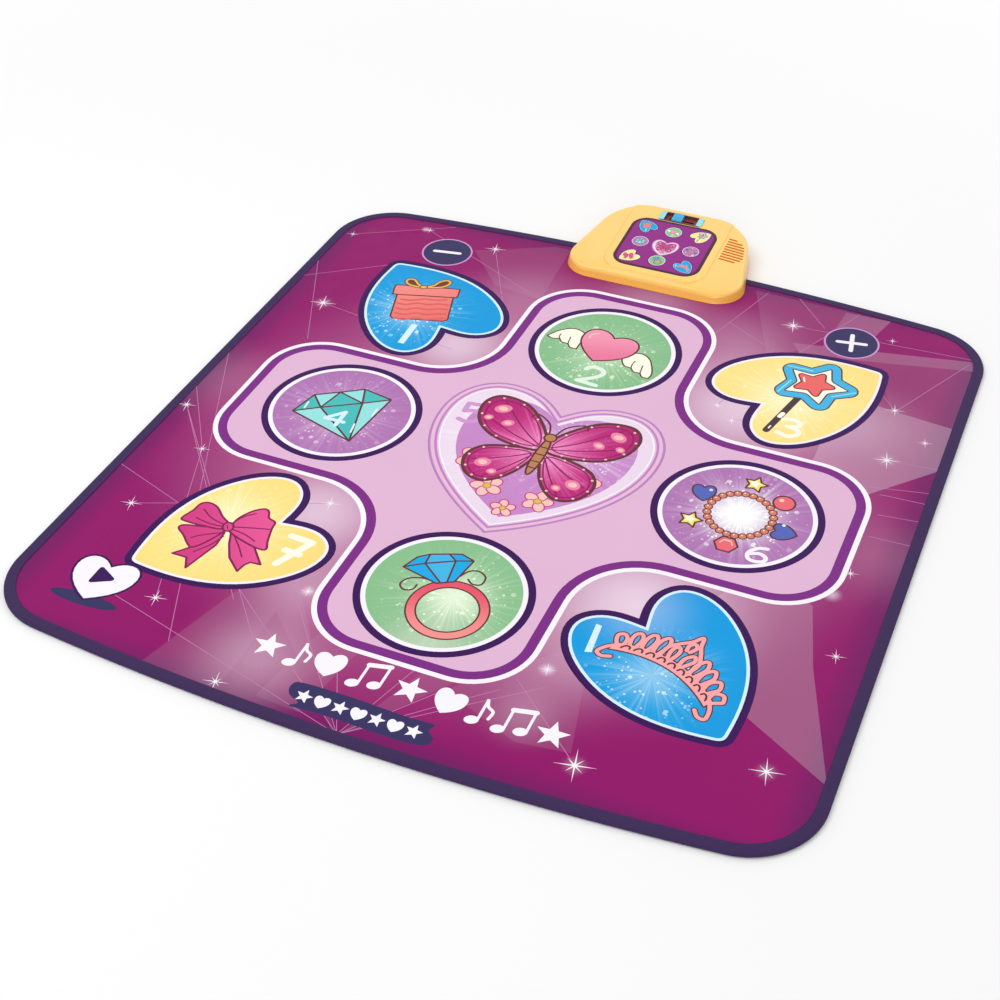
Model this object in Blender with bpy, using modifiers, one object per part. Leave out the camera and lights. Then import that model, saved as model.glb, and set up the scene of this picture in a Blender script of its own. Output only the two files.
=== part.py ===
"""Electronic dance mat: a soft play mat with twelve pressure zones and a sound box on its rear edge.

Frame: metres, +Z up, origin on the floor at the middle of the mat, +X to the player's right,
+Y towards the sound box. Every size below is in millimetres times MM.
"""
import math

import bmesh
import bpy
from mathutils import Vector

MM = 0.001

# Clearances between neighbours
TOUCH_GAP = 0.3 * MM
STOP_CLEARANCE = 0.2 * MM
WELD = 0.001 * MM

# Mat outline, whose borders lie between the corner hearts' tips and the edge
SIDE_BORDER = 115 * MM
END_BORDER = 145 * MM
END_BOW_RADIUS = 3500 * MM
MAT_CORNER_RADIUS = 85 * MM
END_STEPS = 10
CORNER_STEPS = 8

# Mat layers, from the floor up
BACKING_THICKNESS = 0.8 * MM
MEMBRANE_THICKNESS = 0.3 * MM
FOAM_THICKNESS = 2.0 * MM
COVER_THICKNESS = 0.6 * MM
BINDING_WIDTH = 13 * MM
BINDING_THICKNESS = 0.5 * MM
BINDING_EDGE = 1.2 * MM
BINDING_ROUND = 0.6 * MM

# Pressure zones: the rounds stand off the centre heart, and the others follow the rounds
PAD_TRAVEL = 1.0 * MM
ROUND_ZONE_RADIUS = 97 * MM
CENTRE_HEART_WIDTH = 280 * MM
CENTRE_HEART_HEIGHT = 270 * MM
CENTRE_HEART_DROP = 4 * MM
ZONE_SIDE_GAP = 11 * MM
ZONE_END_GAP = 7 * MM
CORNER_HEART_WIDTH = 188 * MM
CORNER_HEART_HEIGHT = 216 * MM
CORNER_TIP_OUT_X = 87 * MM
CORNER_TIP_OUT_Y = 88 * MM
VOLUME_PAD_RADIUS = 35 * MM
VOLUME_PAD_INSET = 52 * MM
VOLUME_HEART_GAP = 15 * MM
START_HEART_WIDTH = 79 * MM
START_HEART_HEIGHT = 68 * MM
START_OUT = 12 * MM
START_HEART_GAP = 4 * MM
ROUND_STEPS = 34
SMALL_ROUND_STEPS = 20
HEART_STEPS = (7, 4, 4)
SMALL_HEART_STEPS = (4, 3, 3)

# Half a heart, as three curves from the tip to the notch, in shares of half width and height
HEART_CURVES = (
    ((0.0, 0.0), (0.68, 0.213), (1.0, 0.435), (1.0, 0.704)),
    ((1.0, 0.704), (1.0, 0.87), (0.81, 1.0), (0.53, 1.0)),
    ((0.53, 1.0), (0.28, 1.0), (0.13, 0.93), (0.0, 0.856)),
)

# Sound box body: a tapered plan, a sloping top with a flat middle band and falling shoulders
BOX_OVERLAP = 80 * MM
BOX_REAR_MARGIN = 14 * MM
BOX_FRONT_HALF = 134 * MM
BOX_REAR_HALF = 96.5 * MM
BOX_FRONT_RADIUS = 40 * MM
BOX_REAR_RADIUS = 66 * MM
BOX_CORNER_STEPS = (7, 9, 9, 7)
BOX_WALL = 3.0 * MM
BOX_DRAFT = 3.0 * MM
BOX_EDGE_RADIUS = 5.0 * MM
BOX_TOP_HEIGHT = 28.5 * MM
TOP_SLOPE = math.radians(4.5)
SHOULDER_SLOPE = math.radians(4.5)
CREASE_MARGIN = 9.5 * MM
RIM_FLOOR_GAP = 2.0 * MM
RIM_MAT_STEP = 1.0 * MM

# Picture panel, its light wells and the display board below
PANEL_MARGIN = 21.5 * MM
PANEL_WIDTH = 121 * MM
PANEL_LENGTH = 113 * MM
PANEL_RADIUS = 19 * MM
PANEL_THICKNESS = 1.6 * MM
ICON_PITCH_X = 36 * MM
ICON_PITCH_Y = 34.6 * MM
WELL_RADIUS = 6 * MM
LED_RADIUS = 2.5 * MM
LED_BODY = 1.7 * MM
LED_STAND = 4.0 * MM
LED_DOME_STEPS = 3
LED_STEPS = 8
BOARD_SIDE_INSET = 5.5 * MM
BOARD_END_INSET = 6.5 * MM
BOARD_THICKNESS = 1.2 * MM
BOARD_CORNER = 2.5 * MM
BOARD_POST_RADIUS = 2.5 * MM
BOARD_POST_INSET = 5 * MM
CHIP_SIZE = 9 * MM
CHIP_HEIGHT = 1.5 * MM
CHIP_X = 20 * MM
CONNECTOR_WIDTH = 24 * MM
CONNECTOR_DEPTH = 6 * MM
CONNECTOR_HEIGHT = 3 * MM
TAIL_WIDTH = 20 * MM
TAIL_THICKNESS = 0.4 * MM
TAIL_SLOT_CLEARANCE = 0.8 * MM
TAIL_FROM_EDGE = 39 * MM

# Slide switch behind the panel
SWITCH_GAP = 1.6 * MM
SWITCH_WIDTH = 61.5 * MM
SWITCH_LENGTH = 20 * MM
SWITCH_CAP = 8 * MM
SWITCH_SIDE_RIM = 0.9 * MM
SWITCH_RIM_HEIGHT = 0.8 * MM
SWITCH_CORNER = 2.5 * MM
SLOT_PLATE_THICKNESS = 1.2 * MM
SLOT_PLATE_MARGIN = 2.5 * MM
KNOB_WIDTH = 14 * MM
KNOB_HEIGHT = 2.6 * MM
KNOB_REST_X = -5 * MM
KNOB_RUN_CLEARANCE = 0.3 * MM
KNOB_RIBS = 5
KNOB_RIB_DEPTH = 0.8 * MM
STEM_WIDTH = 3 * MM
STEM_DEPTH = 2.4 * MM
STEM_DROP = 3.4 * MM
STEM_CLEARANCE = 0.4 * MM
SWITCH_BODY_LENGTH = 12 * MM
SWITCH_BODY_HEIGHT = 5 * MM

# Speaker under the right shoulder, its parts measured down from its rim
SPEAKER_SIDE_GAP = 9.5 * MM
SPEAKER_BEHIND_PANEL = 29 * MM
SPEAKER_RADIUS = 15.5 * MM
SPEAKER_STEPS = 18
SPEAKER_DROP = 4.0 * MM
SPEAKER_COLLAR = 2.6 * MM
SPEAKER_RIM_WIDTH = 2.0 * MM
SPEAKER_RIM_THICKNESS = 1.4 * MM
BASKET_DEPTH = 7.2 * MM
BASKET_SHEET = 0.8 * MM
BASKET_FLOOR_RADIUS = 8.2 * MM
CONE_RADIUS = 11.6 * MM
CONE_DROP = 0.6 * MM
CONE_SHEET = 0.6 * MM
CONE_NECK_RADIUS = 4.0 * MM
CONE_NECK_DROP = 4.4 * MM
CONE_CAP_RADIUS = 3.0 * MM
CONE_CAP_RISE = 1.4 * MM
CONE_CAP_EDGE = 1.0 * MM
MAGNET_RADIUS = 7.0 * MM
MAGNET_THICKNESS = 5.0 * MM
SLIT_COUNT = 9
SLIT_PITCH = 5.9 * MM
SLIT_WIDTH = 2.4 * MM
SLIT_CORNER = 1.0 * MM
SLIT_SPEAKER_OFFSET_X = 10.5 * MM
SLIT_SPEAKER_OFFSET_Y = 4 * MM
SLIT_EDGE_MARGIN = 8.2 * MM
SLIT_END_TAPER = 11 * MM

# Lower housing: a shelf over the mat's rear edge and a tray behind it
SHELF_THICKNESS = 2.0 * MM
TRAY_THICKNESS = 2.0 * MM
TRAY_WALL = 2.5 * MM
HOUSING_CLEARANCE = 0.4 * MM
MAT_EDGE_CLEARANCE = 2.0 * MM
FOOT_WIDTH = 12 * MM
FOOT_LENGTH = 24 * MM
FOOT_CORNER = 5.4 * MM
TONGUE_X = 55 * MM
TONGUE_WIDTH = 20 * MM
TONGUE_THICKNESS = 2.0 * MM
TONGUE_RISE = 3.6 * MM
TONGUE_LIP = 1.5 * MM

# Battery bay for three AAA cells side by side
CELL_RADIUS = 5.25 * MM
CELL_LENGTH = 44.5 * MM
CELL_NUB_RADIUS = 1.9 * MM
CELL_NUB_LENGTH = 0.8 * MM
CELL_PITCH = 11.2 * MM
CELL_COUNT = 3
CELL_STEPS = 14
BAY_FROM_REAR = 55.5 * MM
BAY_END_ROOM = 5.5 * MM
BAY_SIDE_ROOM = 0.6 * MM
BAY_WALL = 5.5 * MM
BAY_REAR_WALL = 9.0 * MM
BAY_ROOF = 1.6 * MM
DOOR_MARGIN_X = 2.8 * MM
DOOR_MARGIN_FRONT = 3.4 * MM
DOOR_MARGIN_REAR = 6.6 * MM
DOOR_HINGE_RADIUS = 1.0 * MM
DOOR_HINGE_STEPS = 6
CONTACT_THICKNESS = 0.4 * MM
CONTACT_SPRING_RADIUS = 2.6 * MM
CONTACT_SPRING_TIP = 1.3 * MM
CONTACT_SPRING_REACH = 3.2 * MM
LEAD_RADIUS = 0.7 * MM
LEAD_HOLE_CLEARANCE = 0.4 * MM
LEAD_UNDER_ROOF = 3.1 * MM
LEAD_SIDE_RUN = 10.7 * MM
LEAD_BEHIND_PANEL = 3 * MM
LEAD_POINTS = 12

# Fasteners
SCREW_RADIUS = 1.2 * MM
SCREW_HOLE_RADIUS = 1.5 * MM
SCREW_HEAD_RADIUS = 2.8 * MM
SCREW_HEAD_HEIGHT = 1.8 * MM
SCREW_CROWN_RADIUS = 2.1 * MM
SCREW_CROWN_DROP = 0.7 * MM
SCREW_LENGTH = 10 * MM
BOSS_RADIUS = 3.5 * MM
POST_RADIUS = 5.0 * MM
POST_HEIGHT = 5.0 * MM
FRONT_SCREW_BEHIND_STEP = 8 * MM
FRONT_SCREW_SIDE = 14.5 * MM
REAR_SCREW_FROM_REAR = 35 * MM
REAR_SCREW_SIDE = 22 * MM
MAT_SCREW_X = (-60 * MM, 34 * MM, 80 * MM)
CLAMP_WIDTH = 190 * MM
CLAMP_DEPTH = 26 * MM
CLAMP_CORNER = 3 * MM
DOOR_SCREW_CLEARANCE = 0.6 * MM
DOOR_SCREW_LENGTH = 4.5 * MM
DOOR_SCREW_INSET = 3.8 * MM
DOOR_HEAD_HEIGHT = 1.0 * MM
DOOR_CROWN_DROP = 0.4 * MM
CIRCLE_STEPS = 12

# Places of the zones and the mat's size, which follow from each other
CENTRE_TIP_Y = -CENTRE_HEART_HEIGHT / 2 - CENTRE_HEART_DROP
SIDE_ZONE_REACH = CENTRE_HEART_WIDTH / 2 + ZONE_SIDE_GAP + ROUND_ZONE_RADIUS
END_ZONE_REACH = ROUND_ZONE_RADIUS + ZONE_END_GAP - CENTRE_TIP_Y
CORNER_TIP_X = SIDE_ZONE_REACH + CORNER_TIP_OUT_X
CORNER_TIP_Y = END_ZONE_REACH + CORNER_TIP_OUT_Y
VOLUME_PAD_X = CORNER_TIP_X - VOLUME_PAD_INSET
VOLUME_PAD_Y = CORNER_TIP_Y + VOLUME_HEART_GAP + VOLUME_PAD_RADIUS
START_TIP = (-CORNER_TIP_X - START_OUT, -CORNER_TIP_Y - START_HEART_GAP - START_HEART_HEIGHT)
MAT_WIDTH = 2 * (CORNER_TIP_X + SIDE_BORDER)
MAT_LENGTH = 2 * (CORNER_TIP_Y + END_BORDER)

# Places in the sound box, from the mat's rear edge and from its contents
BOX_FRONT_Y = MAT_LENGTH / 2 - BOX_OVERLAP
BOX_REAR_Y = BOX_FRONT_Y + PANEL_MARGIN + PANEL_LENGTH + SWITCH_GAP + SWITCH_LENGTH + BOX_REAR_MARGIN
CREASE_X = PANEL_WIDTH / 2 + CREASE_MARGIN
PANEL_Y = BOX_FRONT_Y + PANEL_MARGIN + PANEL_LENGTH / 2
SWITCH_Y = PANEL_Y + PANEL_LENGTH / 2 + SWITCH_GAP + SWITCH_LENGTH / 2
BOARD_WIDTH = PANEL_WIDTH - 2 * BOARD_SIDE_INSET
BOARD_LENGTH = PANEL_LENGTH - 2 * BOARD_END_INSET
BOARD_POST_X = BOARD_WIDTH / 2 - BOARD_POST_INSET
BOARD_POST_Y = BOARD_LENGTH / 2 - BOARD_POST_INSET
TAIL_Y = MAT_LENGTH / 2 - TAIL_FROM_EDGE
SPEAKER_X = PANEL_WIDTH / 2 + SPEAKER_SIDE_GAP + SPEAKER_RADIUS
SPEAKER_Y = PANEL_Y + SPEAKER_BEHIND_PANEL
SLIT_LEFT_X = SPEAKER_X - SLIT_SPEAKER_OFFSET_X
SLIT_MIDDLE_Y = SPEAKER_Y - SLIT_SPEAKER_OFFSET_Y
BAY_Y = BOX_REAR_Y - BAY_FROM_REAR

# Heights that follow from the layers
MEMBRANE_LOW = BACKING_THICKNESS + TOUCH_GAP
MEMBRANE_TOP = MEMBRANE_LOW + MEMBRANE_THICKNESS
FOAM_LOW = MEMBRANE_TOP + TOUCH_GAP
FOAM_TOP = FOAM_LOW + FOAM_THICKNESS
COVER_LOW = FOAM_TOP + TOUCH_GAP
COVER_TOP = COVER_LOW + COVER_THICKNESS
PAD_LOW = MEMBRANE_TOP + PAD_TRAVEL + STOP_CLEARANCE
BINDING_LEG_TOP = MEMBRANE_LOW - TOUCH_GAP
BINDING_LOW = BINDING_LEG_TOP - BINDING_THICKNESS
BINDING_LEG_LOW = COVER_TOP + TOUCH_GAP
BINDING_TOP = BINDING_LEG_LOW + BINDING_THICKNESS

# Heights and places that follow in the sound box
RIM_LOW = RIM_FLOOR_GAP
RIM_ON_MAT = COVER_TOP + TOUCH_GAP
SHELF_LOW = BINDING_TOP + TOUCH_GAP
SHELF_TOP = SHELF_LOW + SHELF_THICKNESS
TRAY_LOW = RIM_LOW
TRAY_TOP = TRAY_LOW + TRAY_THICKNESS
TRAY_FRONT_Y = MAT_LENGTH / 2 + MAT_EDGE_CLEARANCE
BOARD_TOP = -(BOX_WALL + LED_STAND)
BOARD_LOW = BOARD_TOP - BOARD_THICKNESS
BAY_HALF_X = CELL_LENGTH / 2 + BAY_END_ROOM
BAY_HALF_Y = (CELL_COUNT - 1) * CELL_PITCH / 2 + CELL_RADIUS + BAY_SIDE_ROOM
CELL_Z = TRAY_TOP + TOUCH_GAP + CELL_RADIUS
BAY_TOP = CELL_Z + CELL_RADIUS + TOUCH_GAP
LEAD_HEIGHT = BAY_TOP - LEAD_UNDER_ROOF
LEAD_BOARD_X = BAY_HALF_X + BAY_WALL + LEAD_SIDE_RUN
LEAD_BOARD_Y = PANEL_Y + LEAD_BEHIND_PANEL
DOOR_HALF_X = BAY_HALF_X + DOOR_MARGIN_X
DOOR_FRONT_Y = BAY_Y - BAY_HALF_Y - DOOR_MARGIN_FRONT
DOOR_REAR_Y = BAY_Y + BAY_HALF_Y + DOOR_MARGIN_REAR
DOOR_SCREW_Y = DOOR_REAR_Y - DOOR_SCREW_INSET

PART_NAME = "dance_mat"


def srgb(red, green, blue):
    """A colour as the eye reads it, 0 to 255, in Blender's linear values."""
    def linear(value):
        share = value / 255
        return share / 12.92 if share <= 0.04045 else ((share + 0.055) / 1.055) ** 2.4
    return (linear(red), linear(green), linear(blue), 1.0)


def make_finish(name, colour, roughness, metallic=0.0):
    finish = bpy.data.materials.new(name)
    finish.use_nodes = True
    shader = finish.node_tree.nodes["Principled BSDF"]
    shader.inputs["Base Color"].default_value = colour
    shader.inputs["Roughness"].default_value = roughness
    shader.inputs["Metallic"].default_value = metallic
    finish.diffuse_color = colour
    return finish


def make_finishes():
    return {
        "magenta_vinyl": make_finish("magenta_vinyl", srgb(150, 40, 110), 0.45),
        "blue_zone": make_finish("blue_zone", srgb(35, 165, 225), 0.45),
        "yellow_zone": make_finish("yellow_zone", srgb(250, 215, 120), 0.45),
        "green_zone": make_finish("green_zone", srgb(110, 185, 125), 0.45),
        "purple_zone": make_finish("purple_zone", srgb(165, 100, 175), 0.45),
        "pink_zone": make_finish("pink_zone", srgb(222, 190, 220), 0.45),
        "navy_zone": make_finish("navy_zone", srgb(60, 60, 100), 0.45),
        "white_zone": make_finish("white_zone", srgb(240, 235, 245), 0.45),
        "purple_binding": make_finish("purple_binding", srgb(70, 35, 100), 0.8),
        "grey_backing": make_finish("grey_backing", srgb(70, 68, 74), 0.9),
        "clear_film": make_finish("clear_film", srgb(200, 205, 205), 0.3),
        "white_foam": make_finish("white_foam", srgb(235, 235, 230), 0.95),
        "yellow_plastic": make_finish("yellow_plastic", srgb(248, 205, 110), 0.4),
        "purple_panel": make_finish("purple_panel", srgb(130, 35, 125), 0.25),
        "cyan_plastic": make_finish("cyan_plastic", srgb(165, 225, 235), 0.3),
        "blue_plastic": make_finish("blue_plastic", srgb(45, 155, 205), 0.3),
        "dark_slot": make_finish("dark_slot", srgb(95, 35, 40), 0.5),
        "black_plastic": make_finish("black_plastic", srgb(28, 28, 30), 0.45),
        "green_board": make_finish("green_board", srgb(30, 105, 60), 0.4),
        "led_lens": make_finish("led_lens", srgb(235, 240, 245), 0.15),
        "cone_paper": make_finish("cone_paper", srgb(40, 38, 38), 0.85),
        "steel": make_finish("steel", srgb(190, 190, 195), 0.3, 1.0),
        "cell_wrap": make_finish("cell_wrap", srgb(60, 110, 70), 0.35),
        "rubber": make_finish("rubber", srgb(45, 45, 48), 0.9),
        "red_wire": make_finish("red_wire", srgb(190, 40, 35), 0.5),
        "black_wire": make_finish("black_wire", srgb(30, 30, 32), 0.5),
    }


def clear_scene():
    for item in list(bpy.data.objects):
        bpy.data.objects.remove(item, do_unlink=True)


def make_collections():
    collections = []
    for name in (PART_NAME, PART_NAME + "_cutters"):
        collection = bpy.data.collections.new(name)
        bpy.context.scene.collection.children.link(collection)
        collections.append(collection)
    return collections


clear_scene()
PARTS, CUTTERS = make_collections()
FINISHES = make_finishes()


def place_part(name, mesh, finish):
    piece = bpy.data.objects.new(name, mesh)
    mesh.materials.clear()
    mesh.materials.append(FINISHES[finish])
    PARTS.objects.link(piece)
    return piece


def as_cutter(piece):
    """Moves a piece out of the parts, so that it only guides a Boolean."""
    PARTS.objects.unlink(piece)
    CUTTERS.objects.link(piece)
    piece.hide_render = True
    piece.display_type = "WIRE"
    return piece


def boolean(piece, tool, operation):
    modifier = piece.modifiers.new(tool.name, "BOOLEAN")
    modifier.operation = operation
    modifier.solver = "EXACT"
    modifier.object = tool


def smooth_by_angle(piece, degrees=35):
    piece.data.shade_smooth()
    piece.data.set_sharp_from_angle(angle=math.radians(degrees))


def curve_to_mesh(holder, name, finish):
    """The mesh of a finished curve object, with its loose caps welded on."""
    bpy.context.view_layer.update()
    graph = bpy.context.evaluated_depsgraph_get()
    mesh = bpy.data.meshes.new_from_object(holder.evaluated_get(graph))
    shape = bmesh.new()
    shape.from_mesh(mesh)
    bmesh.ops.remove_doubles(shape, verts=shape.verts, dist=WELD)
    bmesh.ops.recalc_face_normals(shape, faces=shape.faces)
    shape.to_mesh(mesh)
    shape.free()
    piece = place_part(name, mesh, finish)
    piece.matrix_world = holder.matrix_world.copy()
    curve = holder.data
    bpy.data.objects.remove(holder, do_unlink=True)
    bpy.data.curves.remove(curve)
    return piece


def prism(name, loops, low, top, finish):
    """A flat plate between two heights. The first loop is its edge and the others are windows."""
    curve = bpy.data.curves.new(name, "CURVE")
    curve.dimensions = "2D"
    curve.fill_mode = "BOTH"
    curve.extrude = (top - low) / 2
    for loop in loops:
        spline = curve.splines.new("POLY")
        spline.points.add(len(loop) - 1)
        for point, (x, y) in zip(spline.points, loop):
            point.co = (x, y, 0.0, 1.0)
        spline.use_cyclic_u = True
    holder = bpy.data.objects.new(name + "_outline", curve)
    holder.location.z = (top + low) / 2
    PARTS.objects.link(holder)
    return curve_to_mesh(holder, name, finish)


def join_meshes(pieces, name):
    """Several separate closed meshes as one cutter."""
    shape = bmesh.new()
    for piece in pieces:
        part = piece.data
        part.transform(piece.matrix_world)
        shape.from_mesh(part)
        bpy.data.objects.remove(piece, do_unlink=True)
    mesh = bpy.data.meshes.new(name)
    shape.to_mesh(mesh)
    shape.free()
    return as_cutter(place_part(name, mesh, "steel"))


def box(name, low, top, finish="steel"):
    mesh = bpy.data.meshes.new(name)
    shape = bmesh.new()
    bmesh.ops.create_cube(shape, size=1.0)
    low, top = Vector(low), Vector(top)
    bmesh.ops.scale(shape, vec=top - low, verts=shape.verts)
    bmesh.ops.translate(shape, vec=(low + top) / 2, verts=shape.verts)
    shape.to_mesh(mesh)
    shape.free()
    return place_part(name, mesh, finish)


def cylinder(name, centre, radius, low, top, finish="steel", steps=CIRCLE_STEPS):
    mesh = bpy.data.meshes.new(name)
    shape = bmesh.new()
    bmesh.ops.create_cone(shape, cap_ends=True, segments=steps, radius1=radius, radius2=radius,
                          depth=top - low)
    bmesh.ops.translate(shape, vec=(centre[0], centre[1], (low + top) / 2), verts=shape.verts)
    shape.to_mesh(mesh)
    shape.free()
    return place_part(name, mesh, finish)


def turned(name, profile, finish, place=(0, 0, 0), steps=CIRCLE_STEPS):
    """A solid turned about its own Z. The profile runs down its outer side, at +X."""
    mesh = bpy.data.meshes.new(name)
    edges = [(index, index + 1) for index in range(len(profile) - 1)]
    mesh.from_pydata([(radius, 0, height) for radius, height in profile], edges, [])
    piece = place_part(name, mesh, finish)
    piece.location = place
    screw = piece.modifiers.new("turn", "SCREW")
    screw.steps = steps
    screw.render_steps = steps
    screw.use_merge_vertices = True
    screw.merge_threshold = WELD
    screw.use_normal_calculate = False
    return piece


def circle_outline(centre, radius, steps):
    turn = 2 * math.pi / steps
    return [(centre[0] + radius * math.cos(turn * step), centre[1] + radius * math.sin(turn * step))
            for step in range(steps)]


def bezier(controls, steps):
    """Points along one cubic curve, without its last."""
    points = []
    for step in range(steps):
        t = step / steps
        weights = ((1 - t) ** 3, 3 * (1 - t) ** 2 * t, 3 * (1 - t) * t ** 2, t ** 3)
        points.append(tuple(sum(weight * point[axis] for weight, point in zip(weights, controls))
                            for axis in range(2)))
    return points


def heart_outline(tip, width, height, turn=0.0, steps=HEART_STEPS):
    """A heart that stands on its tip, turned about it."""
    half = []
    for controls, count in zip(HEART_CURVES, steps):
        half.extend(bezier(controls, count))
    notch = HEART_CURVES[-1][-1]
    shape = half + [notch] + [(-x, y) for x, y in reversed(half[1:])]
    cosine, sine = math.cos(turn), math.sin(turn)
    outline = []
    for x, y in shape:
        across, up = x * width / 2, y * height
        outline.append((tip[0] + across * cosine - up * sine, tip[1] + across * sine + up * cosine))
    return outline


def grow_outline(points, distance):
    """The same outline moved out by a distance, with its corners kept sharp."""
    grown = []
    count = len(points)
    for index in range(count):
        before = Vector(points[index - 1])
        here = Vector(points[index])
        after = Vector(points[(index + 1) % count])
        first = (here - before).normalized()
        second = (after - here).normalized()
        out_first = Vector((first.y, -first.x))
        out_second = Vector((second.y, -second.x))
        reach = distance / (1 + out_first.dot(out_second))
        grown.append(tuple(here + (out_first + out_second) * reach))
    return grown


def rounded_outline(corners, radii, steps, inset=0.0):
    """A polygon, anticlockwise, with its corners rounded and its sides moved in by an inset."""
    outline = []
    count = len(corners)
    for index in range(count):
        before, here = Vector(corners[index - 1]), Vector(corners[index])
        after = Vector(corners[(index + 1) % count])
        first, second = (here - before).normalized(), (after - here).normalized()
        in_first, in_second = Vector((-first.y, first.x)), Vector((-second.y, second.x))
        centre = here + (in_first + in_second) * (radii[index] / (1 + in_first.dot(in_second)))
        start = math.atan2(-in_first.y, -in_first.x)
        sweep = (math.atan2(-in_second.y, -in_second.x) - start) % (2 * math.pi)
        for step in range(steps[index] + 1):
            angle = start + sweep * step / steps[index]
            reach = radii[index] - inset
            outline.append((centre.x + reach * math.cos(angle), centre.y + reach * math.sin(angle)))
    return outline


def plate_outline(centre, width, length, radius, steps=5):
    half_x, half_y = width / 2, length / 2
    corners = [(centre[0] - half_x, centre[1] - half_y), (centre[0] + half_x, centre[1] - half_y),
               (centre[0] + half_x, centre[1] + half_y), (centre[0] - half_x, centre[1] + half_y)]
    return rounded_outline(corners, (radius,) * 4, (steps,) * 4)


def mat_outline(inset=0.0):
    """Straight sides, bowed ends and round corners, moved in by an inset."""
    bow_centre = MAT_LENGTH / 2 - END_BOW_RADIUS
    corner_x = MAT_WIDTH / 2 - MAT_CORNER_RADIUS
    reach = END_BOW_RADIUS - MAT_CORNER_RADIUS
    corner_y = bow_centre + math.sqrt(reach ** 2 - corner_x ** 2)
    tangent = math.atan2(corner_y - bow_centre, corner_x)
    radius = MAT_CORNER_RADIUS - inset
    bow = END_BOW_RADIUS - inset
    quarter = []
    for step in range(CORNER_STEPS + 1):
        angle = tangent * step / CORNER_STEPS
        quarter.append((corner_x + radius * math.cos(angle), corner_y + radius * math.sin(angle)))
    for step in range(1, END_STEPS // 2):
        angle = tangent + (math.pi / 2 - tangent) * step / (END_STEPS // 2)
        quarter.append((bow * math.cos(angle), bow_centre + bow * math.sin(angle)))
    rear_middle = [(0.0, bow_centre + bow)]
    rear = quarter + rear_middle + [(-x, y) for x, y in reversed(quarter)]
    return rear + [(-x, -y) for x, y in rear]


def loft(name, rings, finish, closed=False):
    """Walls between rings of equal count. A closed loft joins its last ring to its first."""
    shape = bmesh.new()
    rows = [[shape.verts.new(point) for point in ring] for ring in rings]
    pairs = list(zip(rows, rows[1:]))
    if closed:
        pairs.append((rows[-1], rows[0]))
    for first, second in pairs:
        for index in range(len(first)):
            following = (index + 1) % len(first)
            shape.faces.new((first[index], first[following], second[following], second[index]))
    if not closed:
        shape.faces.new(rows[0])
        shape.faces.new(rows[-1])
    bmesh.ops.recalc_face_normals(shape, faces=shape.faces)
    mesh = bpy.data.meshes.new(name)
    shape.to_mesh(mesh)
    shape.free()
    return place_part(name, mesh, finish)


def at_height(outline, height):
    return [(x, y, height) for x, y in outline]


def corner_heart(side, end):
    """A heart whose tip points away from the mat's middle."""
    tip = (side * CORNER_TIP_X, end * CORNER_TIP_Y)
    turn = math.atan2(tip[0], -tip[1])
    return heart_outline(tip, CORNER_HEART_WIDTH, CORNER_HEART_HEIGHT, turn)


def zone_outlines():
    """Each pressure zone's name, outline and finish, in rows from the sound box."""
    return [
        ("step_pad_1", corner_heart(-1, 1), "blue_zone"),
        ("step_pad_2", circle_outline((0, END_ZONE_REACH), ROUND_ZONE_RADIUS, ROUND_STEPS), "green_zone"),
        ("step_pad_3", corner_heart(1, 1), "yellow_zone"),
        ("step_pad_4", circle_outline((-SIDE_ZONE_REACH, 0), ROUND_ZONE_RADIUS, ROUND_STEPS), "purple_zone"),
        ("step_pad_5", heart_outline((0, CENTRE_TIP_Y), CENTRE_HEART_WIDTH, CENTRE_HEART_HEIGHT),
         "pink_zone"),
        ("step_pad_6", circle_outline((SIDE_ZONE_REACH, 0), ROUND_ZONE_RADIUS, ROUND_STEPS), "purple_zone"),
        ("step_pad_7", corner_heart(-1, -1), "yellow_zone"),
        ("step_pad_8", circle_outline((0, -END_ZONE_REACH), ROUND_ZONE_RADIUS, ROUND_STEPS), "green_zone"),
        ("step_pad_9", corner_heart(1, -1), "blue_zone"),
        ("start_pad", heart_outline(START_TIP, START_HEART_WIDTH, START_HEART_HEIGHT,
                                    steps=SMALL_HEART_STEPS), "white_zone"),
        ("volume_down_pad", circle_outline((-VOLUME_PAD_X, VOLUME_PAD_Y), VOLUME_PAD_RADIUS,
                                           SMALL_ROUND_STEPS), "navy_zone"),
        ("volume_up_pad", circle_outline((VOLUME_PAD_X, VOLUME_PAD_Y), VOLUME_PAD_RADIUS,
                                         SMALL_ROUND_STEPS), "navy_zone"),
    ]


def mat_screw_places():
    return [(x, TAIL_Y) for x in MAT_SCREW_X]


def screw_windows():
    """Holes in the mat layers where the clamp screws and the membrane's tail pass."""
    holes = [circle_outline(place, SCREW_HOLE_RADIUS, CIRCLE_STEPS) for place in mat_screw_places()]
    slot = plate_outline((0, TAIL_Y), TAIL_WIDTH + 2 * TAIL_SLOT_CLEARANCE,
                         TAIL_THICKNESS + 2 * TAIL_SLOT_CLEARANCE, TAIL_SLOT_CLEARANCE, steps=3)
    return holes, slot


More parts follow.
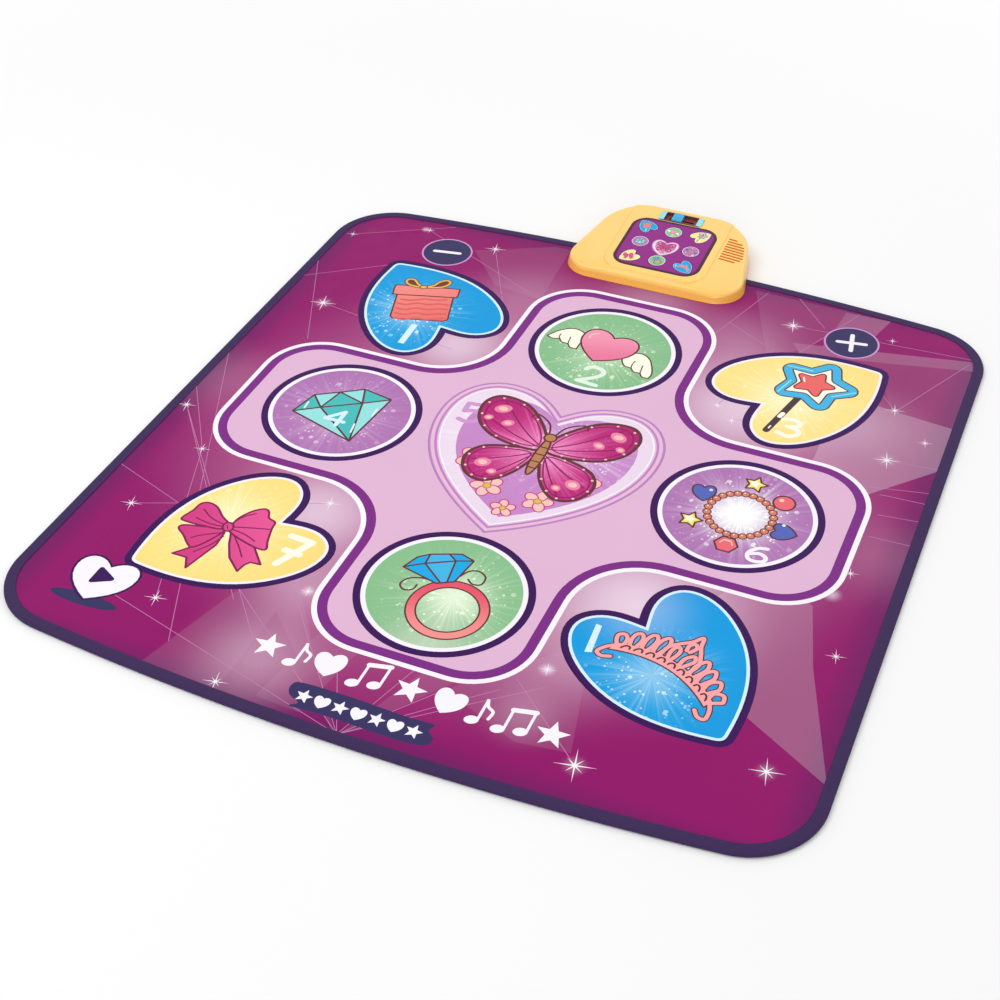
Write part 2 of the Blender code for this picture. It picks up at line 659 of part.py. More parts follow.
def build_mat_layers(zones):
    layer_inset = BINDING_EDGE + TOUCH_GAP
    holes, slot = screw_windows()
    windows = [grow_outline(outline, TOUCH_GAP) for name, outline, finish in zones]
    clamp = plate_outline((0, TAIL_Y), CLAMP_WIDTH, CLAMP_DEPTH, CLAMP_CORNER)
    prism("backing_sheet", [mat_outline(BINDING_WIDTH + TOUCH_GAP), grow_outline(clamp, TOUCH_GAP)],
          0.0, BACKING_THICKNESS, "grey_backing")
    prism("lower_membrane", [mat_outline(layer_inset)] + holes, MEMBRANE_LOW, MEMBRANE_TOP, "clear_film")
    prism("foam_spacer", [mat_outline(layer_inset)] + windows + holes + [slot],
          FOAM_LOW, FOAM_TOP, "white_foam")
    prism("printed_cover", [mat_outline(layer_inset)] + windows + holes + [slot],
          COVER_LOW, COVER_TOP, "magenta_vinyl")
    prism("mat_clamp_strip", [clamp] + holes, 0.0, BACKING_THICKNESS, "steel")


def build_edge_binding():
    """One tape folded round the mat's edge: a C section carried along the outline."""
    section = [
        (0.0, BINDING_LOW + BINDING_ROUND),
        (BINDING_ROUND, BINDING_LOW),
        (BINDING_WIDTH, BINDING_LOW),
        (BINDING_WIDTH, BINDING_LEG_TOP),
        (BINDING_EDGE, BINDING_LEG_TOP),
        (BINDING_EDGE, BINDING_LEG_LOW),
        (BINDING_WIDTH, BINDING_LEG_LOW),
        (BINDING_WIDTH, BINDING_TOP),
        (BINDING_ROUND, BINDING_TOP),
        (0.0, BINDING_TOP - BINDING_ROUND),
    ]
    rings = [at_height(mat_outline(inset), height) for inset, height in section]
    return loft("edge_binding", rings, "purple_binding", closed=True)


def build_pads(zones):
    for name, outline, finish in zones:
        prism(name, [outline], PAD_LOW, COVER_TOP, finish)


def box_outline(inset=0.0):
    corners = [(-BOX_FRONT_HALF, BOX_FRONT_Y), (BOX_FRONT_HALF, BOX_FRONT_Y),
               (BOX_REAR_HALF, BOX_REAR_Y), (-BOX_REAR_HALF, BOX_REAR_Y)]
    radii = (BOX_FRONT_RADIUS, BOX_FRONT_RADIUS, BOX_REAR_RADIUS, BOX_REAR_RADIUS)
    return rounded_outline(corners, radii, BOX_CORNER_STEPS, inset)


def box_half_width(y):
    """Half the base's width where its side is straight."""
    share = (y - BOX_FRONT_Y) / (BOX_REAR_Y - BOX_FRONT_Y)
    return BOX_FRONT_HALF + (BOX_REAR_HALF - BOX_FRONT_HALF) * share


def top_height(x, y):
    """Height of the box's top: a sloping middle band whose shoulders fall away past the creases."""
    shoulder = max(0.0, abs(x) - CREASE_X)
    return BOX_TOP_HEIGHT + (y - PANEL_Y) * math.tan(TOP_SLOPE) - shoulder * math.tan(SHOULDER_SLOPE)


def wrap_to_top(shape, depth):
    """Lifts a shell drawn under a flat top so that it follows the sloping top and the level rim."""
    for vert in shape.verts:
        x, y, level = vert.co
        top = top_height(x, y)
        if level >= -BOX_EDGE_RADIUS:
            vert.co.z = top + level
        else:
            share = (level + depth) / (depth - BOX_EDGE_RADIUS)
            vert.co.z = RIM_LOW + share * (top - BOX_EDGE_RADIUS - RIM_LOW)


def build_upper_shell():
    """The moulded shell: drafted walls, a rounded top edge, a creased top and an even wall."""
    depth = BOX_TOP_HEIGHT
    outer_round = (0, 30, 60, 90)
    inner_round = (90, 45, 0)
    inner_radius = BOX_EDGE_RADIUS - BOX_WALL
    middle = BOX_DRAFT + BOX_EDGE_RADIUS
    levels = [(0.0, -depth)]
    for degrees in outer_round:
        angle = math.radians(degrees)
        levels.append((middle - BOX_EDGE_RADIUS * math.cos(angle),
                       BOX_EDGE_RADIUS * math.sin(angle) - BOX_EDGE_RADIUS))
    inner = []
    for degrees in inner_round:
        angle = math.radians(degrees)
        inner.append((middle - inner_radius * math.cos(angle),
                      inner_radius * math.sin(angle) - BOX_EDGE_RADIUS))
    inner.append((BOX_WALL, -depth))
    shape = bmesh.new()

    def add_rows(pairs):
        rows = [[shape.verts.new((x, y, level)) for x, y in box_outline(inset)]
                for inset, level in pairs]
        for first, second in zip(rows, rows[1:]):
            for index in range(len(first)):
                after = (index + 1) % len(first)
                shape.faces.new((first[index], first[after], second[after], second[index]))
        return rows

    outside = add_rows(levels)
    inside = add_rows(inner)
    shape.faces.new(outside[-1])
    shape.faces.new(inside[0])
    rim_out, rim_in = outside[0], inside[-1]
    for index in range(len(rim_out)):
        after = (index + 1) % len(rim_out)
        shape.faces.new((rim_out[index], rim_out[after], rim_in[after], rim_in[index]))
    for side in (-1, 1):
        geometry = shape.verts[:] + shape.edges[:] + shape.faces[:]
        bmesh.ops.bisect_plane(shape, geom=geometry, dist=WELD, plane_co=(side * CREASE_X, 0, 0),
                               plane_no=(1, 0, 0))
    wrap_to_top(shape, depth)
    bmesh.ops.recalc_face_normals(shape, faces=shape.faces)
    mesh = bpy.data.meshes.new("upper_housing")
    shape.to_mesh(mesh)
    shape.free()
    return place_part("upper_housing", mesh, "yellow_plastic")


def add_top_frame():
    """An empty on the sloping top, at the panel's middle, that carries what lies in the top."""
    frame = bpy.data.objects.new("top_frame", None)
    frame.location = (0, PANEL_Y, BOX_TOP_HEIGHT)
    frame.rotation_euler.x = TOP_SLOPE
    PARTS.objects.link(frame)
    bpy.context.view_layer.update()
    return frame


def on_top(piece, frame):
    piece.parent = frame
    bpy.context.view_layer.update()
    return piece


def icon_places():
    return [(column * ICON_PITCH_X, row * ICON_PITCH_Y) for row in (1, 0, -1) for column in (-1, 0, 1)]


def switch_centre():
    """The switch's middle in the top frame, whose Y runs along the slope."""
    return (0.0, (SWITCH_Y - PANEL_Y) / math.cos(TOP_SLOPE))


def housing_screw_places():
    """Two screws just behind the step in the base and two by the rear corners."""
    front_y = TRAY_FRONT_Y + FRONT_SCREW_BEHIND_STEP
    rear_y = BOX_REAR_Y - REAR_SCREW_FROM_REAR
    places = []
    for y, side in ((front_y, FRONT_SCREW_SIDE), (rear_y, REAR_SCREW_SIDE)):
        x = box_half_width(y) - side
        places.extend([(-x, y), (x, y)])
    return places


def speaker_top():
    return top_height(SPEAKER_X, SPEAKER_Y) - BOX_WALL - SPEAKER_DROP


def build_upper_housing(frame):
    housing = build_upper_shell()
    bosses = []
    pilots = []
    boss_low = TRAY_LOW + POST_HEIGHT + TOUCH_GAP
    for index, place in enumerate(housing_screw_places()):
        wall_middle = top_height(*place) - BOX_WALL / 2
        bosses.append(cylinder(f"boss_{index}", place, BOSS_RADIUS, boss_low, wall_middle))
        pilots.append(cylinder(f"pilot_{index}", place, SCREW_HOLE_RADIUS, boss_low - BOSS_RADIUS,
                               boss_low + SCREW_LENGTH))
    boolean(housing, join_meshes(bosses, "screw_bosses"), "UNION")

    posts = []
    for x in (-BOARD_POST_X, BOARD_POST_X):
        for y in (-BOARD_POST_Y, BOARD_POST_Y):
            post = cylinder(f"board_post_{x}_{y}", (x, y), BOARD_POST_RADIUS, BOARD_TOP + TOUCH_GAP,
                            -BOX_WALL + TOUCH_GAP)
            posts.append(on_top(post, frame))
    boolean(housing, join_meshes(posts, "board_posts"), "UNION")

    collar_top = top_height(SPEAKER_X, SPEAKER_Y) - BOX_WALL / 2
    collar_low = speaker_top() + TOUCH_GAP
    collar = turned("speaker_collar", [
        (SPEAKER_RADIUS - SPEAKER_COLLAR, collar_top), (SPEAKER_RADIUS, collar_top),
        (SPEAKER_RADIUS, collar_low), (SPEAKER_RADIUS - SPEAKER_COLLAR, collar_low),
        (SPEAKER_RADIUS - SPEAKER_COLLAR, collar_top)],
        "steel", place=(SPEAKER_X, SPEAKER_Y, 0), steps=SPEAKER_STEPS)
    boolean(housing, as_cutter(collar), "UNION")

    boolean(housing, join_meshes(pilots, "screw_pilots"), "DIFFERENCE")
    boolean(housing, panel_recess(frame), "DIFFERENCE")
    boolean(housing, light_wells(frame), "DIFFERENCE")
    boolean(housing, switch_window(frame), "DIFFERENCE")
    boolean(housing, speaker_slits(), "DIFFERENCE")
    boolean(housing, mat_clearance(), "DIFFERENCE")
    boolean(housing, tongue_slots(), "DIFFERENCE")
    smooth_by_angle(housing)
    even = housing.modifiers.new("even_shading", "WEIGHTED_NORMAL")
    even.keep_sharp = True
    return housing


def panel_recess(frame):
    outline = plate_outline((0, 0), PANEL_WIDTH + 2 * TOUCH_GAP, PANEL_LENGTH + 2 * TOUCH_GAP,
                            PANEL_RADIUS + TOUCH_GAP, steps=7)
    recess = prism("panel_recess", [outline], -PANEL_THICKNESS - TOUCH_GAP, BOX_WALL, "steel")
    return as_cutter(on_top(recess, frame))


def light_wells(frame):
    wells = []
    for index, place in enumerate(icon_places()):
        well = cylinder(f"well_{index}", place, WELL_RADIUS, -2 * BOX_WALL, -PANEL_THICKNESS)
        wells.append(on_top(well, frame))
    return join_meshes(wells, "light_wells")


def switch_window(frame):
    outline = plate_outline(switch_centre(), SWITCH_WIDTH + 2 * TOUCH_GAP, SWITCH_LENGTH + 2 * TOUCH_GAP,
                            SWITCH_CORNER + TOUCH_GAP)
    return as_cutter(on_top(prism("switch_window", [outline], -2 * BOX_WALL, BOX_WALL, "steel"), frame))


def speaker_slits():
    """Slits over the speaker. Their right ends follow the box's side, and the outer ones are shorter."""
    slits = []
    middle = (SLIT_COUNT - 1) / 2
    low = speaker_top() + TOUCH_GAP
    for index in range(SLIT_COUNT):
        y = SLIT_MIDDLE_Y + (index - middle) * SLIT_PITCH
        shortening = SLIT_END_TAPER * ((index - middle) / middle) ** 4
        right = box_half_width(y) - SLIT_EDGE_MARGIN - shortening
        outline = plate_outline(((SLIT_LEFT_X + right) / 2, y), right - SLIT_LEFT_X, SLIT_WIDTH,
                                SLIT_CORNER, steps=1)
        slits.append(prism(f"slit_{index}", [outline], low, low + 4 * BOX_WALL, "steel"))
    return join_meshes(slits, "speaker_slits")


def mat_clearance():
    """Cuts the rim where it stands on the mat, and a little higher over the binding."""
    side = BOX_FRONT_HALF + BOX_WALL
    binding_front = MAT_LENGTH / 2 - BINDING_WIDTH - RIM_MAT_STEP
    on_cover = box("rim_over_cover", (-side, BOX_FRONT_Y - BOX_WALL, -RIM_LOW),
                   (side, binding_front, RIM_ON_MAT))
    bow_drop = side ** 2 / (2 * END_BOW_RADIUS)
    over_binding = box("rim_over_binding", (-side, binding_front - bow_drop, -RIM_LOW),
                       (side, MAT_LENGTH / 2 + RIM_MAT_STEP, SHELF_LOW))
    boolean(over_binding, as_cutter(on_cover), "UNION")
    return as_cutter(over_binding)


def tongue_span():
    """Heights of the lip that hooks the shelf's tongue into the front wall."""
    top = SHELF_TOP + TONGUE_RISE
    return top - TONGUE_LIP, top


def inner_inset(height):
    """How far in the shell's inner face stands at a height, at the front, where it leans most."""
    wall_top = top_height(0, BOX_FRONT_Y) - BOX_EDGE_RADIUS
    share = (height - RIM_LOW) / (wall_top - RIM_LOW)
    return BOX_WALL + BOX_DRAFT * share


def front_wall_inside(height):
    return BOX_FRONT_Y + inner_inset(height)


def tongue_slots():
    low, top = tongue_span()
    inside = front_wall_inside(low)
    slots = []
    for side in (-1, 1):
        middle = side * TONGUE_X
        half = TONGUE_WIDTH / 2 + TOUCH_GAP
        slots.append(box(f"tongue_slot_{side}",
                         (middle - half, inside - BOX_WALL / 2 - TOUCH_GAP, low - TOUCH_GAP),
                         (middle + half, inside + BOX_WALL, top + TOUCH_GAP)))
    return join_meshes(slots, "tongue_slots")


def build_lower_housing():
    """The base: a shelf over the mat, a tray behind it, the battery bay and the screw posts."""
    fit = inner_inset(SHELF_TOP) + HOUSING_CLEARANCE
    side = BOX_FRONT_HALF
    housing = loft("lower_housing", [at_height(box_outline(BOX_WALL + HOUSING_CLEARANCE), TRAY_LOW),
                                     at_height(box_outline(fit), SHELF_TOP)], "yellow_plastic")
    under_shelf = box("under_shelf", (-side, BOX_FRONT_Y - BOX_WALL, -TRAY_LOW),
                      (side, TRAY_FRONT_Y, SHELF_LOW))
    boolean(housing, as_cutter(under_shelf), "DIFFERENCE")
    hollow = prism("tray_hollow", [box_outline(fit + TRAY_WALL)], TRAY_TOP, SHELF_TOP + BOX_WALL, "steel")
    behind = box("tray_behind_step", (-side, TRAY_FRONT_Y + TRAY_WALL, 0),
                 (side, BOX_REAR_Y, BOX_TOP_HEIGHT))
    boolean(hollow, as_cutter(behind), "INTERSECT")
    boolean(housing, as_cutter(hollow), "DIFFERENCE")

    posts = []
    sinks = []
    for index, place in enumerate(housing_screw_places()):
        posts.append(cylinder(f"post_{index}", place, POST_RADIUS, TRAY_LOW + TRAY_THICKNESS / 2,
                              TRAY_LOW + POST_HEIGHT))
        sinks.append(turned(f"screw_sink_{index}", [
            (0, TRAY_LOW + POST_HEIGHT + BOX_WALL),
            (SCREW_HOLE_RADIUS, TRAY_LOW + POST_HEIGHT + BOX_WALL),
            (SCREW_HOLE_RADIUS, sink_ceiling()),
            (SCREW_HEAD_RADIUS + TOUCH_GAP, sink_ceiling()),
            (SCREW_HEAD_RADIUS + TOUCH_GAP, 0), (0, 0)], "steel", place=(*place, 0)))
    boolean(housing, join_meshes(posts, "screw_posts"), "UNION")
    for sink in sinks:
        boolean(housing, as_cutter(sink), "DIFFERENCE")

    bay = box("bay_block", (-BAY_HALF_X - BAY_WALL, DOOR_FRONT_Y - TRAY_WALL, TRAY_LOW + TRAY_THICKNESS / 2),
              (BAY_HALF_X + BAY_WALL, BAY_Y + BAY_HALF_Y + BAY_REAR_WALL, BAY_TOP + BAY_ROOF))
    boolean(housing, as_cutter(bay), "UNION")
    boolean(housing, bay_pocket(), "DIFFERENCE")
    boolean(housing, shelf_holes(), "DIFFERENCE")
    boolean(housing, shelf_tongues(), "UNION")
    return housing


def sink_ceiling():
    return TRAY_LOW + TOUCH_GAP + SCREW_HEAD_HEIGHT + TOUCH_GAP


def bay_pocket():
    """The cells' space, the door's seat below it, the door screw's hole and the wires' holes."""
    door = box("door_seat", (-DOOR_HALF_X - TOUCH_GAP, DOOR_FRONT_Y - TOUCH_GAP, -TRAY_LOW),
               (DOOR_HALF_X + TOUCH_GAP, DOOR_REAR_Y + TOUCH_GAP, TRAY_TOP + TOUCH_GAP))
    cells = box("cell_space", (-BAY_HALF_X, BAY_Y - BAY_HALF_Y, 0),
                (BAY_HALF_X, BAY_Y + BAY_HALF_Y, BAY_TOP))
    hole = cylinder("door_screw_hole", (0, DOOR_SCREW_Y), SCREW_RADIUS + DOOR_SCREW_CLEARANCE, 0,
                    TRAY_TOP + DOOR_SCREW_LENGTH + TOUCH_GAP)
    wires = cylinder("wire_holes", (0, 0), LEAD_RADIUS + LEAD_HOLE_CLEARANCE,
                     -BAY_HALF_X - 2 * BAY_WALL, BAY_HALF_X + 2 * BAY_WALL, steps=10)
    wires.rotation_euler.y = math.pi / 2
    wires.location = (0, lead_start_y(), LEAD_HEIGHT)
    for tool in (cells, hole, wires):
        boolean(door, as_cutter(tool), "UNION")
    return as_cutter(door)


def lead_start_y():
    return BAY_Y - CELL_PITCH / 2


def shelf_holes():
    holes = [cylinder(f"mat_screw_hole_{index}", place, SCREW_HOLE_RADIUS, 0, SHELF_TOP + BOX_WALL)
             for index, place in enumerate(mat_screw_places())]
    slot = prism("tail_slot", [screw_windows()[1]], 0, SHELF_TOP + BOX_WALL, "steel")
    return join_meshes(holes + [slot], "shelf_holes")


def shelf_tongues():
    """Two hooks at the shelf's front: an upright and a lip that reaches into the front wall."""
    low, top = tongue_span()
    inside = front_wall_inside(top) + TOUCH_GAP
    hooks = []
    for side in (-1, 1):
        middle = side * TONGUE_X
        half = TONGUE_WIDTH / 2
        upright = box(f"tongue_{side}", (middle - half, inside, SHELF_LOW + SHELF_THICKNESS / 2),
                      (middle + half, inside + TONGUE_THICKNESS, top))
        lip = box(f"tongue_lip_{side}", (middle - half, front_wall_inside(low) - BOX_WALL / 2, low),
                  (middle + half, inside + TONGUE_THICKNESS / 2, top))
        boolean(upright, as_cutter(lip), "UNION")
        hooks.append(upright)
    boolean(hooks[0], as_cutter(hooks[1]), "UNION")
    return as_cutter(hooks[0])


def build_feet():
    """A rubber foot on each side, halfway between the front and the rear screw."""
    front, rear = housing_screw_places()[1], housing_screw_places()[3]
    middle = (Vector(front) + Vector(rear)) / 2
    for side, label in ((-1, "left"), (1, "right")):
        outline = plate_outline((side * middle.x, middle.y), FOOT_WIDTH, FOOT_LENGTH, FOOT_CORNER)
        prism(f"rubber_foot_{label}", [outline], 0.0, TRAY_LOW - TOUCH_GAP, "rubber")


def screw_profile(head_radius, head_height, crown_drop, length):
    """A screw standing on its point, its head up."""
    return [(0, 0), (SCREW_CROWN_RADIUS, 0), (head_radius, -crown_drop),
            (head_radius, -head_height), (SCREW_RADIUS, -head_height),
            (SCREW_RADIUS, -head_height - length + SCREW_RADIUS), (0, -head_height - length)]


def build_screws():
    for index, (x, y) in enumerate(mat_screw_places(), start=1):
        head_top = SHELF_TOP + TOUCH_GAP + SCREW_HEAD_HEIGHT
        profile = screw_profile(SCREW_HEAD_RADIUS, SCREW_HEAD_HEIGHT, SCREW_CROWN_DROP, SHELF_TOP)
        turned(f"mat_screw_{index}", profile, "steel", place=(x, y, head_top))
    for index, (x, y) in enumerate(housing_screw_places(), start=1):
        profile = screw_profile(SCREW_HEAD_RADIUS, SCREW_HEAD_HEIGHT, SCREW_CROWN_DROP, SCREW_LENGTH)
        screw = turned(f"housing_screw_{index}", profile, "steel", place=(x, y, TRAY_LOW + TOUCH_GAP))
        screw.rotation_euler.x = math.pi


def build_panel_and_board(frame):
    outline = plate_outline((0, 0), PANEL_WIDTH, PANEL_LENGTH, PANEL_RADIUS, steps=7)
    on_top(prism("picture_panel", [outline], -PANEL_THICKNESS, 0.0, "purple_panel"), frame)
    board = plate_outline((0, 0), BOARD_WIDTH, BOARD_LENGTH, BOARD_CORNER, steps=2)
    on_top(prism("main_board", [board], BOARD_LOW, BOARD_TOP, "green_board"), frame)
    foot = BOARD_TOP + TOUCH_GAP
    for index, (x, y) in enumerate(icon_places(), start=1):
        angles = [math.pi / 2 * step / LED_DOME_STEPS for step in range(LED_DOME_STEPS + 1)]
        dome = [(LED_RADIUS * math.sin(angle), LED_BODY + LED_RADIUS * math.cos(angle)) for angle in angles]
        led = turned(f"panel_led_{index}", dome + [(LED_RADIUS, 0), (0, 0)], "led_lens",
                     place=(x, y, foot), steps=LED_STEPS)
        on_top(led, frame)
    under = BOARD_LOW - TOUCH_GAP
    half = CHIP_SIZE / 2
    on_top(box("sound_chip", (CHIP_X - half, -half, under - CHIP_HEIGHT), (CHIP_X + half, half, under),
               "black_plastic"), frame)


def connector_middle():
    """Place of the ribbon connector in the top frame, right above the membrane's tail."""
    drop = BOARD_LOW - TOUCH_GAP - CONNECTOR_HEIGHT / 2
    along = (TAIL_Y - PANEL_Y - drop * -math.sin(TOP_SLOPE)) / math.cos(TOP_SLOPE)
    return along, drop


def build_ribbon(frame):
    along, drop = connector_middle()
    half_x, half_y, half_z = CONNECTOR_WIDTH / 2, CONNECTOR_DEPTH / 2, CONNECTOR_HEIGHT / 2
    connector = box("ribbon_connector", (-half_x, along - half_y, drop - half_z),
                    (half_x, along + half_y, drop + half_z), "black_plastic")
    on_top(connector, frame)
    low_corner = (BOX_TOP_HEIGHT + (along - half_y) * math.sin(TOP_SLOPE)
                  + (drop - half_z) * math.cos(TOP_SLOPE))
    box("membrane_tail", (-TAIL_WIDTH / 2, TAIL_Y - TAIL_THICKNESS / 2, MEMBRANE_TOP + TOUCH_GAP),
        (TAIL_WIDTH / 2, TAIL_Y + TAIL_THICKNESS / 2, low_corner - TOUCH_GAP), "clear_film")


def build_slide_switch(frame):
    """A bezel with two end caps, a dark slotted plate below it, the knob and the switch it drives."""
    middle_y = switch_centre()[1]
    opening_x = SWITCH_WIDTH - 2 * SWITCH_CAP
    opening_y = SWITCH_LENGTH - 2 * SWITCH_SIDE_RIM
    outer = plate_outline(switch_centre(), SWITCH_WIDTH, SWITCH_LENGTH, SWITCH_CORNER)
    inner = plate_outline(switch_centre(), opening_x, opening_y, SWITCH_SIDE_RIM, steps=3)
    on_top(prism("switch_bezel", [outer, inner], -BOX_WALL, SWITCH_RIM_HEIGHT, "cyan_plastic"), frame)

    plate_top = -BOX_WALL - TOUCH_GAP
    plate_low = plate_top - SLOT_PLATE_THICKNESS
    travel = opening_x - KNOB_WIDTH
    slot_length = travel + STEM_WIDTH + 2 * STEM_CLEARANCE
    slot_width = STEM_DEPTH + 2 * STEM_CLEARANCE
    outline = plate_outline(switch_centre(), SWITCH_WIDTH + 2 * SLOT_PLATE_MARGIN,
                            SWITCH_LENGTH + SLOT_PLATE_MARGIN, SWITCH_CORNER, steps=2)
    slot = plate_outline(switch_centre(), slot_length, slot_width, STEM_CLEARANCE, steps=1)
    on_top(prism("switch_slot_plate", [outline, slot], plate_low, plate_top, "dark_slot"), frame)

    knob = box("switch_knob", (-KNOB_WIDTH / 2, -opening_y / 2 + KNOB_RUN_CLEARANCE, plate_top + TOUCH_GAP),
               (KNOB_WIDTH / 2, opening_y / 2 - KNOB_RUN_CLEARANCE, KNOB_HEIGHT), "blue_plastic")
    knob.location = (KNOB_REST_X, middle_y, 0)
    stem = box("knob_stem", (-STEM_WIDTH / 2, -STEM_DEPTH / 2, plate_top - STEM_DROP),
               (STEM_WIDTH / 2, STEM_DEPTH / 2, plate_top + BOX_WALL))
    stem.location = knob.location
    grooves = []
    for index in range(KNOB_RIBS):
        x = (index - (KNOB_RIBS - 1) / 2) * KNOB_WIDTH / (KNOB_RIBS + 1)
        groove = box(f"knob_groove_{index}",
                     (x - KNOB_RIB_DEPTH / 2, -SWITCH_LENGTH, KNOB_HEIGHT - KNOB_RIB_DEPTH),
                     (x + KNOB_RIB_DEPTH / 2, SWITCH_LENGTH, KNOB_HEIGHT + KNOB_RIB_DEPTH))
        groove.location = knob.location
        grooves.append(on_top(groove, frame))
    on_top(knob, frame)
    boolean(knob, as_cutter(on_top(stem, frame)), "UNION")
    boolean(knob, join_meshes(grooves, "knob_grooves"), "DIFFERENCE")

    body_top = plate_low - TOUCH_GAP
    body_half = slot_length / 2 + 2 * STEM_WIDTH
    body = box("switch_body", (-body_half, -SWITCH_BODY_LENGTH / 2, body_top - SWITCH_BODY_HEIGHT),
               (body_half, SWITCH_BODY_LENGTH / 2, body_top), "black_plastic")
    body.location = (0, middle_y, 0)
    groove_floor = plate_top - STEM_DROP - STEM_CLEARANCE
    groove = box("switch_body_groove", (-slot_length / 2, -slot_width / 2, groove_floor),
                 (slot_length / 2, slot_width / 2, body_top + STEM_DROP))
    groove.location = body.location
    on_top(body, frame)
    boolean(body, as_cutter(on_top(groove, frame)), "DIFFERENCE")


def build_speaker():
    """A small moving coil speaker hung under the slits: basket, paper cone and magnet."""
    place = (SPEAKER_X, SPEAKER_Y, speaker_top())
    mouth = SPEAKER_RADIUS - SPEAKER_RIM_WIDTH
    turned("speaker_basket", [
        (0, BASKET_SHEET - BASKET_DEPTH), (BASKET_FLOOR_RADIUS - BASKET_SHEET, BASKET_SHEET - BASKET_DEPTH),
        (mouth, 0), (SPEAKER_RADIUS, 0), (SPEAKER_RADIUS, -SPEAKER_RIM_THICKNESS),
        (mouth, -SPEAKER_RIM_THICKNESS), (BASKET_FLOOR_RADIUS, -BASKET_DEPTH), (0, -BASKET_DEPTH)],
        "steel", place, steps=SPEAKER_STEPS)
    cap_top = CONE_CAP_RISE - CONE_NECK_DROP
    neck_low = -CONE_NECK_DROP - CONE_SHEET
    turned("speaker_cone", [
        (0, cap_top), (CONE_CAP_RADIUS, CONE_CAP_EDGE - CONE_NECK_DROP), (CONE_NECK_RADIUS, -CONE_NECK_DROP),
        (CONE_RADIUS, -CONE_DROP), (CONE_RADIUS, -CONE_DROP - CONE_SHEET),
        (CONE_NECK_RADIUS, neck_low), (0, neck_low)], "cone_paper", place, steps=SPEAKER_STEPS)
    magnet_top = -BASKET_DEPTH - TOUCH_GAP
    turned("speaker_magnet", [
        (0, magnet_top), (MAGNET_RADIUS, magnet_top), (MAGNET_RADIUS, magnet_top - MAGNET_THICKNESS),
        (0, magnet_top - MAGNET_THICKNESS)], "steel", place, steps=SPEAKER_STEPS)


def build_cells():
    """Three cells side by side, turned end for end so that they stand in series."""
    half = CELL_LENGTH / 2
    profile = [(0, half), (CELL_NUB_RADIUS, half), (CELL_NUB_RADIUS, half - CELL_NUB_LENGTH),
               (CELL_RADIUS, half - CELL_NUB_LENGTH), (CELL_RADIUS, -half), (0, -half)]
    for index in range(CELL_COUNT):
        offset = (index - (CELL_COUNT - 1) / 2) * CELL_PITCH
        cell = turned(f"battery_{index + 1}", profile, "cell_wrap",
                      place=(0, BAY_Y + offset, CELL_Z), steps=CELL_STEPS)
        cell.rotation_euler.y = math.pi / 2 if index % 2 else -math.pi / 2


def build_contacts():
    """A plate at each end of the bay, with a cone for each cell's spring."""
    half_y = BAY_HALF_Y - BAY_SIDE_ROOM
    low, top = TRAY_TOP + 2 * TOUCH_GAP, BAY_TOP - TOUCH_GAP
    for side, label in ((-1, "left"), (1, "right")):
        outer = side * (BAY_HALF_X - TOUCH_GAP)
        inner = outer - side * CONTACT_THICKNESS
        plate = box(f"battery_contact_{label}", (min(outer, inner), BAY_Y - half_y, low),
                    (max(outer, inner), BAY_Y + half_y, top), "steel")
        cones = []
        for index in range(CELL_COUNT):
            offset = (index - (CELL_COUNT - 1) / 2) * CELL_PITCH
            cone = turned(f"contact_cone_{label}_{index}", [
                (0, CONTACT_SPRING_REACH), (CONTACT_SPRING_TIP, CONTACT_SPRING_REACH),
                (CONTACT_SPRING_RADIUS, -CONTACT_THICKNESS / 2), (0, -CONTACT_THICKNESS / 2)],
                "steel", place=(inner, BAY_Y + offset, CELL_Z))
            cone.rotation_euler.y = -side * math.pi / 2
            cones.append(cone)
        for cone in cones:
            boolean(plate, as_cutter(cone), "UNION")


def smooth_route(points, count):
    """Evenly counted points on a smooth curve through a route's own points."""
    ends = [points[0]] + list(points) + [points[-1]]
    route = []
    spans = len(points) - 1
    for step in range(count + 1):
        place = step / count * spans
        span = min(int(place), spans - 1)
        t = place - span
        p0, p1, p2, p3 = (Vector(ends[span + offset]) for offset in range(4))
        route.append(0.5 * (2 * p1 + (p2 - p0) * t + (2 * p0 - 5 * p1 + 4 * p2 - p3) * t ** 2
                            + (3 * p1 - p0 - 3 * p2 + p3) * t ** 3))
    return route


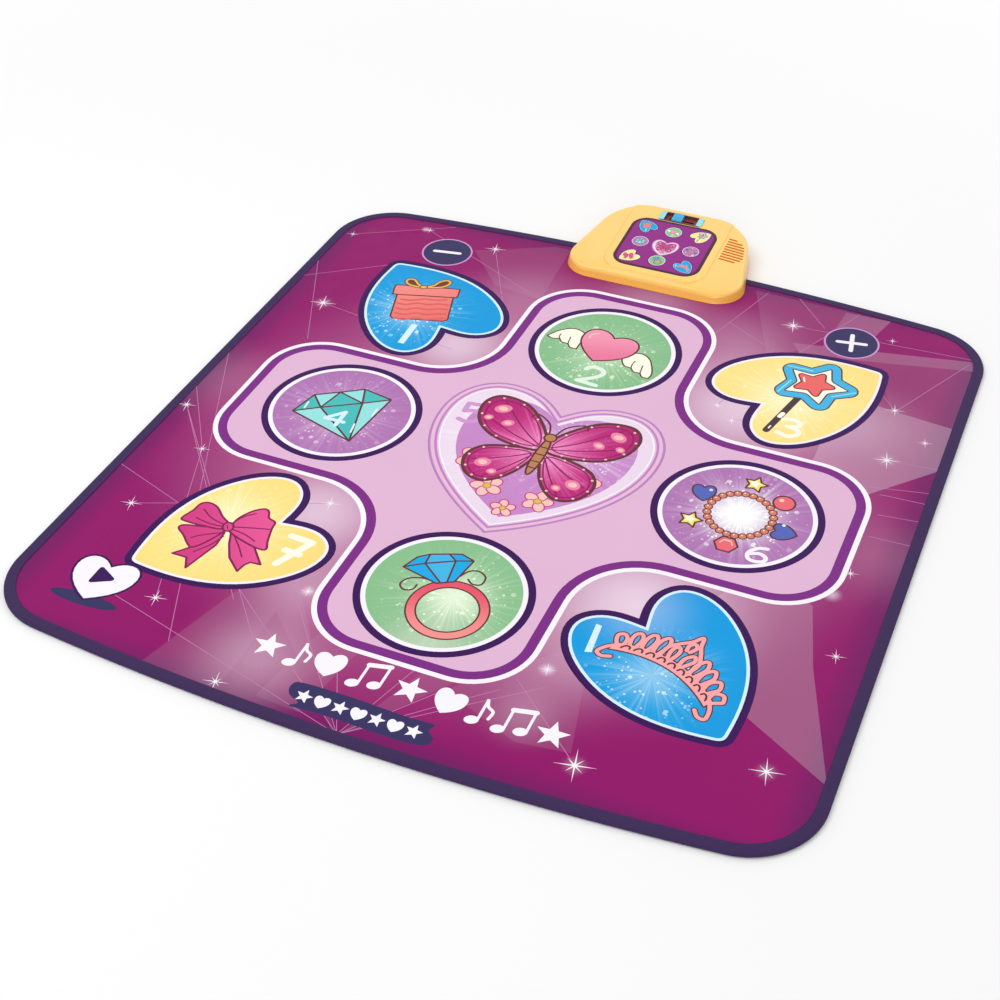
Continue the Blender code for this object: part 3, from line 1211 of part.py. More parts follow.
def build_leads():
    """The two battery wires, from the contacts through the bay's end walls to the board."""
    board_height = top_height(0, LEAD_BOARD_Y) + BOARD_LOW / math.cos(TOP_SLOPE) - 2 * TOUCH_GAP
    start_x = BAY_HALF_X
    wall_x = BAY_HALF_X + BAY_WALL
    for side, label in ((-1, "black"), (1, "red")):
        route = [
            (side * start_x, lead_start_y(), LEAD_HEIGHT),
            (side * (wall_x + LEAD_RADIUS), lead_start_y(), LEAD_HEIGHT),
            (side * (LEAD_BOARD_X - LEAD_RADIUS), lead_start_y() - BAY_WALL, LEAD_HEIGHT - LEAD_RADIUS),
            (side * (LEAD_BOARD_X + LEAD_RADIUS), (lead_start_y() + LEAD_BOARD_Y) / 2,
             LEAD_HEIGHT - LEAD_RADIUS),
            (side * LEAD_BOARD_X, LEAD_BOARD_Y + LEAD_RADIUS, LEAD_HEIGHT + LEAD_RADIUS),
            (side * LEAD_BOARD_X, LEAD_BOARD_Y, board_height),
        ]
        curve = bpy.data.curves.new(f"battery_lead_{label}", "CURVE")
        curve.dimensions = "3D"
        curve.bevel_depth = LEAD_RADIUS
        curve.bevel_resolution = 2
        curve.use_fill_caps = True
        points = smooth_route(route, LEAD_POINTS)
        spline = curve.splines.new("POLY")
        spline.points.add(len(points) - 1)
        for point, place in zip(spline.points, points):
            point.co = (*place, 1.0)
        holder = bpy.data.objects.new(f"lead_route_{label}", curve)
        PARTS.objects.link(holder)
        curve_to_mesh(holder, f"battery_lead_{label}", f"{label}_wire")


def build_battery_door():
    """A plate hinged at its front edge, with its origin on the hinge line and a captive screw."""
    hinge_y = DOOR_FRONT_Y + DOOR_HINGE_RADIUS
    hinge_z = (TRAY_LOW + TRAY_TOP) / 2
    half_thick = TRAY_THICKNESS / 2
    rear = DOOR_REAR_Y - hinge_y
    section = []
    for step in range(DOOR_HINGE_STEPS + 1):
        angle = math.pi / 2 + math.pi * step / DOOR_HINGE_STEPS
        section.append((DOOR_HINGE_RADIUS * math.cos(angle), half_thick * math.sin(angle)))
    section += [(rear, -half_thick), (rear, half_thick)]
    rings = [[(side * DOOR_HALF_X, y, z) for y, z in section] for side in (-1, 1)]
    door = loft("battery_door", rings, "yellow_plastic")
    door.location = (0, hinge_y, hinge_z)
    head = DOOR_HEAD_HEIGHT + 2 * TOUCH_GAP
    sink = turned("door_screw_sink", [
        (0, TRAY_TOP + BOX_WALL), (SCREW_HOLE_RADIUS, TRAY_TOP + BOX_WALL),
        (SCREW_HOLE_RADIUS, TRAY_LOW + head), (SCREW_HEAD_RADIUS, TRAY_LOW + head),
        (SCREW_HEAD_RADIUS, 0), (0, 0)],
        "steel", place=(0, DOOR_SCREW_Y, 0))
    boolean(door, as_cutter(sink), "DIFFERENCE")
    profile = screw_profile(SCREW_HEAD_RADIUS - TOUCH_GAP, DOOR_HEAD_HEIGHT, DOOR_CROWN_DROP,
                            DOOR_SCREW_LENGTH)
    screw = turned("battery_door_screw", profile, "steel", place=(0, DOOR_SCREW_Y, TRAY_LOW + TOUCH_GAP))
    screw.rotation_euler.x = math.pi


def build_dance_mat():
    zones = zone_outlines()
    build_mat_layers(zones)
    build_edge_binding()
    build_pads(zones)
    frame = add_top_frame()
    build_upper_housing(frame)
    build_lower_housing()
    build_feet()
    build_screws()
    build_panel_and_board(frame)
    build_ribbon(frame)
    build_slide_switch(frame)
    build_speaker()
    build_cells()
    build_contacts()
    build_leads()
    build_battery_door()


build_dance_mat()
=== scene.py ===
import math
from contextlib import contextmanager

import bmesh
import bpy
from bpy.props import FloatProperty, FloatVectorProperty, PointerProperty
from bpy.types import NodeSocket, Operator, Panel, PropertyGroup
from mathutils import Matrix, Vector
from mathutils.geometry import delaunay_2d_cdt


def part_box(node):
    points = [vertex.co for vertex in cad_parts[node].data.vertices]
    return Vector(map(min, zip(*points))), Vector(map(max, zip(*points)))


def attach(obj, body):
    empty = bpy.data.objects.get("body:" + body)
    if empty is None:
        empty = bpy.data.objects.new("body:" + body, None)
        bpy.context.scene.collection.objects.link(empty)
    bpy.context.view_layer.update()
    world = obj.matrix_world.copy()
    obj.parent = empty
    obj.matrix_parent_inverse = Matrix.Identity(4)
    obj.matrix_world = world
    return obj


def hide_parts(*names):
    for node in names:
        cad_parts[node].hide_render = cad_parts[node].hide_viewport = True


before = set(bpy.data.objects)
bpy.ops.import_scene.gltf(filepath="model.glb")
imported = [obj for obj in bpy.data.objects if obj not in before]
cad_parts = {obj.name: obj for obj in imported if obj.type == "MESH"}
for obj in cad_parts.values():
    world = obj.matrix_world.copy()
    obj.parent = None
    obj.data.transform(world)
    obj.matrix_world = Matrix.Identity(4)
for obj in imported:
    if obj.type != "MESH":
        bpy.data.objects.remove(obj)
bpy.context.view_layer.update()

bl_info = {
    "name": "Dance Mat",
    "version": (1, 0, 0),
    "blender": (4, 5, 0),
    "location": "View3D > Sidebar > Dance Mat",
    "description": "Builds the printed mat, its pressure zones, its edge and its sound box",
    "category": "Add Mesh",
}

MM = 0.001


def corners(node):
    """The lowest and highest corner of a CAD node, in millimetres."""
    low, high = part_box(node)
    return Vector(low) / MM, Vector(high) / MM


def middle(node):
    low, high = corners(node)
    return (low + high) / 2


# The mat, read from the frame
MAT_LOW, MAT_HIGH = corners("edge_binding")
MAT_HALF_X, MAT_HALF_Y = MAT_HIGH.x, MAT_HIGH.y
END_BOW_RADIUS = 3500
MAT_CORNER_RADIUS = 85
COVER_LOW, COVER_TOP = (corner.z for corner in corners("printed_cover"))
FOAM_LOW, FOAM_TOP = (corner.z for corner in corners("foam_spacer"))
MEMBRANE_LOW, MEMBRANE_TOP = (corner.z for corner in corners("lower_membrane"))
BACKING_TOP = corners("backing_sheet")[1].z
PAD_LOW = corners("step_pad_1")[0].z
LAYER_INSET = 1.5
TOUCH_GAP = 0.3

# Pressure zones, read from the frame
ROUND_RADIUS = (corners("step_pad_2")[1].x - corners("step_pad_2")[0].x) / 2
SIDE_REACH = middle("step_pad_6").x
END_REACH = middle("step_pad_2").y
CORNER_TIP = (SIDE_REACH + 87, END_REACH + 88)
CORNER_HEART = (188, 216)
CENTRE_TIP = (0, corners("step_pad_5")[0].y)
CENTRE_HEART = (2 * corners("step_pad_5")[1].x, corners("step_pad_5")[1].y - CENTRE_TIP[1])
START_LOW, START_HIGH = corners("start_pad")
START_TIP = ((START_LOW.x + START_HIGH.x) / 2, START_LOW.y)
START_HEART = (START_HIGH.x - START_LOW.x, START_HIGH.y - START_LOW.y)
VOLUME_PLACE = (middle("volume_up_pad").x, middle("volume_up_pad").y)
VOLUME_RADIUS = (corners("volume_up_pad")[1].x - corners("volume_up_pad")[0].x) / 2
TURN_STEPS = 96
HEART_STEPS = (16, 10, 9)

# Half a heart, as three curves from the tip to the notch, in shares of half width and height
HEART_CURVES = (
    ((0.0, 0.0), (0.68, 0.213), (1.0, 0.435), (1.0, 0.704)),
    ((1.0, 0.704), (1.0, 0.87), (0.81, 1.0), (0.53, 1.0)),
    ((0.53, 1.0), (0.28, 1.0), (0.13, 0.93), (0.0, 0.856)),
)

# The printed island: a rounded cross with two edge lines
ISLAND_HALF_X = 385
ISLAND_LOW_Y = -360
ISLAND_TOP_Y = 370
ISLAND_ARM = 127
ISLAND_OUTER_RADIUS = 75
ISLAND_INNER_RADIUS = 80

# The sound box, as the frame has it
BOX_OVERLAP = 80
BOX_FRONT_Y, BOX_REAR_Y = MAT_HALF_Y - BOX_OVERLAP, corners("upper_housing")[1].y
BOX_FRONT_HALF = 134
BOX_REAR_HALF = 96.5
BOX_RADII = (40, 40, 66, 66)
BOX_WALL = 3.0
BOX_DRAFT = 3.0
BOX_EDGE_RADIUS = 5.0
BOX_TOP_HEIGHT = 28.5
BOX_SLOPE = math.radians(4.5)
PANEL_WIDTH, PANEL_LENGTH, PANEL_RADIUS, PANEL_THICKNESS = 121, 113, 22, 1.6
PANEL_Y = BOX_FRONT_Y + 21.5 + PANEL_LENGTH / 2
PANEL_BORDER = 4.0
CREASE_X = PANEL_WIDTH / 2 + 9.5
RIM_LOW = 2.0
RIM_ON_MAT = 4.9
RIM_ON_BINDING = 5.7
ICON_PITCH = (36, 34.6)
ICON_SCALES = (0.132, 0.128, 0.136)
SWITCH_WIDTH, SWITCH_LENGTH, SWITCH_CAP = 61.5, 20, 8
SWITCH_SIDE_RIM = 0.9
SWITCH_RIM_HEIGHT = 0.8
SWITCH_CORNER = 2.5
SWITCH_Y = PANEL_Y + PANEL_LENGTH / 2 + 1.6 + SWITCH_LENGTH / 2
SPEAKER_PLACE = (middle("speaker_basket").x, middle("speaker_basket").y)
SLIT_COUNT, SLIT_PITCH, SLIT_WIDTH = 9, 5.9, 2.7
SLIT_LEFT_X = SPEAKER_PLACE[0] - 10.5
SLIT_MIDDLE_Y = SPEAKER_PLACE[1] - 4
SLIT_MARGIN, SLIT_TAPER, SLIT_CORNER = 8.2, 11, 1.15
LIGHT_WELL_RADIUS = 6
TOP_FRAME = (Matrix.Translation((0, PANEL_Y * MM, BOX_TOP_HEIGHT * MM))
             @ Matrix.Rotation(BOX_SLOPE, 4, "X"))


def srgb(red, green, blue):
    """A colour as the eye reads it, 0 to 255, in Blender's linear values."""
    def linear(value):
        share = value / 255
        return share / 12.92 if share <= 0.04045 else ((share + 0.055) / 1.055) ** 2.4
    return (linear(red), linear(green), linear(blue), 1.0)


def colour_property(name, description, red, green, blue):
    return FloatVectorProperty(name=name, description=description, subtype="COLOR", size=4, min=0,
                               max=1, default=srgb(red, green, blue))


def length_property(name, description, millimetres):
    return FloatProperty(name=name, description=description, subtype="DISTANCE", unit="LENGTH",
                         min=0, precision=5, default=millimetres * MM)


# Settings

class StageSettings(PropertyGroup):
    floor: colour_property("Floor", "Colour of the floor", 246, 246, 246)
    azimuth: FloatProperty(name="Azimuth", description="Turn of the camera round the mat",
                           subtype="ANGLE", default=math.radians(23.47))
    elevation: FloatProperty(name="Elevation", description="Rise of the camera over the floor",
                             subtype="ANGLE", default=math.radians(39.83))
    roll: FloatProperty(name="Roll", description="Tilt of the camera about its own axis",
                        subtype="ANGLE", default=math.radians(-0.35))
    distance: FloatProperty(name="Distance", description="From the camera to the point it looks at",
                            unit="LENGTH", default=1.8634)
    lens: FloatProperty(name="Lens", description="Focal length on a 36 mm sensor", default=59.42)


class PrintSettings(PropertyGroup):
    ground_far: colour_property("Ground, Far", "Printed ground at the mat's corners", 141, 6, 100)
    ground_near: colour_property("Ground, Near", "Printed ground round the island", 170, 84, 136)
    light: colour_property("Light", "Shards and glows on the ground", 236, 214, 232)
    island: colour_property("Island", "Pale field between the zones", 222, 180, 210)
    band: colour_property("Band", "Band along the island's edge", 122, 40, 130)
    outline: colour_property("Outline", "Dark line round each zone", 54, 6, 84)
    white: colour_property("White", "White lines and signs", 244, 240, 246)
    outline_width: length_property("Outline Width", "Dark line round each zone", 8)
    line_width: length_property("Line Width", "White line inside a heart's outline", 3.4)
    ring_width: length_property("Ring Width", "White ring of a round zone", 5.4)
    island_line: length_property("Island Line", "White line at the island's edge", 6)
    island_band: length_property("Island Band", "Purple band inside it", 11)


class ZoneSettings(PropertyGroup):
    blue: colour_property("Blue", "Zones 1 and 9", 6, 162, 222)
    green: colour_property("Green", "Zones 2 and 8", 142, 192, 146)
    yellow: colour_property("Yellow", "Zones 3 and 7", 250, 229, 146)
    purple: colour_property("Purple", "Zones 4 and 6", 182, 124, 182)
    lilac: colour_property("Lilac", "Centre heart", 238, 220, 236)
    navy: colour_property("Navy", "Volume zones and shadows", 52, 46, 92)


class EdgeSettings(PropertyGroup):
    tape: colour_property("Tape", "Woven binding tape", 44, 12, 74)
    thread: colour_property("Thread", "Stitches along the binding", 74, 44, 106)
    width: length_property("Tape Width", "Seen width of the binding", 13)
    stitch_pitch: length_property("Stitch Pitch", "From one stitch to the next", 4.6)
    stitch_length: length_property("Stitch Length", "Length of a stitch", 3.2)
    stitch_inset: length_property("Stitch Inset", "From the mat's edge to the stitches", 10.6)
    thread_radius: length_property("Thread Radius", "Half the thread's thickness", 0.32)
    backing: colour_property("Backing", "Cloth under the mat", 66, 64, 72)
    stud: colour_property("Studs", "Grip studs under the mat", 44, 44, 50)
    stud_pitch: length_property("Stud Pitch", "From one grip stud to the next", 14)
    stud_radius: length_property("Stud Radius", "Radius of a grip stud", 2.3)


class BoxSettings(PropertyGroup):
    shell: colour_property("Shell", "Moulded shell of the sound box", 250, 208, 116)
    panel: colour_property("Panel", "Printed field of the picture panel", 142, 18, 130)
    panel_edge: colour_property("Panel Edge", "Dark line round the panel", 70, 6, 50)
    switch_frame: colour_property("Switch Frame", "Frame of the slide switch", 150, 218, 232)
    knob: colour_property("Knob", "Knob of the slide switch", 44, 178, 224)
    slot: colour_property("Slot", "Plate under the knob", 132, 46, 50)


def look(part):
    """The settings of one part, as the sidebar shows them."""
    return getattr(bpy.context.scene, "dance_mat_" + part)


# Shader nodes

def feed(tree, made, inputs):
    """Gives a node's sockets values, or other nodes' outputs, by name or number."""
    for key, value in inputs.items():
        if isinstance(value, NodeSocket):
            tree.links.new(value, made.inputs[key])
        else:
            made.inputs[key].default_value = value
    return made


def put(tree, kind, inputs=None, **settings):
    """Adds a node with its settings and its inputs."""
    made = tree.nodes.new(kind)
    for name, value in settings.items():
        setattr(made, name, value)
    return feed(tree, made, inputs or {})


def maths(tree, operation, *values, clamp=False):
    made = put(tree, "ShaderNodeMath", dict(enumerate(values)), operation=operation,
               use_clamp=clamp)
    return made.outputs[0]


def plus(tree, *values):
    return maths(tree, "ADD", *values)


def minus(tree, *values):
    return maths(tree, "SUBTRACT", *values)


def times(tree, *values):
    return maths(tree, "MULTIPLY", *values)


def vectors(tree, operation, *values, output="Vector"):
    made = put(tree, "ShaderNodeVectorMath", dict(enumerate(values)), operation=operation)
    return made.outputs[output]


def mix_colours(tree, share, first, second, blend="MIX"):
    made = put(tree, "ShaderNodeMix", {0: share, 6: first, 7: second}, data_type="RGBA",
               blend_type=blend)
    return made.outputs[2]


def between(tree, value, low, high, to_low=0.0, to_high=1.0):
    """A smooth step of a value from low to high."""
    made = put(tree, "ShaderNodeMapRange", {"Value": value, "From Min": low, "From Max": high,
                                            "To Min": to_low, "To Max": to_high},
               interpolation_type="SMOOTHSTEP")
    return made.outputs["Result"]


def place_of(tree):
    return put(tree, "ShaderNodeTexCoord").outputs["Object"]


def parts_of(tree, vector):
    return put(tree, "ShaderNodeSeparateXYZ", {0: vector}).outputs


def noise(tree, vector, scale, detail=2.0, roughness=0.5):
    return put(tree, "ShaderNodeTexNoise", {"Vector": vector, "Scale": scale, "Detail": detail,
                                            "Roughness": roughness}).outputs[0]


def toned(tree, colour, value):
    """The same colour, lighter or darker by a value about 1."""
    return put(tree, "ShaderNodeHueSaturation", {"Value": value, "Color": colour}).outputs["Color"]


GREY = (0.5, 0.5, 0.5, 1)
SKIN = [("Colour", "colour"), ("Roughness", "value"), ("Height", "value")]
SOCKETS = {"value": "NodeSocketFloat", "colour": "NodeSocketColor", "vector": "NodeSocketVector",
           "shape": "NodeSocketGeometry", "finish": "NodeSocketMaterial",
           "object": "NodeSocketObject"}


def new_group(kind, name, inputs, outputs):
    """An empty group with its sockets: the tree, what comes in and the node that it goes out by."""
    tree = bpy.data.node_groups.new(name, kind)
    for label, socket, default in inputs:
        made = tree.interface.new_socket(label, in_out="INPUT", socket_type=SOCKETS[socket])
        if default is not None:
            made.default_value = default
    for label, socket in outputs:
        tree.interface.new_socket(label, in_out="OUTPUT", socket_type=SOCKETS[socket])
    return tree, tree.nodes.new("NodeGroupInput").outputs, tree.nodes.new("NodeGroupOutput")


def shader_group(name, inputs, outputs):
    return new_group("ShaderNodeTree", name, inputs, outputs)


def use_group(tree, name, inputs):
    return put(tree, "ShaderNodeGroup", inputs, node_tree=bpy.data.node_groups[name]).outputs


def make_print_tone():
    """Ink laid a little unevenly: broad drifts and a fine dot."""
    tree, given, out = shader_group("print_tone", [
        ("Colour", "colour", GREY), ("Amount", "value", 0.06)], [("Colour", "colour")])
    place = place_of(tree)
    broad = minus(tree, noise(tree, place, 9.0, 3.0), 0.5)
    fine = minus(tree, noise(tree, place, 700.0, 1.0), 0.5)
    drift = times(tree, plus(tree, broad, times(tree, fine, 0.5)), given["Amount"])
    feed(tree, out, {"Colour": toned(tree, given["Colour"], plus(tree, drift, 1.0))})


def make_vinyl_grain():
    """Fine pebbled emboss of soft vinyl, with its gloss."""
    tree, given, out = shader_group("vinyl_grain", [("Gloss", "value", 0.42)],
                                    [("Height", "value"), ("Roughness", "value")])
    place = place_of(tree)
    pebble = put(tree, "ShaderNodeTexVoronoi", {"Vector": place, "Scale": 900.0, "Randomness": 1.0},
                 feature="SMOOTH_F1").outputs["Distance"]
    waves = noise(tree, place, 14.0, 2.0)
    height = plus(tree, times(tree, pebble, 0.4), times(tree, waves, 0.25))
    shine = times(tree, minus(tree, noise(tree, place, 40.0, 3.0), 0.5), 0.16)
    feed(tree, out, {"Height": height, "Roughness": plus(tree, given["Gloss"], shine)})


def beside(tree, centre, reach):
    """The way from a centre, seen from above, and its length as a share of a reach."""
    offset = vectors(tree, "SUBTRACT", place_of(tree), centre)
    flat = vectors(tree, "MULTIPLY", offset, (1, 1, 0))
    return flat, maths(tree, "DIVIDE", vectors(tree, "LENGTH", flat, output="Value"), reach)


def make_star_burst():
    """Fine streaks, a soft core and scattered soft dots about a centre."""
    tree, given, out = shader_group("star_burst", [
        ("Centre", "vector", (0, 0, 0)), ("Reach", "value", 0.09), ("Streaks", "value", 11.0),
        ("Core", "value", 0.5), ("Specks", "value", 0.5)], [("Mask", "value")])
    flat, far = beside(tree, given["Centre"], given["Reach"])
    aim = vectors(tree, "NORMALIZE", flat)
    spread = put(tree, "ShaderNodeVectorMath", {0: aim, "Scale": given["Streaks"]},
                 operation="SCALE")
    seed = vectors(tree, "MULTIPLY", given["Centre"], (31, 47, 0))
    streak = noise(tree, vectors(tree, "ADD", spread.outputs[0], seed), 1.0, 4.0, 0.7)
    near = between(tree, far, 1.15, 0.1)
    rays = times(tree, between(tree, streak, 0.46, 0.74), times(tree, near, 0.66))
    core = times(tree, maths(tree, "POWER", between(tree, far, 0.8, 0.0), 1.6), given["Core"])
    dots = None
    for scale, least, most in ((105.0, 0.55, 0.85), (230.0, 0.45, 0.75)):
        cells = put(tree, "ShaderNodeTexVoronoi",
                    {"Vector": flat, "Scale": scale, "Randomness": 1.0})
        grade = put(tree, "ShaderNodeSeparateColor", {0: cells.outputs["Color"]}).outputs[0]
        size = times(tree, minus(tree, grade, least), most)
        dot = between(tree, minus(tree, size, cells.outputs["Distance"]), 0.0, 0.1)
        dots = plus(tree, dots, dot) if dots else dot
    dots = times(tree, dots, times(tree, between(tree, far, 1.05, 0.35), given["Specks"]))
    feed(tree, out, {"Mask": maths(tree, "ADD", plus(tree, rays, core), dots, clamp=True)})


def make_soft_glow():
    tree, given, out = shader_group("soft_glow", [("Centre", "vector", (0, 0, 0)),
                                                  ("Radius", "value", 0.1)], [("Mask", "value")])
    _, far = beside(tree, given["Centre"], given["Radius"])
    feed(tree, out, {"Mask": maths(tree, "POWER", between(tree, far, 1.0, 0.0), 1.5)})


def make_woven_cloth():
    """Plain weave on the piece's own UV map, in metres: threads over and under each other, the
    colour lighter on the raised crossings and darker in the dips as painted shade.
    """
    tree, given, out = shader_group("woven_cloth", [
        ("Threads", "value", 1400.0), ("Colour", "colour", GREY)],
        [("Colour", "colour"), ("Height", "value")])
    place = put(tree, "ShaderNodeUVMap", uv_map="weave").outputs["UV"]
    parts = parts_of(tree, place)
    warp = maths(tree, "SINE", times(tree, parts["X"], given["Threads"]))
    weft = maths(tree, "SINE", times(tree, parts["Y"], given["Threads"]))
    height = times(tree, warp, weft)
    # Painted shade: the colour follows the weave's height.
    shade = plus(tree, times(tree, height, 0.14), 0.95)
    drift = times(tree, minus(tree, noise(tree, place, 60.0, 3.0), 0.5), 0.25)
    colour = toned(tree, given["Colour"], plus(tree, shade, drift))
    feed(tree, out, {"Colour": colour, "Height": height})


def make_moulded_skin():
    """Fine spark texture of a moulding, with its gloss and faint flow marks."""
    tree, given, out = shader_group("moulded_skin", [
        ("Colour", "colour", GREY), ("Gloss", "value", 0.35), ("Grain", "value", 1600.0)], SKIN)
    place = place_of(tree)
    flow = minus(tree, noise(tree, place, 22.0, 4.0), 0.5)
    feed(tree, out, {
        "Colour": toned(tree, given["Colour"], plus(tree, times(tree, flow, 0.07), 1.0)),
        "Roughness": plus(tree, given["Gloss"], times(tree, flow, 0.14)),
        "Height": noise(tree, place, given["Grain"], 2.0, 0.6)})


def make_drawn_metal():
    """Rolled or plated metal: fine lines one way and small dulled spots."""
    tree, given, out = shader_group("drawn_metal", [("Colour", "colour", (0.6, 0.6, 0.6, 1))], SKIN)
    place = place_of(tree)
    lines = noise(tree, vectors(tree, "MULTIPLY", place, (40, 2500, 2500)), 1.0, 2.0)
    spots = noise(tree, place, 260.0, 3.0, 0.6)
    dulled = mix_colours(tree, between(tree, spots, 0.45, 0.75, 0.0, 0.3), given["Colour"],
                         (0.35, 0.34, 0.33, 1))
    feed(tree, out, {"Colour": dulled, "Height": lines,
                     "Roughness": between(tree, spots, 0.3, 0.8, 0.22, 0.42)})


def make_groups():
    for make in (make_print_tone, make_vinyl_grain, make_star_burst, make_soft_glow,
                 make_woven_cloth, make_moulded_skin, make_drawn_metal):
        make()


def new_material(name, metallic=0.0, roughness=0.5, coat=0.0):
    finish = bpy.data.materials.new(name)
    finish.use_nodes = True
    tree = finish.node_tree
    shader = feed(tree, tree.nodes["Principled BSDF"],
                  {"Metallic": metallic, "Roughness": roughness, "Coat Weight": coat})
    return finish, tree, shader


def bump(tree, height, millimetres, strength=1.0):
    return put(tree, "ShaderNodeBump", {"Height": height, "Distance": millimetres * MM,
                                        "Strength": strength}).outputs["Normal"]


def vinyl(name, colour, gloss=0.46):
    """Printed vinyl. The colour is a value, or a function that makes it in the material's tree."""
    finish, tree, shader = new_material(name)
    if callable(colour):
        colour = colour(tree)
    grain = use_group(tree, "vinyl_grain", {"Gloss": gloss})
    feed(tree, shader, {
        "Base Color": use_group(tree, "print_tone", {"Colour": colour})["Colour"],
        "Specular IOR Level": 0.13, "Roughness": grain["Roughness"],
        "Normal": bump(tree, grain["Height"], 0.05, 0.5)})
    return finish


def ground_colour(lighter):
    """Magenta that pales towards the island, with soft glows, darker near the mat's edge as painted
    shade along the binding, and paler by a share in a shard.
    """
    def colour(tree):
        settings = look("print")
        place = place_of(tree)
        far = vectors(tree, "LENGTH", vectors(tree, "MULTIPLY", place, (1, 1, 0)), output="Value")
        drift = times(tree, minus(tree, noise(tree, place, 2.6, 2.0), 0.5), 0.10)
        share = between(tree, plus(tree, far, drift), 0.27, 0.46)
        made = mix_colours(tree, share, tuple(settings.ground_near), tuple(settings.ground_far))
        light = tuple(settings.light)
        # Painted shade: the ground darkens towards the mat's edge, along the binding.
        parts = parts_of(tree, vectors(tree, "ABSOLUTE", place))
        rim = maths(tree, "MAXIMUM", maths(tree, "DIVIDE", parts["X"], MAT_HALF_X * MM),
                    maths(tree, "DIVIDE", parts["Y"], MAT_HALF_Y * MM))
        made = mix_colours(tree, between(tree, rim, 0.89, 0.97, 0.0, 0.8), made, srgb(108, 16, 94))
        for x, y, radius, strength in GLOWS:
            share = times(tree, glow_at(tree, x, y, radius), strength)
            made = mix_colours(tree, share, made, light)
        if lighter:
            made = mix_colours(tree, lighter, made, light)
        return made
    return colour


def glow_at(tree, x, y, radius):
    return use_group(tree, "soft_glow",
                     {"Centre": (x * MM, y * MM, 0), "Radius": radius * MM})["Mask"]


# Soft glows on the ground: centre, radius and strength
GLOWS = (
    (-178, 182, 130, 0.72), (195, 195, 175, 0.78), (-185, -180, 140, 0.72), (195, -185, 175, 0.88),
    (-142, 310, 120, 0.12), (152, 330, 120, 0.16), (-140, -290, 100, 0.30), (150, -300, 110, 0.14),
    (-135, -405, 110, 0.34), (145, -372, 60, 0.16), (-412, 5, 115, 0.10), (408, -10, 115, 0.10),
    (20, 378, 120, 0.20), (335, 215, 120, 0.22),
    (-336, 425, 9, 0.75), (143, -306, 13, 0.80), (-134, -298, 12, 0.70), (378, -87, 15, 0.60),
    (-381, 202, 18, 0.25), (204, 390, 16, 0.25), (214, -413, 17, 0.25), (383, -350, 15, 0.25),
    (379, 161, 18, 0.25),
)


def burst_colour(base, pale, centre, reach, core=0.5, specks=0.6, edge=None, haze=None):
    """A zone's own colour with a pale burst, and a deeper edge or a haze where they are given."""
    def colour(tree):
        inner = tuple(base)
        if edge:
            inner = mix_colours(tree, glow_at(tree, *centre, reach * 1.5), edge, inner)
        if haze:
            inner = mix_colours(tree, glow_at(tree, *haze[:3]), inner, haze[3])
        mask = use_group(tree, "star_burst", {
            "Centre": (centre[0] * MM, centre[1] * MM, 0), "Reach": reach * MM, "Core": core,
            "Specks": specks})["Mask"]
        return mix_colours(tree, mask, inner, pale)
    return colour


def graded(first, second, start, end):
    """A colour that turns into another from one place to the next."""
    def colour(tree):
        begin, aim = Vector(start) * MM, (Vector(end) - Vector(start)) * MM
        along = vectors(tree, "DOT_PRODUCT", place_of(tree), (*(aim / aim.length_squared), 0),
                        output="Value")
        offset = begin.dot(aim) / aim.length_squared
        return mix_colours(tree, between(tree, along, offset, offset + 1), first, second)
    return colour


# Printed colours that no setting gives, 0 to 255
PLAIN_INKS = {
    "line": (188, 128, 172), "ice": (212, 238, 250), "cream": (252, 248, 228),
    "brown": (96, 48, 52), "coral": (236, 104, 104), "rose": (236, 128, 164),
    "gold": (230, 180, 88), "star": (246, 226, 106), "sky": (66, 180, 226), "teal": (72, 186, 184),
    "mint": (150, 222, 222), "drop": (84, 100, 182), "charm": (234, 106, 116), "grey": (64, 58, 66),
    "magenta": (205, 52, 132), "hollow": (112, 60, 26), "mist": (226, 240, 222),
    "wine": (128, 26, 84), "mauve": (190, 128, 192), "ring": (205, 150, 205),
    "salmon": (246, 164, 166), "gem": (22, 168, 228), "tan": (186, 128, 84),
    "blush": (240, 196, 186), "bead": (214, 128, 104), "petal": (228, 186, 214),
    "grain": (218, 96, 94), "wing": (208, 56, 140),
}

# Printed colours that turn into another: both, 0 to 255, and from where to where
GRADED_INKS = {
    "gift": ((240, 140, 132), (232, 112, 106), (-290, 290), (-235, 215)),
    "hoop": ((226, 84, 106), (242, 146, 142), (4, -230), (26, -305)),
    "ribbon": ((206, 58, 128), (228, 84, 148), (-316, -260), (-225, -205)),
    "love": ((242, 152, 178), (232, 120, 156), (-14, 280), (4, 222)),
}


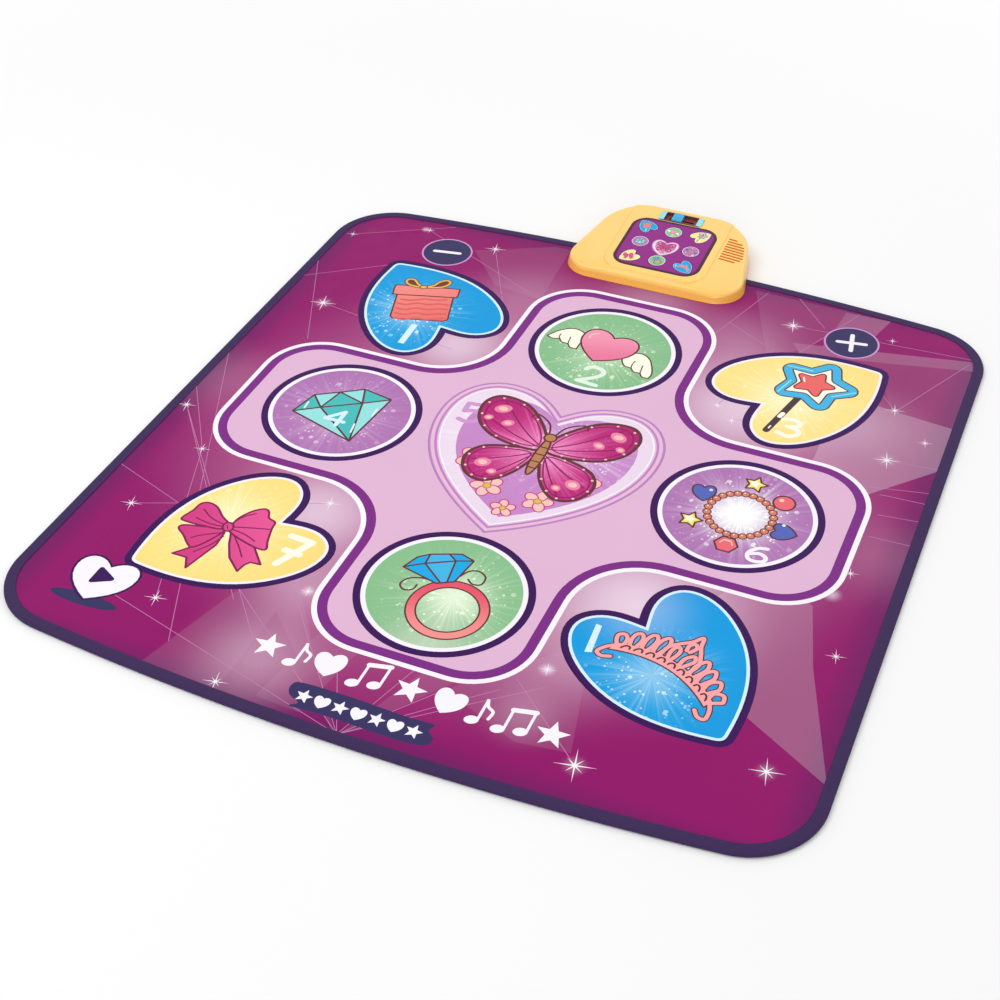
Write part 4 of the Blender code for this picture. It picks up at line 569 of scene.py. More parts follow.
def make_inks():
    """Every printed colour by name."""
    zones = look("zones")
    inks = {}
    for part, names in (("print", ("island", "band", "outline", "white")),
                        ("zones", ("navy", "blue", "green", "yellow", "purple", "lilac")),
                        ("box", ("panel", "panel_edge"))):
        for name in names:
            inks[name + "_ink"] = vinyl(name + "_ink", tuple(getattr(look(part), name)))
    for name, values in PLAIN_INKS.items():
        inks[name + "_ink"] = vinyl(name + "_ink", srgb(*values))
    for name, (first, second, start, end) in GRADED_INKS.items():
        inks[name + "_ink"] = vinyl(name + "_ink", graded(srgb(*first), srgb(*second), start, end))
    cream, white = srgb(253, 247, 206), srgb(250, 250, 252)
    bursts = {
        "blue_burst_1": (zones.blue, srgb(206, 238, 250), (-266, 232), 86, 0.42, 0.9,
                         srgb(12, 152, 218)),
        "green_burst_2": (zones.green, srgb(232, 246, 216), (0, 236), 92, 0.35, 0.9,
                          srgb(130, 186, 136)),
        "yellow_burst_3": (zones.yellow, cream, (243, 236), 105, 0.7, 0.6, srgb(250, 222, 134)),
        "purple_burst_4": (zones.purple, srgb(238, 214, 240), (-SIDE_REACH, -4), 92, 0.35, 0.8,
                           srgb(170, 112, 174)),
        "purple_burst_6": (zones.purple, white, (SIDE_REACH + 3, 1), 92, 1.15, 0.8,
                           srgb(170, 112, 174)),
        "yellow_burst_7": (zones.yellow, cream, (-268, -236), 100, 0.65, 0.6, srgb(250, 218, 126)),
        "green_burst_8": (zones.green, srgb(236, 248, 222), (12, -246), 88, 0.8, 0.9,
                          srgb(134, 188, 138), (20, -325, 90, srgb(186, 208, 180))),
        "blue_burst_9": (zones.blue, srgb(200, 234, 250), (243, -272), 80, 0.36, 0.9,
                         srgb(10, 152, 220), (200, -186, 88, srgb(128, 178, 232))),
        "lilac_burst_5": (zones.lilac, white, (-20, 30), 150, 0.6, 0.3, srgb(232, 212, 232)),
        "mauve_burst_5": (srgb(196, 134, 196), srgb(240, 220, 242), (40, 40), 110, 0.3, 0.9, None),
        "wing_burst": (srgb(204, 44, 134), srgb(244, 150, 204), (4, 20), 112, 0.75, 0.25,
                       srgb(170, 26, 106)),
    }
    for name, values in bursts.items():
        inks[name] = vinyl(name, burst_colour(*values))
    for name, lighter in (("ground", 0.0), ("ground_faint", 0.05), ("ground_pale", 0.14),
                          ("ground_light", 0.22)):
        inks[name] = vinyl(name, ground_colour(lighter))
    return inks


INKS = {}


def ink(name):
    if not INKS:
        INKS.update(make_inks())
    return INKS[name]


# Flat shapes, in millimetres

def circle(centre, radius, steps=TURN_STEPS):
    return ellipse(centre, radius, radius, steps)


def turned(centre, x, y, turn):
    """A point beside a centre, turned about it."""
    return (centre[0] + x * math.cos(turn) - y * math.sin(turn),
            centre[1] + x * math.sin(turn) + y * math.cos(turn))


def around(centre, reach, angle):
    return turned(centre, reach, 0, angle)


def ellipse(centre, across, up, steps=48, turn=0.0):
    angles = [2 * math.pi * step / steps for step in range(steps)]
    return [turned(centre, across * math.cos(angle), up * math.sin(angle), turn)
            for angle in angles]


def star(centre, outer, inner, count=5, turn=90.0):
    return [around(centre, inner if step % 2 else outer, math.radians(turn + 180 * step / count))
            for step in range(2 * count)]


def bezier(controls, steps):
    points = []
    for step in range(steps):
        t = step / steps
        weights = ((1 - t) ** 3, 3 * (1 - t) ** 2 * t, 3 * (1 - t) * t ** 2, t ** 3)
        points.append(tuple(sum(weight * point[axis] for weight, point in zip(weights, controls))
                            for axis in range(2)))
    return points


def smooth(points, steps=6, closed=False):
    """A smooth curve through a few chosen points."""
    path = [Vector(point) for point in points]
    count = len(path)
    spans = count if closed else count - 1

    def at(index):
        return path[index % count] if closed else path[min(max(index, 0), count - 1)]

    curve = []
    for span in range(spans):
        p0, p1, p2, p3 = (at(span + offset) for offset in (-1, 0, 1, 2))
        for step in range(steps):
            t = step / steps
            place = 0.5 * (2 * p1 + (p2 - p0) * t + (2 * p0 - 5 * p1 + 4 * p2 - p3) * t ** 2
                           + (3 * p1 - p0 - 3 * p2 + p3) * t ** 3)
            curve.append(tuple(place))
    if not closed:
        curve.append(tuple(path[-1]))
    return curve


def heart(tip, width, height, turn=0.0, steps=HEART_STEPS):
    """A heart that stands on its tip, turned about it."""
    half = []
    for controls, count in zip(HEART_CURVES, steps):
        half.extend(bezier(controls, count))
    notch = HEART_CURVES[-1][-1]
    whole = half + [notch] + [(-x, y) for x, y in reversed(half[1:])]
    return [turned(tip, x * width / 2, y * height, turn) for x, y in whole]


def small_heart(tip, width, height, turn=0.0):
    return heart(tip, width, height, turn, (6, 5, 4))


def corner_at(points, index):
    """A corner of an outline and the directions of its two sides."""
    before, here = Vector(points[index - 1]), Vector(points[index])
    after = Vector(points[(index + 1) % len(points)])
    return here, (here - before).normalized(), (after - here).normalized()


def grown(points, distance):
    """The same outline, anticlockwise, moved out by a distance or in by a negative one."""
    outline = []
    for index in range(len(points)):
        here, first, second = corner_at(points, index)
        out_first, out_second = Vector((first.y, -first.x)), Vector((second.y, -second.x))
        share = distance / (1 + out_first.dot(out_second))
        outline.append(tuple(here + (out_first + out_second) * share))
    return outline


def rounded(points, radii, steps, inset=0.0):
    """A polygon, anticlockwise, with round corners, convex or concave, and its sides moved in."""
    outline = []
    for index, radius in enumerate(radii):
        here, first, second = corner_at(points, index)
        in_first, in_second = Vector((-first.y, first.x)), Vector((-second.y, second.x))
        bend = 1 if first.cross(second) > 0 else -1
        centre = here + (in_first + in_second) * (bend * radius / (1 + in_first.dot(in_second)))
        start = math.atan2(-bend * in_first.y, -bend * in_first.x)
        end = math.atan2(-bend * in_second.y, -bend * in_second.x)
        sweep = (end - start) % (2 * math.pi) if bend > 0 else -((start - end) % (2 * math.pi))
        outline += [around(centre, radius - bend * inset, start + sweep * step / steps[index])
                    for step in range(steps[index] + 1)]
    return outline


def plate(centre, width, length, radius, steps=8, inset=0.0):
    x, y = width / 2, length / 2
    points = [(centre[0] - x, centre[1] - y), (centre[0] + x, centre[1] - y),
              (centre[0] + x, centre[1] + y), (centre[0] - x, centre[1] + y)]
    return rounded(points, (radius,) * 4, (steps,) * 4, inset)


def mat_outline(inset=0.0, corner_steps=24, end_steps=44):
    """Straight sides, bowed ends and round corners, moved in by an inset."""
    bow_centre = MAT_HALF_Y - END_BOW_RADIUS
    corner_x = MAT_HALF_X - MAT_CORNER_RADIUS
    corner_y = bow_centre + math.sqrt((END_BOW_RADIUS - MAT_CORNER_RADIUS) ** 2 - corner_x ** 2)
    tangent = math.atan2(corner_y - bow_centre, corner_x)
    radius, bow = MAT_CORNER_RADIUS - inset, END_BOW_RADIUS - inset
    quarter = []
    for step in range(corner_steps + 1):
        angle = tangent * step / corner_steps
        quarter.append((corner_x + radius * math.cos(angle), corner_y + radius * math.sin(angle)))
    for step in range(1, end_steps // 2):
        angle = tangent + (math.pi / 2 - tangent) * step / (end_steps // 2)
        quarter.append((bow * math.cos(angle), bow_centre + bow * math.sin(angle)))
    rear = quarter + [(0.0, bow_centre + bow)] + [(-x, y) for x, y in reversed(quarter)]
    return rear + [(-x, -y) for x, y in rear]


def island_outline(inset=0.0):
    """The rounded cross that joins the middle zones."""
    x, low, top, arm = ISLAND_HALF_X, ISLAND_LOW_Y, ISLAND_TOP_Y, ISLAND_ARM
    points = [(-arm, low), (arm, low), (arm, -arm), (x, -arm), (x, arm), (arm, arm),
              (arm, top), (-arm, top), (-arm, arm), (-x, arm), (-x, -arm), (-arm, -arm)]
    outer, inner = ISLAND_OUTER_RADIUS, ISLAND_INNER_RADIUS
    radii = (outer, outer, inner) * 4
    return rounded(points, radii, (14,) * 12, inset)


HARD_TURN = math.cos(math.radians(38))
POINT_GAP = 0.01
MERGE_DISTANCE = 0.0005
CUT_ATTEMPTS = 8
LEAK_SHARE = 1.3


def side_step(first, second, own, half):
    """From a path's corner to its line's left edge, mitred where it bends gently."""
    own_side = Vector((-own.y, own.x))
    if first.dot(second) < HARD_TURN:
        return own_side * half
    both = first + second
    side = Vector((-both.y, both.x)).normalized()
    return side * (half / side.dot(own_side))


def without_repeats(points, closed=True):
    """The same path without points that lie on the one before."""
    path = [Vector(points[0])]
    for point in points[1:]:
        if (Vector(point) - path[-1]).length > POINT_GAP:
            path.append(Vector(point))
    if closed and len(path) > 1 and (path[0] - path[-1]).length <= POINT_GAP:
        path.pop()
    return path


def stroke(points, width, closed=False):
    """A line's shapes: a quad for each span, and a disc at each hard turn and at the ends."""
    path = without_repeats(points, closed)
    count, half = len(path), width / 2
    spans = count if closed else count - 1
    aims = [(path[(index + 1) % count] - path[index]).normalized() for index in range(spans)]
    shapes, discs = [], set() if closed else {0, count - 1}
    for index, aim in enumerate(aims):
        before = aims[index - 1] if closed or index else aim
        after = aims[(index + 1) % spans] if closed or index + 1 < spans else aim
        start, end = path[index], path[(index + 1) % count]
        first, second = side_step(before, aim, aim, half), side_step(aim, after, aim, half)
        if min((end - start - (second - first)).dot(aim),
               (end - start + second - first).dot(aim)) < POINT_GAP:
            first = second = Vector((-aim.y, aim.x)) * half
            discs |= {index, (index + 1) % count}
        if before.dot(aim) < HARD_TURN:
            discs.add(index)
        shapes.append([start - first, end - second, end + second, start + first])
    shapes += [circle(path[index], half, 14) for index in sorted(discs)]
    return [[tuple(point) for point in shape] for shape in shapes]


class Pen:
    """Draws on a print in the mat's own millimetres, or small and elsewhere for a miniature."""

    def __init__(self, layers, centre=(0, 0), scale=1.0, place=(0, 0)):
        self.layers, self.centre, self.scale, self.place = layers, centre, scale, place

    def fill(self, points, name):
        points = [tuple(self.place[axis] + (point[axis] - self.centre[axis]) * self.scale
                        for axis in range(2)) for point in points]
        if self.scale != 1.0 and "_burst" in name:
            name = name.split("_burst")[0] + "_ink"
        self.layers.append((points, name))

    def line(self, points, width, name, closed=False):
        for shape in stroke(points, width, closed):
            self.fill(shape, name)

    def curve(self, points, width, name, steps=5):
        self.line(smooth(points, steps), width, name)

    def outlined(self, points, name, width=2.2, edge="brown_ink"):
        self.fill(points, name)
        self.line(points, width, edge, closed=True)

    def disc(self, centre, radius, name, steps=28):
        self.fill(circle(centre, radius, steps), name)


DIGIT_WIDTH = 0.19

# Digits as strokes in a box 0.6 wide and 1 high
DIGITS = {
    2: (smooth([(0.03, 0.76), (0.1, 0.93), (0.3, 1.0), (0.5, 0.9), (0.54, 0.7), (0.4, 0.42),
                (0.02, 0.0)], 5),
        ((0.02, 0.0), (0.58, 0.0))),
    3: (smooth([(0.04, 0.9), (0.28, 1.0), (0.5, 0.88), (0.48, 0.65), (0.22, 0.55)], 5),
        smooth([(0.22, 0.55), (0.5, 0.48), (0.58, 0.24), (0.36, 0.0), (0.02, 0.1)], 5)),
    4: (((0.44, 0.0), (0.44, 1.0), (0.0, 0.32), (0.6, 0.32)),),
    5: (((0.52, 1.0), (0.1, 1.0), (0.06, 0.56)),
        smooth([(0.06, 0.56), (0.34, 0.63), (0.57, 0.42), (0.48, 0.1), (0.22, 0.0), (0.0, 0.1)],
               5)),
    6: (smooth([(0.5, 0.95), (0.24, 0.84), (0.04, 0.44), (0.1, 0.08), (0.32, 0.0), (0.54, 0.14),
                (0.54, 0.4), (0.34, 0.54), (0.1, 0.4)], 5),),
    7: (((0.0, 1.0), (0.58, 1.0), (0.2, 0.0)), ((0.14, 0.5), (0.52, 0.5))),
}


def draw_digit(pen, number, corner, height, name="white_ink", turn=0.0, wide=1.0):
    """A plain digit with its lower left corner at a place."""
    for path in DIGITS[number]:
        points = [turned(corner, x * height * wide, y * height, turn) for x, y in path]
        pen.line(points, height * DIGIT_WIDTH, name)


# Zone outlines and pictures

OUTLINE_OVERRUN = 9.5
TIP_SOFTNESS = 11


def corner_turn(side, end):
    return math.atan2(side * CORNER_TIP[0], -end * CORNER_TIP[1])


def corner_heart(side, end):
    return heart((side * CORNER_TIP[0], end * CORNER_TIP[1]), *CORNER_HEART, corner_turn(side, end))


def centre_heart():
    return heart(CENTRE_TIP, *CENTRE_HEART)


def soft_tip(outline, reach):
    """The same heart with its point rounded off."""
    tip = Vector(outline[0])
    kept = [point for point in outline if (Vector(point) - tip).length > reach]
    start, end = Vector(kept[-1]), Vector(kept[0])
    shares = [step / 10 for step in range(1, 10)]
    bend = [start.lerp(tip, share).lerp(tip.lerp(end, share), share) for share in shares]
    return kept + [tuple(point) for point in bend]


def printed_heart(side, end):
    """The dark outline's own edge, which runs past the pad's tip onto the cover."""
    aim = Vector((side * 0.76, end * 0.65)) * OUTLINE_OVERRUN
    tip = (side * CORNER_TIP[0] + aim.x, end * CORNER_TIP[1] + aim.y)
    size = (CORNER_HEART[0] + 5, CORNER_HEART[1] + 10)
    return soft_tip(heart(tip, *size, corner_turn(side, end)), TIP_SOFTNESS)


def draw_heart_ground(pen, side, end, fill, line="white_ink"):
    settings = look("print")
    pen.fill(corner_heart(side, end), "outline_ink")
    outline = printed_heart(side, end)
    pen.fill(outline, "outline_ink")
    pen.fill(grown(outline, -settings.outline_width / MM), line)
    pen.fill(grown(outline, -(settings.outline_width + settings.line_width) / MM), fill)


def draw_round_ground(pen, centre, fill):
    settings = look("print")
    inner = ROUND_RADIUS - settings.outline_width / MM
    pen.fill(circle(centre, ROUND_RADIUS), "outline_ink")
    pen.fill(circle(centre, inner), "white_ink")
    pen.fill(circle(centre, inner - settings.ring_width / MM), fill)


def draw_gift(pen):
    draw_heart_ground(pen, -1, 1, "blue_burst_1", "ice_ink")
    crate = [(-301, 262), (-229, 284), (-213, 229), (-218, 224), (-281, 205.5), (-286, 209)]
    pen.outlined(crate, "gift_ink", 2.2)
    for low in range(4):
        wave = [(x + 4 * low, y - 11 * low)
                for x, y in ((-291, 240), (-279, 241), (-266, 250), (-252, 252), (-239, 259))]
        pen.curve(wave + [(-227 + 3 * low, 261 - 10 * low)], 3.6, "grain_ink")
    pen.curve([(-290, 250), (-276, 253), (-262, 262), (-246, 266), (-234, 272)], 3.6, "grain_ink")
    lid = smooth([(-311, 276), (-306, 281), (-268, 291), (-231, 301), (-227, 298), (-224, 284),
                  (-229, 280), (-266, 269), (-303, 258), (-307, 261)], 4, closed=True)
    pen.outlined(lid, "gift_ink", 2.2)
    for loop in ([(-278, 287), (-286, 293), (-294, 300), (-302, 298), (-301, 290), (-292, 286)],
                 [(-272, 289), (-264, 297), (-260, 308), (-252, 315), (-246, 310), (-250, 300),
                  (-258, 294)]):
        curve = smooth(loop, 5, closed=True)
        pen.fill(curve, "hollow_ink")
        pen.line(curve, 6.0, "brown_ink", closed=True)
        pen.line(curve, 3.2, "gold_ink", closed=True)
    pen.outlined(ellipse((-275, 288), 5, 4, 20, 0.3), "gold_ink", 1.5)
    pen.fill([(-252, 203), (-243.5, 204), (-242, 158), (-250.5, 158)], "ice_ink")


def scalloped(path, sag):
    """A wing's trailing edge: a round feather between each point and the next."""
    points = []
    for first, second in zip(path, path[1:]):
        first, second = Vector(first), Vector(second)
        span = second - first
        middle = (first + second) / 2 + Vector((span.y, -span.x)).normalized() * sag
        points += smooth([first, middle, second], 4)[:-1]
    return points + [tuple(path[-1])]


def draw_winged_heart(pen):
    draw_round_ground(pen, (0, END_REACH), "green_burst_2")
    left = smooth([(-34, 266), (-42, 272), (-52, 274), (-62, 270), (-72, 260), (-80, 246)], 5)
    left += scalloped([(-80, 246), (-63, 246), (-49, 239), (-35, 232)], 3.6)
    right = smooth([(24, 240), (33, 250), (46, 254), (58, 247), (66, 233), (71, 218), (70, 207)], 5)
    right += scalloped([(70, 207), (57, 214), (43, 220), (28, 229)], -3.6)
    for wing in (left, right):
        pen.outlined(wing, "cream_ink", 2.0)
    for feather in ([(-65, 256), (-65, 250), (-63, 246)], [(-51, 254), (-50, 246), (-49, 239)],
                    [(55, 230), (56, 222), (57, 214)], [(43, 236), (42, 228), (43, 220)]):
        pen.curve(feather, 1.5, "brown_ink", 4)
    pen.outlined(small_heart((-7, 216), 76, 67, math.radians(-9)), "love_ink", 2.4)
    pen.curve([(-28, 262), (-28, 270), (-20, 276)], 2.4, "blush_ink")
    draw_digit(pen, 2, (-11, 170), 35, "mist_ink", math.radians(-4), 1.3)


def draw_star_wand(pen):
    draw_heart_ground(pen, 1, 1, "yellow_burst_3")
    pen.line([(252, 240), (234, 162)], 8.8, "brown_ink")
    pen.line([(252, 240), (234, 162)], 6.0, "grey_ink")
    pen.line([(243.5, 201), (241.5, 194)], 6.0, "cream_ink")
    pen.line([(236.5, 172), (235.5, 167)], 2.0, "cream_ink")
    centre = (264, 274)
    bends = [(7, 3)[index % 2] for index in range(10)]
    outer = rounded(star(centre, 54, 29, 5, 75), bends, [5] * 10)
    pen.fill(outer, "cream_ink")
    pen.line(outer, 14.0, "brown_ink", closed=True)
    pen.line(outer, 10.2, "sky_ink", closed=True)
    for index in (1, 3, 7):
        pen.line(star(centre, 50, 30, 5, 75)[index:index + 2], 2.0, "mint_ink")
    inner = rounded(star((262, 275), 27, 13.5, 5, 74), [share * 0.3 for share in bends], [4] * 10)
    pen.line(inner, 5.4, "brown_ink", closed=True)
    pen.fill(inner, "coral_ink")
    pen.line(inner, 1.6, "coral_ink", closed=True)
    pen.line([(247, 284), (250, 276)], 2.2, "cream_ink")
    draw_digit(pen, 3, (246, 160), 34, "cream_ink", 0.0, 1.25)


def draw_gem(pen):
    draw_round_ground(pen, (-SIDE_REACH, 0), "purple_burst_4")
    a, b, c, d = (-242, 50), (-203, 43), (-213, -50), (-303, -23)
    e, f, g, h = (-294, 16), (-267, 33), (-232, 23), (-275, -4)
    pen.fill([a, b, c, d, e, f][::-1], "teal_ink")
    for facet in ([a, g, f], [e, f, h], [b, c, g], [h, c, d]):
        pen.fill(facet, "mint_ink")
    for path in ([a, b, c, d, e, f, a], [b, g, h, d], [a, g], [f, g], [f, h], [e, h], [g, c],
                 [h, c]):
        pen.line(path, 2.5, "brown_ink")
    for path in ([(-210, 19), (-210, 5)], [(-294, 0), (-293, -12)], [(-222, -18), (-219, -34)]):
        pen.line(path, 2.2, "white_ink")
    draw_digit(pen, 4, (-260, -29), 28, "ice_ink", 0.0, 1.45)


def draw_bracelet(pen):
    draw_round_ground(pen, (SIDE_REACH, 0), "purple_burst_6")
    centre, radius, count = (SIDE_REACH + 3, 1), 37, 26
    for index in range(count):
        bead = around(centre, radius, 2 * math.pi * index / count)
        pen.disc(bead, 5.4, "brown_ink", 14)
        pen.disc(bead, 4.0, "bead_ink", 14)
        pen.disc((bead[0] - 1.1, bead[1] + 1.4), 1.0, "cream_ink", 8)
    for place, reach in (((252, 59), 14), ((202, -28), 14)):
        pen.outlined(star(place, reach, reach * 0.52, 5, 84), "star_ink", 2.2)
        pen.fill(star((place[0] - 1, place[1] + 1), reach * 0.5, reach * 0.28, 5, 84), "cream_ink")
    for tip, turn, glint in (((205, 8), 12, (208, 30)), ((319, -10), 90, (301, 2))):
        pen.outlined(small_heart(tip, 27, 28, math.radians(turn)), "drop_ink", 2.2)
        pen.disc(glint, 2.2, "ice_ink", 10)
    pen.outlined(circle((291, 39), 12.5, 24), "charm_ink", 2.2)
    pen.outlined(circle((251, -53), 13.5, 6), "charm_ink", 2.2)
    pen.fill(circle((251, -52), 8.0, 6), "blush_ink")
    pen.fill(circle((251, -54), 7.4, 6), "charm_ink")
    pen.disc((287, 43), 3.0, "blush_ink", 12)
    draw_digit(pen, 6, (276, -68), 26, "white_ink", 0.0, 1.5)


def draw_bow(pen):
    draw_heart_ground(pen, -1, -1, "yellow_burst_7")
    edge = "wine_ink"
    tails = ([(-264, -250), (-262, -272), (-273, -317), (-281, -302), (-299, -302), (-281, -280),
              (-272, -256)],
             [(-258, -246), (-250, -264), (-238, -284), (-219, -300), (-217, -288), (-213, -282),
              (-201, -281), (-222, -258), (-236, -246)])
    for tail in tails:
        pen.outlined(tail, "ribbon_ink", 2.6, edge)
    under = smooth([(-266, -244), (-290, -250), (-312, -256), (-315, -263), (-304, -271),
                    (-292, -282), (-284, -285), (-274, -270)], 4, closed=True)
    left = smooth([(-268, -235), (-280, -227), (-294, -215), (-306, -212), (-314, -217),
                   (-316, -230), (-321, -247), (-312, -250), (-290, -249), (-270, -246)], 4,
                  closed=True)
    right = smooth([(-263, -234), (-262, -222), (-254, -206), (-243, -197), (-236, -200),
                    (-231, -209), (-221, -213), (-219, -224), (-213, -244), (-208, -257),
                    (-218, -259), (-240, -254), (-262, -245)], 4, closed=True)
    for loop in (under, left, right):
        pen.outlined(loop, "ribbon_ink", 2.6, edge)
    for crease in ([(-272, -238), (-290, -234), (-306, -224)],
                   [(-272, -242), (-290, -243), (-306, -240)],
                   [(-260, -238), (-242, -232), (-221, -226)],
                   [(-260, -242), (-242, -244), (-226, -250)],
                   [(-262, -256), (-268, -274), (-279, -291)],
                   [(-268, -252), (-286, -264), (-294, -272)],
                   [(-252, -250), (-238, -264), (-226, -278)],
                   [(-264, -232), (-258, -218), (-248, -208)]):
        pen.curve(crease, 1.8, edge)
    pen.outlined(ellipse((-265.5, -240), 6, 7.5, 24, 0.5), "ribbon_ink", 2.4, edge)
    pen.line([(-268, -238), (-264, -243)], 1.4, edge)
    draw_digit(pen, 7, (-196, -272), 46, "cream_ink", math.radians(-4))


def draw_jewel_ring(pen):
    draw_round_ground(pen, (0, -END_REACH), "green_burst_8")
    for curl in ([(5, -214), (11, -203), (21, -199), (31, -205), (31, -217), (22, -220),
                  (15, -215)],
                 [(-16, -233), (-30, -232), (-44, -238), (-49, -249), (-42, -256), (-33, -252),
                  (-32, -244)]):
        pen.curve(curl, 2.2, "brown_ink", 6)
    centre = (14, -266)
    pen.line(circle(centre, 39, 72), 12.6, "brown_ink", closed=True)
    pen.line(circle(centre, 39, 72), 8.8, "hoop_ink", closed=True)
    a, b, c, d = (-57.5, -224), (-50, -204), (-39, -194.5), (-20, -186)
    e, f, g, h = (-7, -181), (9, -186), (3, -224), (-14, -234)
    low, high = (-38, -210), (-9, -193.5)
    first, second = (-10, -231.5), (-4, -228)
    pen.fill([a, h, g, f, e, d, c, b], "gem_ink")
    pen.fill([c, low, high, d], "sky_ink")
    pen.fill([low, first, second, high], "sky_ink")
    for path in ([a, b, c, d, e, f, g, h, a], [a, low, high, f], [c, low, first],
                 [d, high, second]):
        pen.line(path, 2.2, "brown_ink")


def draw_tiara(pen):
    draw_heart_ground(pen, 1, -1, "blue_burst_9", "ice_ink")
    middle_place, lean = Vector((254, -258)), Matrix.Rotation(math.radians(-20), 2)

    def at(x, y):
        return tuple(middle_place + lean @ Vector((x, y - 0.0048 * x * x)))

    def leaf(x, low, half, height, tilt):
        """A round loop that stands on the band and leans outwards."""
        return smooth([at(x - half * 0.5, low), at(x - half + tilt * 0.4, low + height * 0.5),
                       at(x - half * 0.6 + tilt, low + height * 0.9),
                       at(x + half * 0.2 + tilt, low + height),
                       at(x + half + tilt * 0.9, low + height * 0.75),
                       at(x + half * 0.9 + tilt * 0.4, low + height * 0.4),
                       at(x + half * 0.5, low)], 4)

    band = [at(x, 0) for x in range(-62, 63, 6)] + [at(x, 12) for x in range(60, -61, -6)]
    paths = []
    for side in (-1, 1):
        paths.append(smooth([at(side * 60, 8), at(side * 66, 3), at(side * 69, -6),
                             at(side * 62, -13), at(side * 54, -12)], 5))
        for index, height in enumerate((29, 27, 24, 19)):
            paths.append(leaf(side * (23 + 11.5 * index), 9, 5.2, height, side * (2 + 1.6 * index)))
    peak = smooth([at(-18, 9), at(-19, 26), at(-12, 38), at(-5, 47), at(0, 59), at(6, 47),
                   at(13, 38), at(20, 26), at(18, 9)], 5)
    paths += [peak, leaf(-8, 12, 4.2, 20, -2), leaf(7, 12, 4.2, 20, 3), leaf(0, 33, 4.0, 13, 0)]
    for path in paths:
        pen.line(path, 7.2, "brown_ink")
    pen.outlined(band, "salmon_ink", 3.6)
    pen.fill(band, "salmon_ink")
    for path in paths:
        pen.line(path, 4.4, "salmon_ink")
    for index in range(-4, 5):
        x = index * 12.5
        pen.curve([at(x - 4, 5), at(x - 2.6, 8.4), at(x, 9.6), at(x + 2.6, 8.4), at(x + 4, 5)],
                  2.2, "brown_ink", 3)
    pen.fill([(165, -225), (171.5, -226), (175, -266), (168, -268)], "ice_ink")


def shrunk(points, share):
    middle_point = sum((Vector(point) for point in points), Vector((0, 0))) / len(points)
    return [tuple(middle_point.lerp(Vector(point), share)) for point in points]


def mirrored(points, axis=0.0):
    return [(2 * axis - x, y) for x, y in reversed(points)]


def draw_butterfly(pen):
    """The centre heart: a pale double line, a lilac field and a large butterfly over flowers."""
    outline = centre_heart()
    for inset, name in ((0, "mauve_ink"), (2.6, "petal_ink"), (7.0, "mauve_ink"),
                        (10.0, "petal_ink"), (12.0, "white_ink"), (14.0, "lilac_burst_5")):
        pen.fill(grown(outline, -inset) if inset else outline, name)
    pen.fill(heart((4, -108), 214, 212), "mauve_burst_5")
    draw_digit(pen, 5, (-112, 38), 36, "ring_ink", math.radians(8), 1.2)
    for x, y, size, turn in ((-62, -22, 20, 0), (66, -18, 22, 20), (-30, -62, 17, 50),
                             (34, -66, 16, 10), (2, -92, 13, 30)):
        for petal in range(5):
            angle = math.radians(turn + 72 * petal)
            spot = around((x, y), size * 0.62, angle)
            pen.outlined(ellipse(spot, size * 0.55, size * 0.42, 20, angle), "blush_ink", 1.6,
                         "magenta_ink")
        pen.outlined(circle((x, y), size * 0.28, 16), "gold_ink", 1.4, "tan_ink")
    upper = smooth([(4, 34), (20, 66), (52, 98), (88, 104), (104, 84), (98, 52), (76, 30),
                    (44, 20), (12, 20)],
                   6, closed=True)
    lower = smooth([(8, 18), (40, 16), (72, 4), (84, -20), (74, -46), (52, -56), (32, -44),
                    (16, -18)],
                   6, closed=True)
    spots = ((78, 80, 11, 8), (62, 56, 8, 6), (88, 58, 6, 5), (60, -24, 10, 8), (44, -36, 6, 5))
    for mirror in (False, True):
        for wing in (lower, upper):
            shape = mirrored(wing, 4) if mirror else wing
            pen.outlined(shape, "wing_burst", 4.2, "brown_ink")
            inner = shrunk(shape, 0.84)
            pen.line(inner, 1.8, "wine_ink", closed=True)
            for point in shrunk(shape, 0.92)[::5]:
                pen.disc(point, 1.7, "blush_ink", 10)
        for vein in ([(8, 28), (40, 52), (80, 94)], [(8, 26), (46, 38), (92, 60)],
                     [(12, 14), (40, -6), (74, -24)], [(12, 10), (30, -20), (50, -48)]):
            pen.curve(mirrored(vein, 4) if mirror else vein, 1.8, "wine_ink")
        for x, y, across, up in spots:
            place = (8 - x if mirror else x, y)
            pen.fill(ellipse(place, across, up, 20, 0.5 if mirror else -0.5), "rose_ink")
            pen.fill(ellipse(place, across * 0.55, up * 0.55, 16), "blush_ink")
        feeler = smooth([(6, 44), (14, 72), (34, 86), (40, 78)], 6)
        pen.line(mirrored(feeler, 4) if mirror else feeler, 2.4, "brown_ink")
    pen.outlined(ellipse((4, 10), 6.5, 36, 32), "tan_ink", 2.4)
    pen.outlined(circle((4, 48), 7.5, 24), "tan_ink", 2.4)
    for y in (28, 14, 0, -12):
        pen.line([(-1, y), (9, y)], 2.0, "brown_ink")


PICTURES = {1: draw_gift, 2: draw_winged_heart, 3: draw_star_wand, 4: draw_gem, 5: draw_butterfly,
            6: draw_bracelet, 7: draw_bow, 8: draw_jewel_ring, 9: draw_tiara}


def zone_outline(number):
    """The outline of a numbered zone, in rows from the sound box."""
    row, column = 1 - (number - 1) // 3, (number - 1) % 3 - 1
    if row and column:
        return corner_heart(column, row)
    if row or column:
        return circle((column * SIDE_REACH, row * END_REACH), ROUND_RADIUS)
    return centre_heart()


def zone_middle(number):
    outline = zone_outline(number)
    return tuple(sum(point[axis] for point in outline) / len(outline) for axis in range(2))


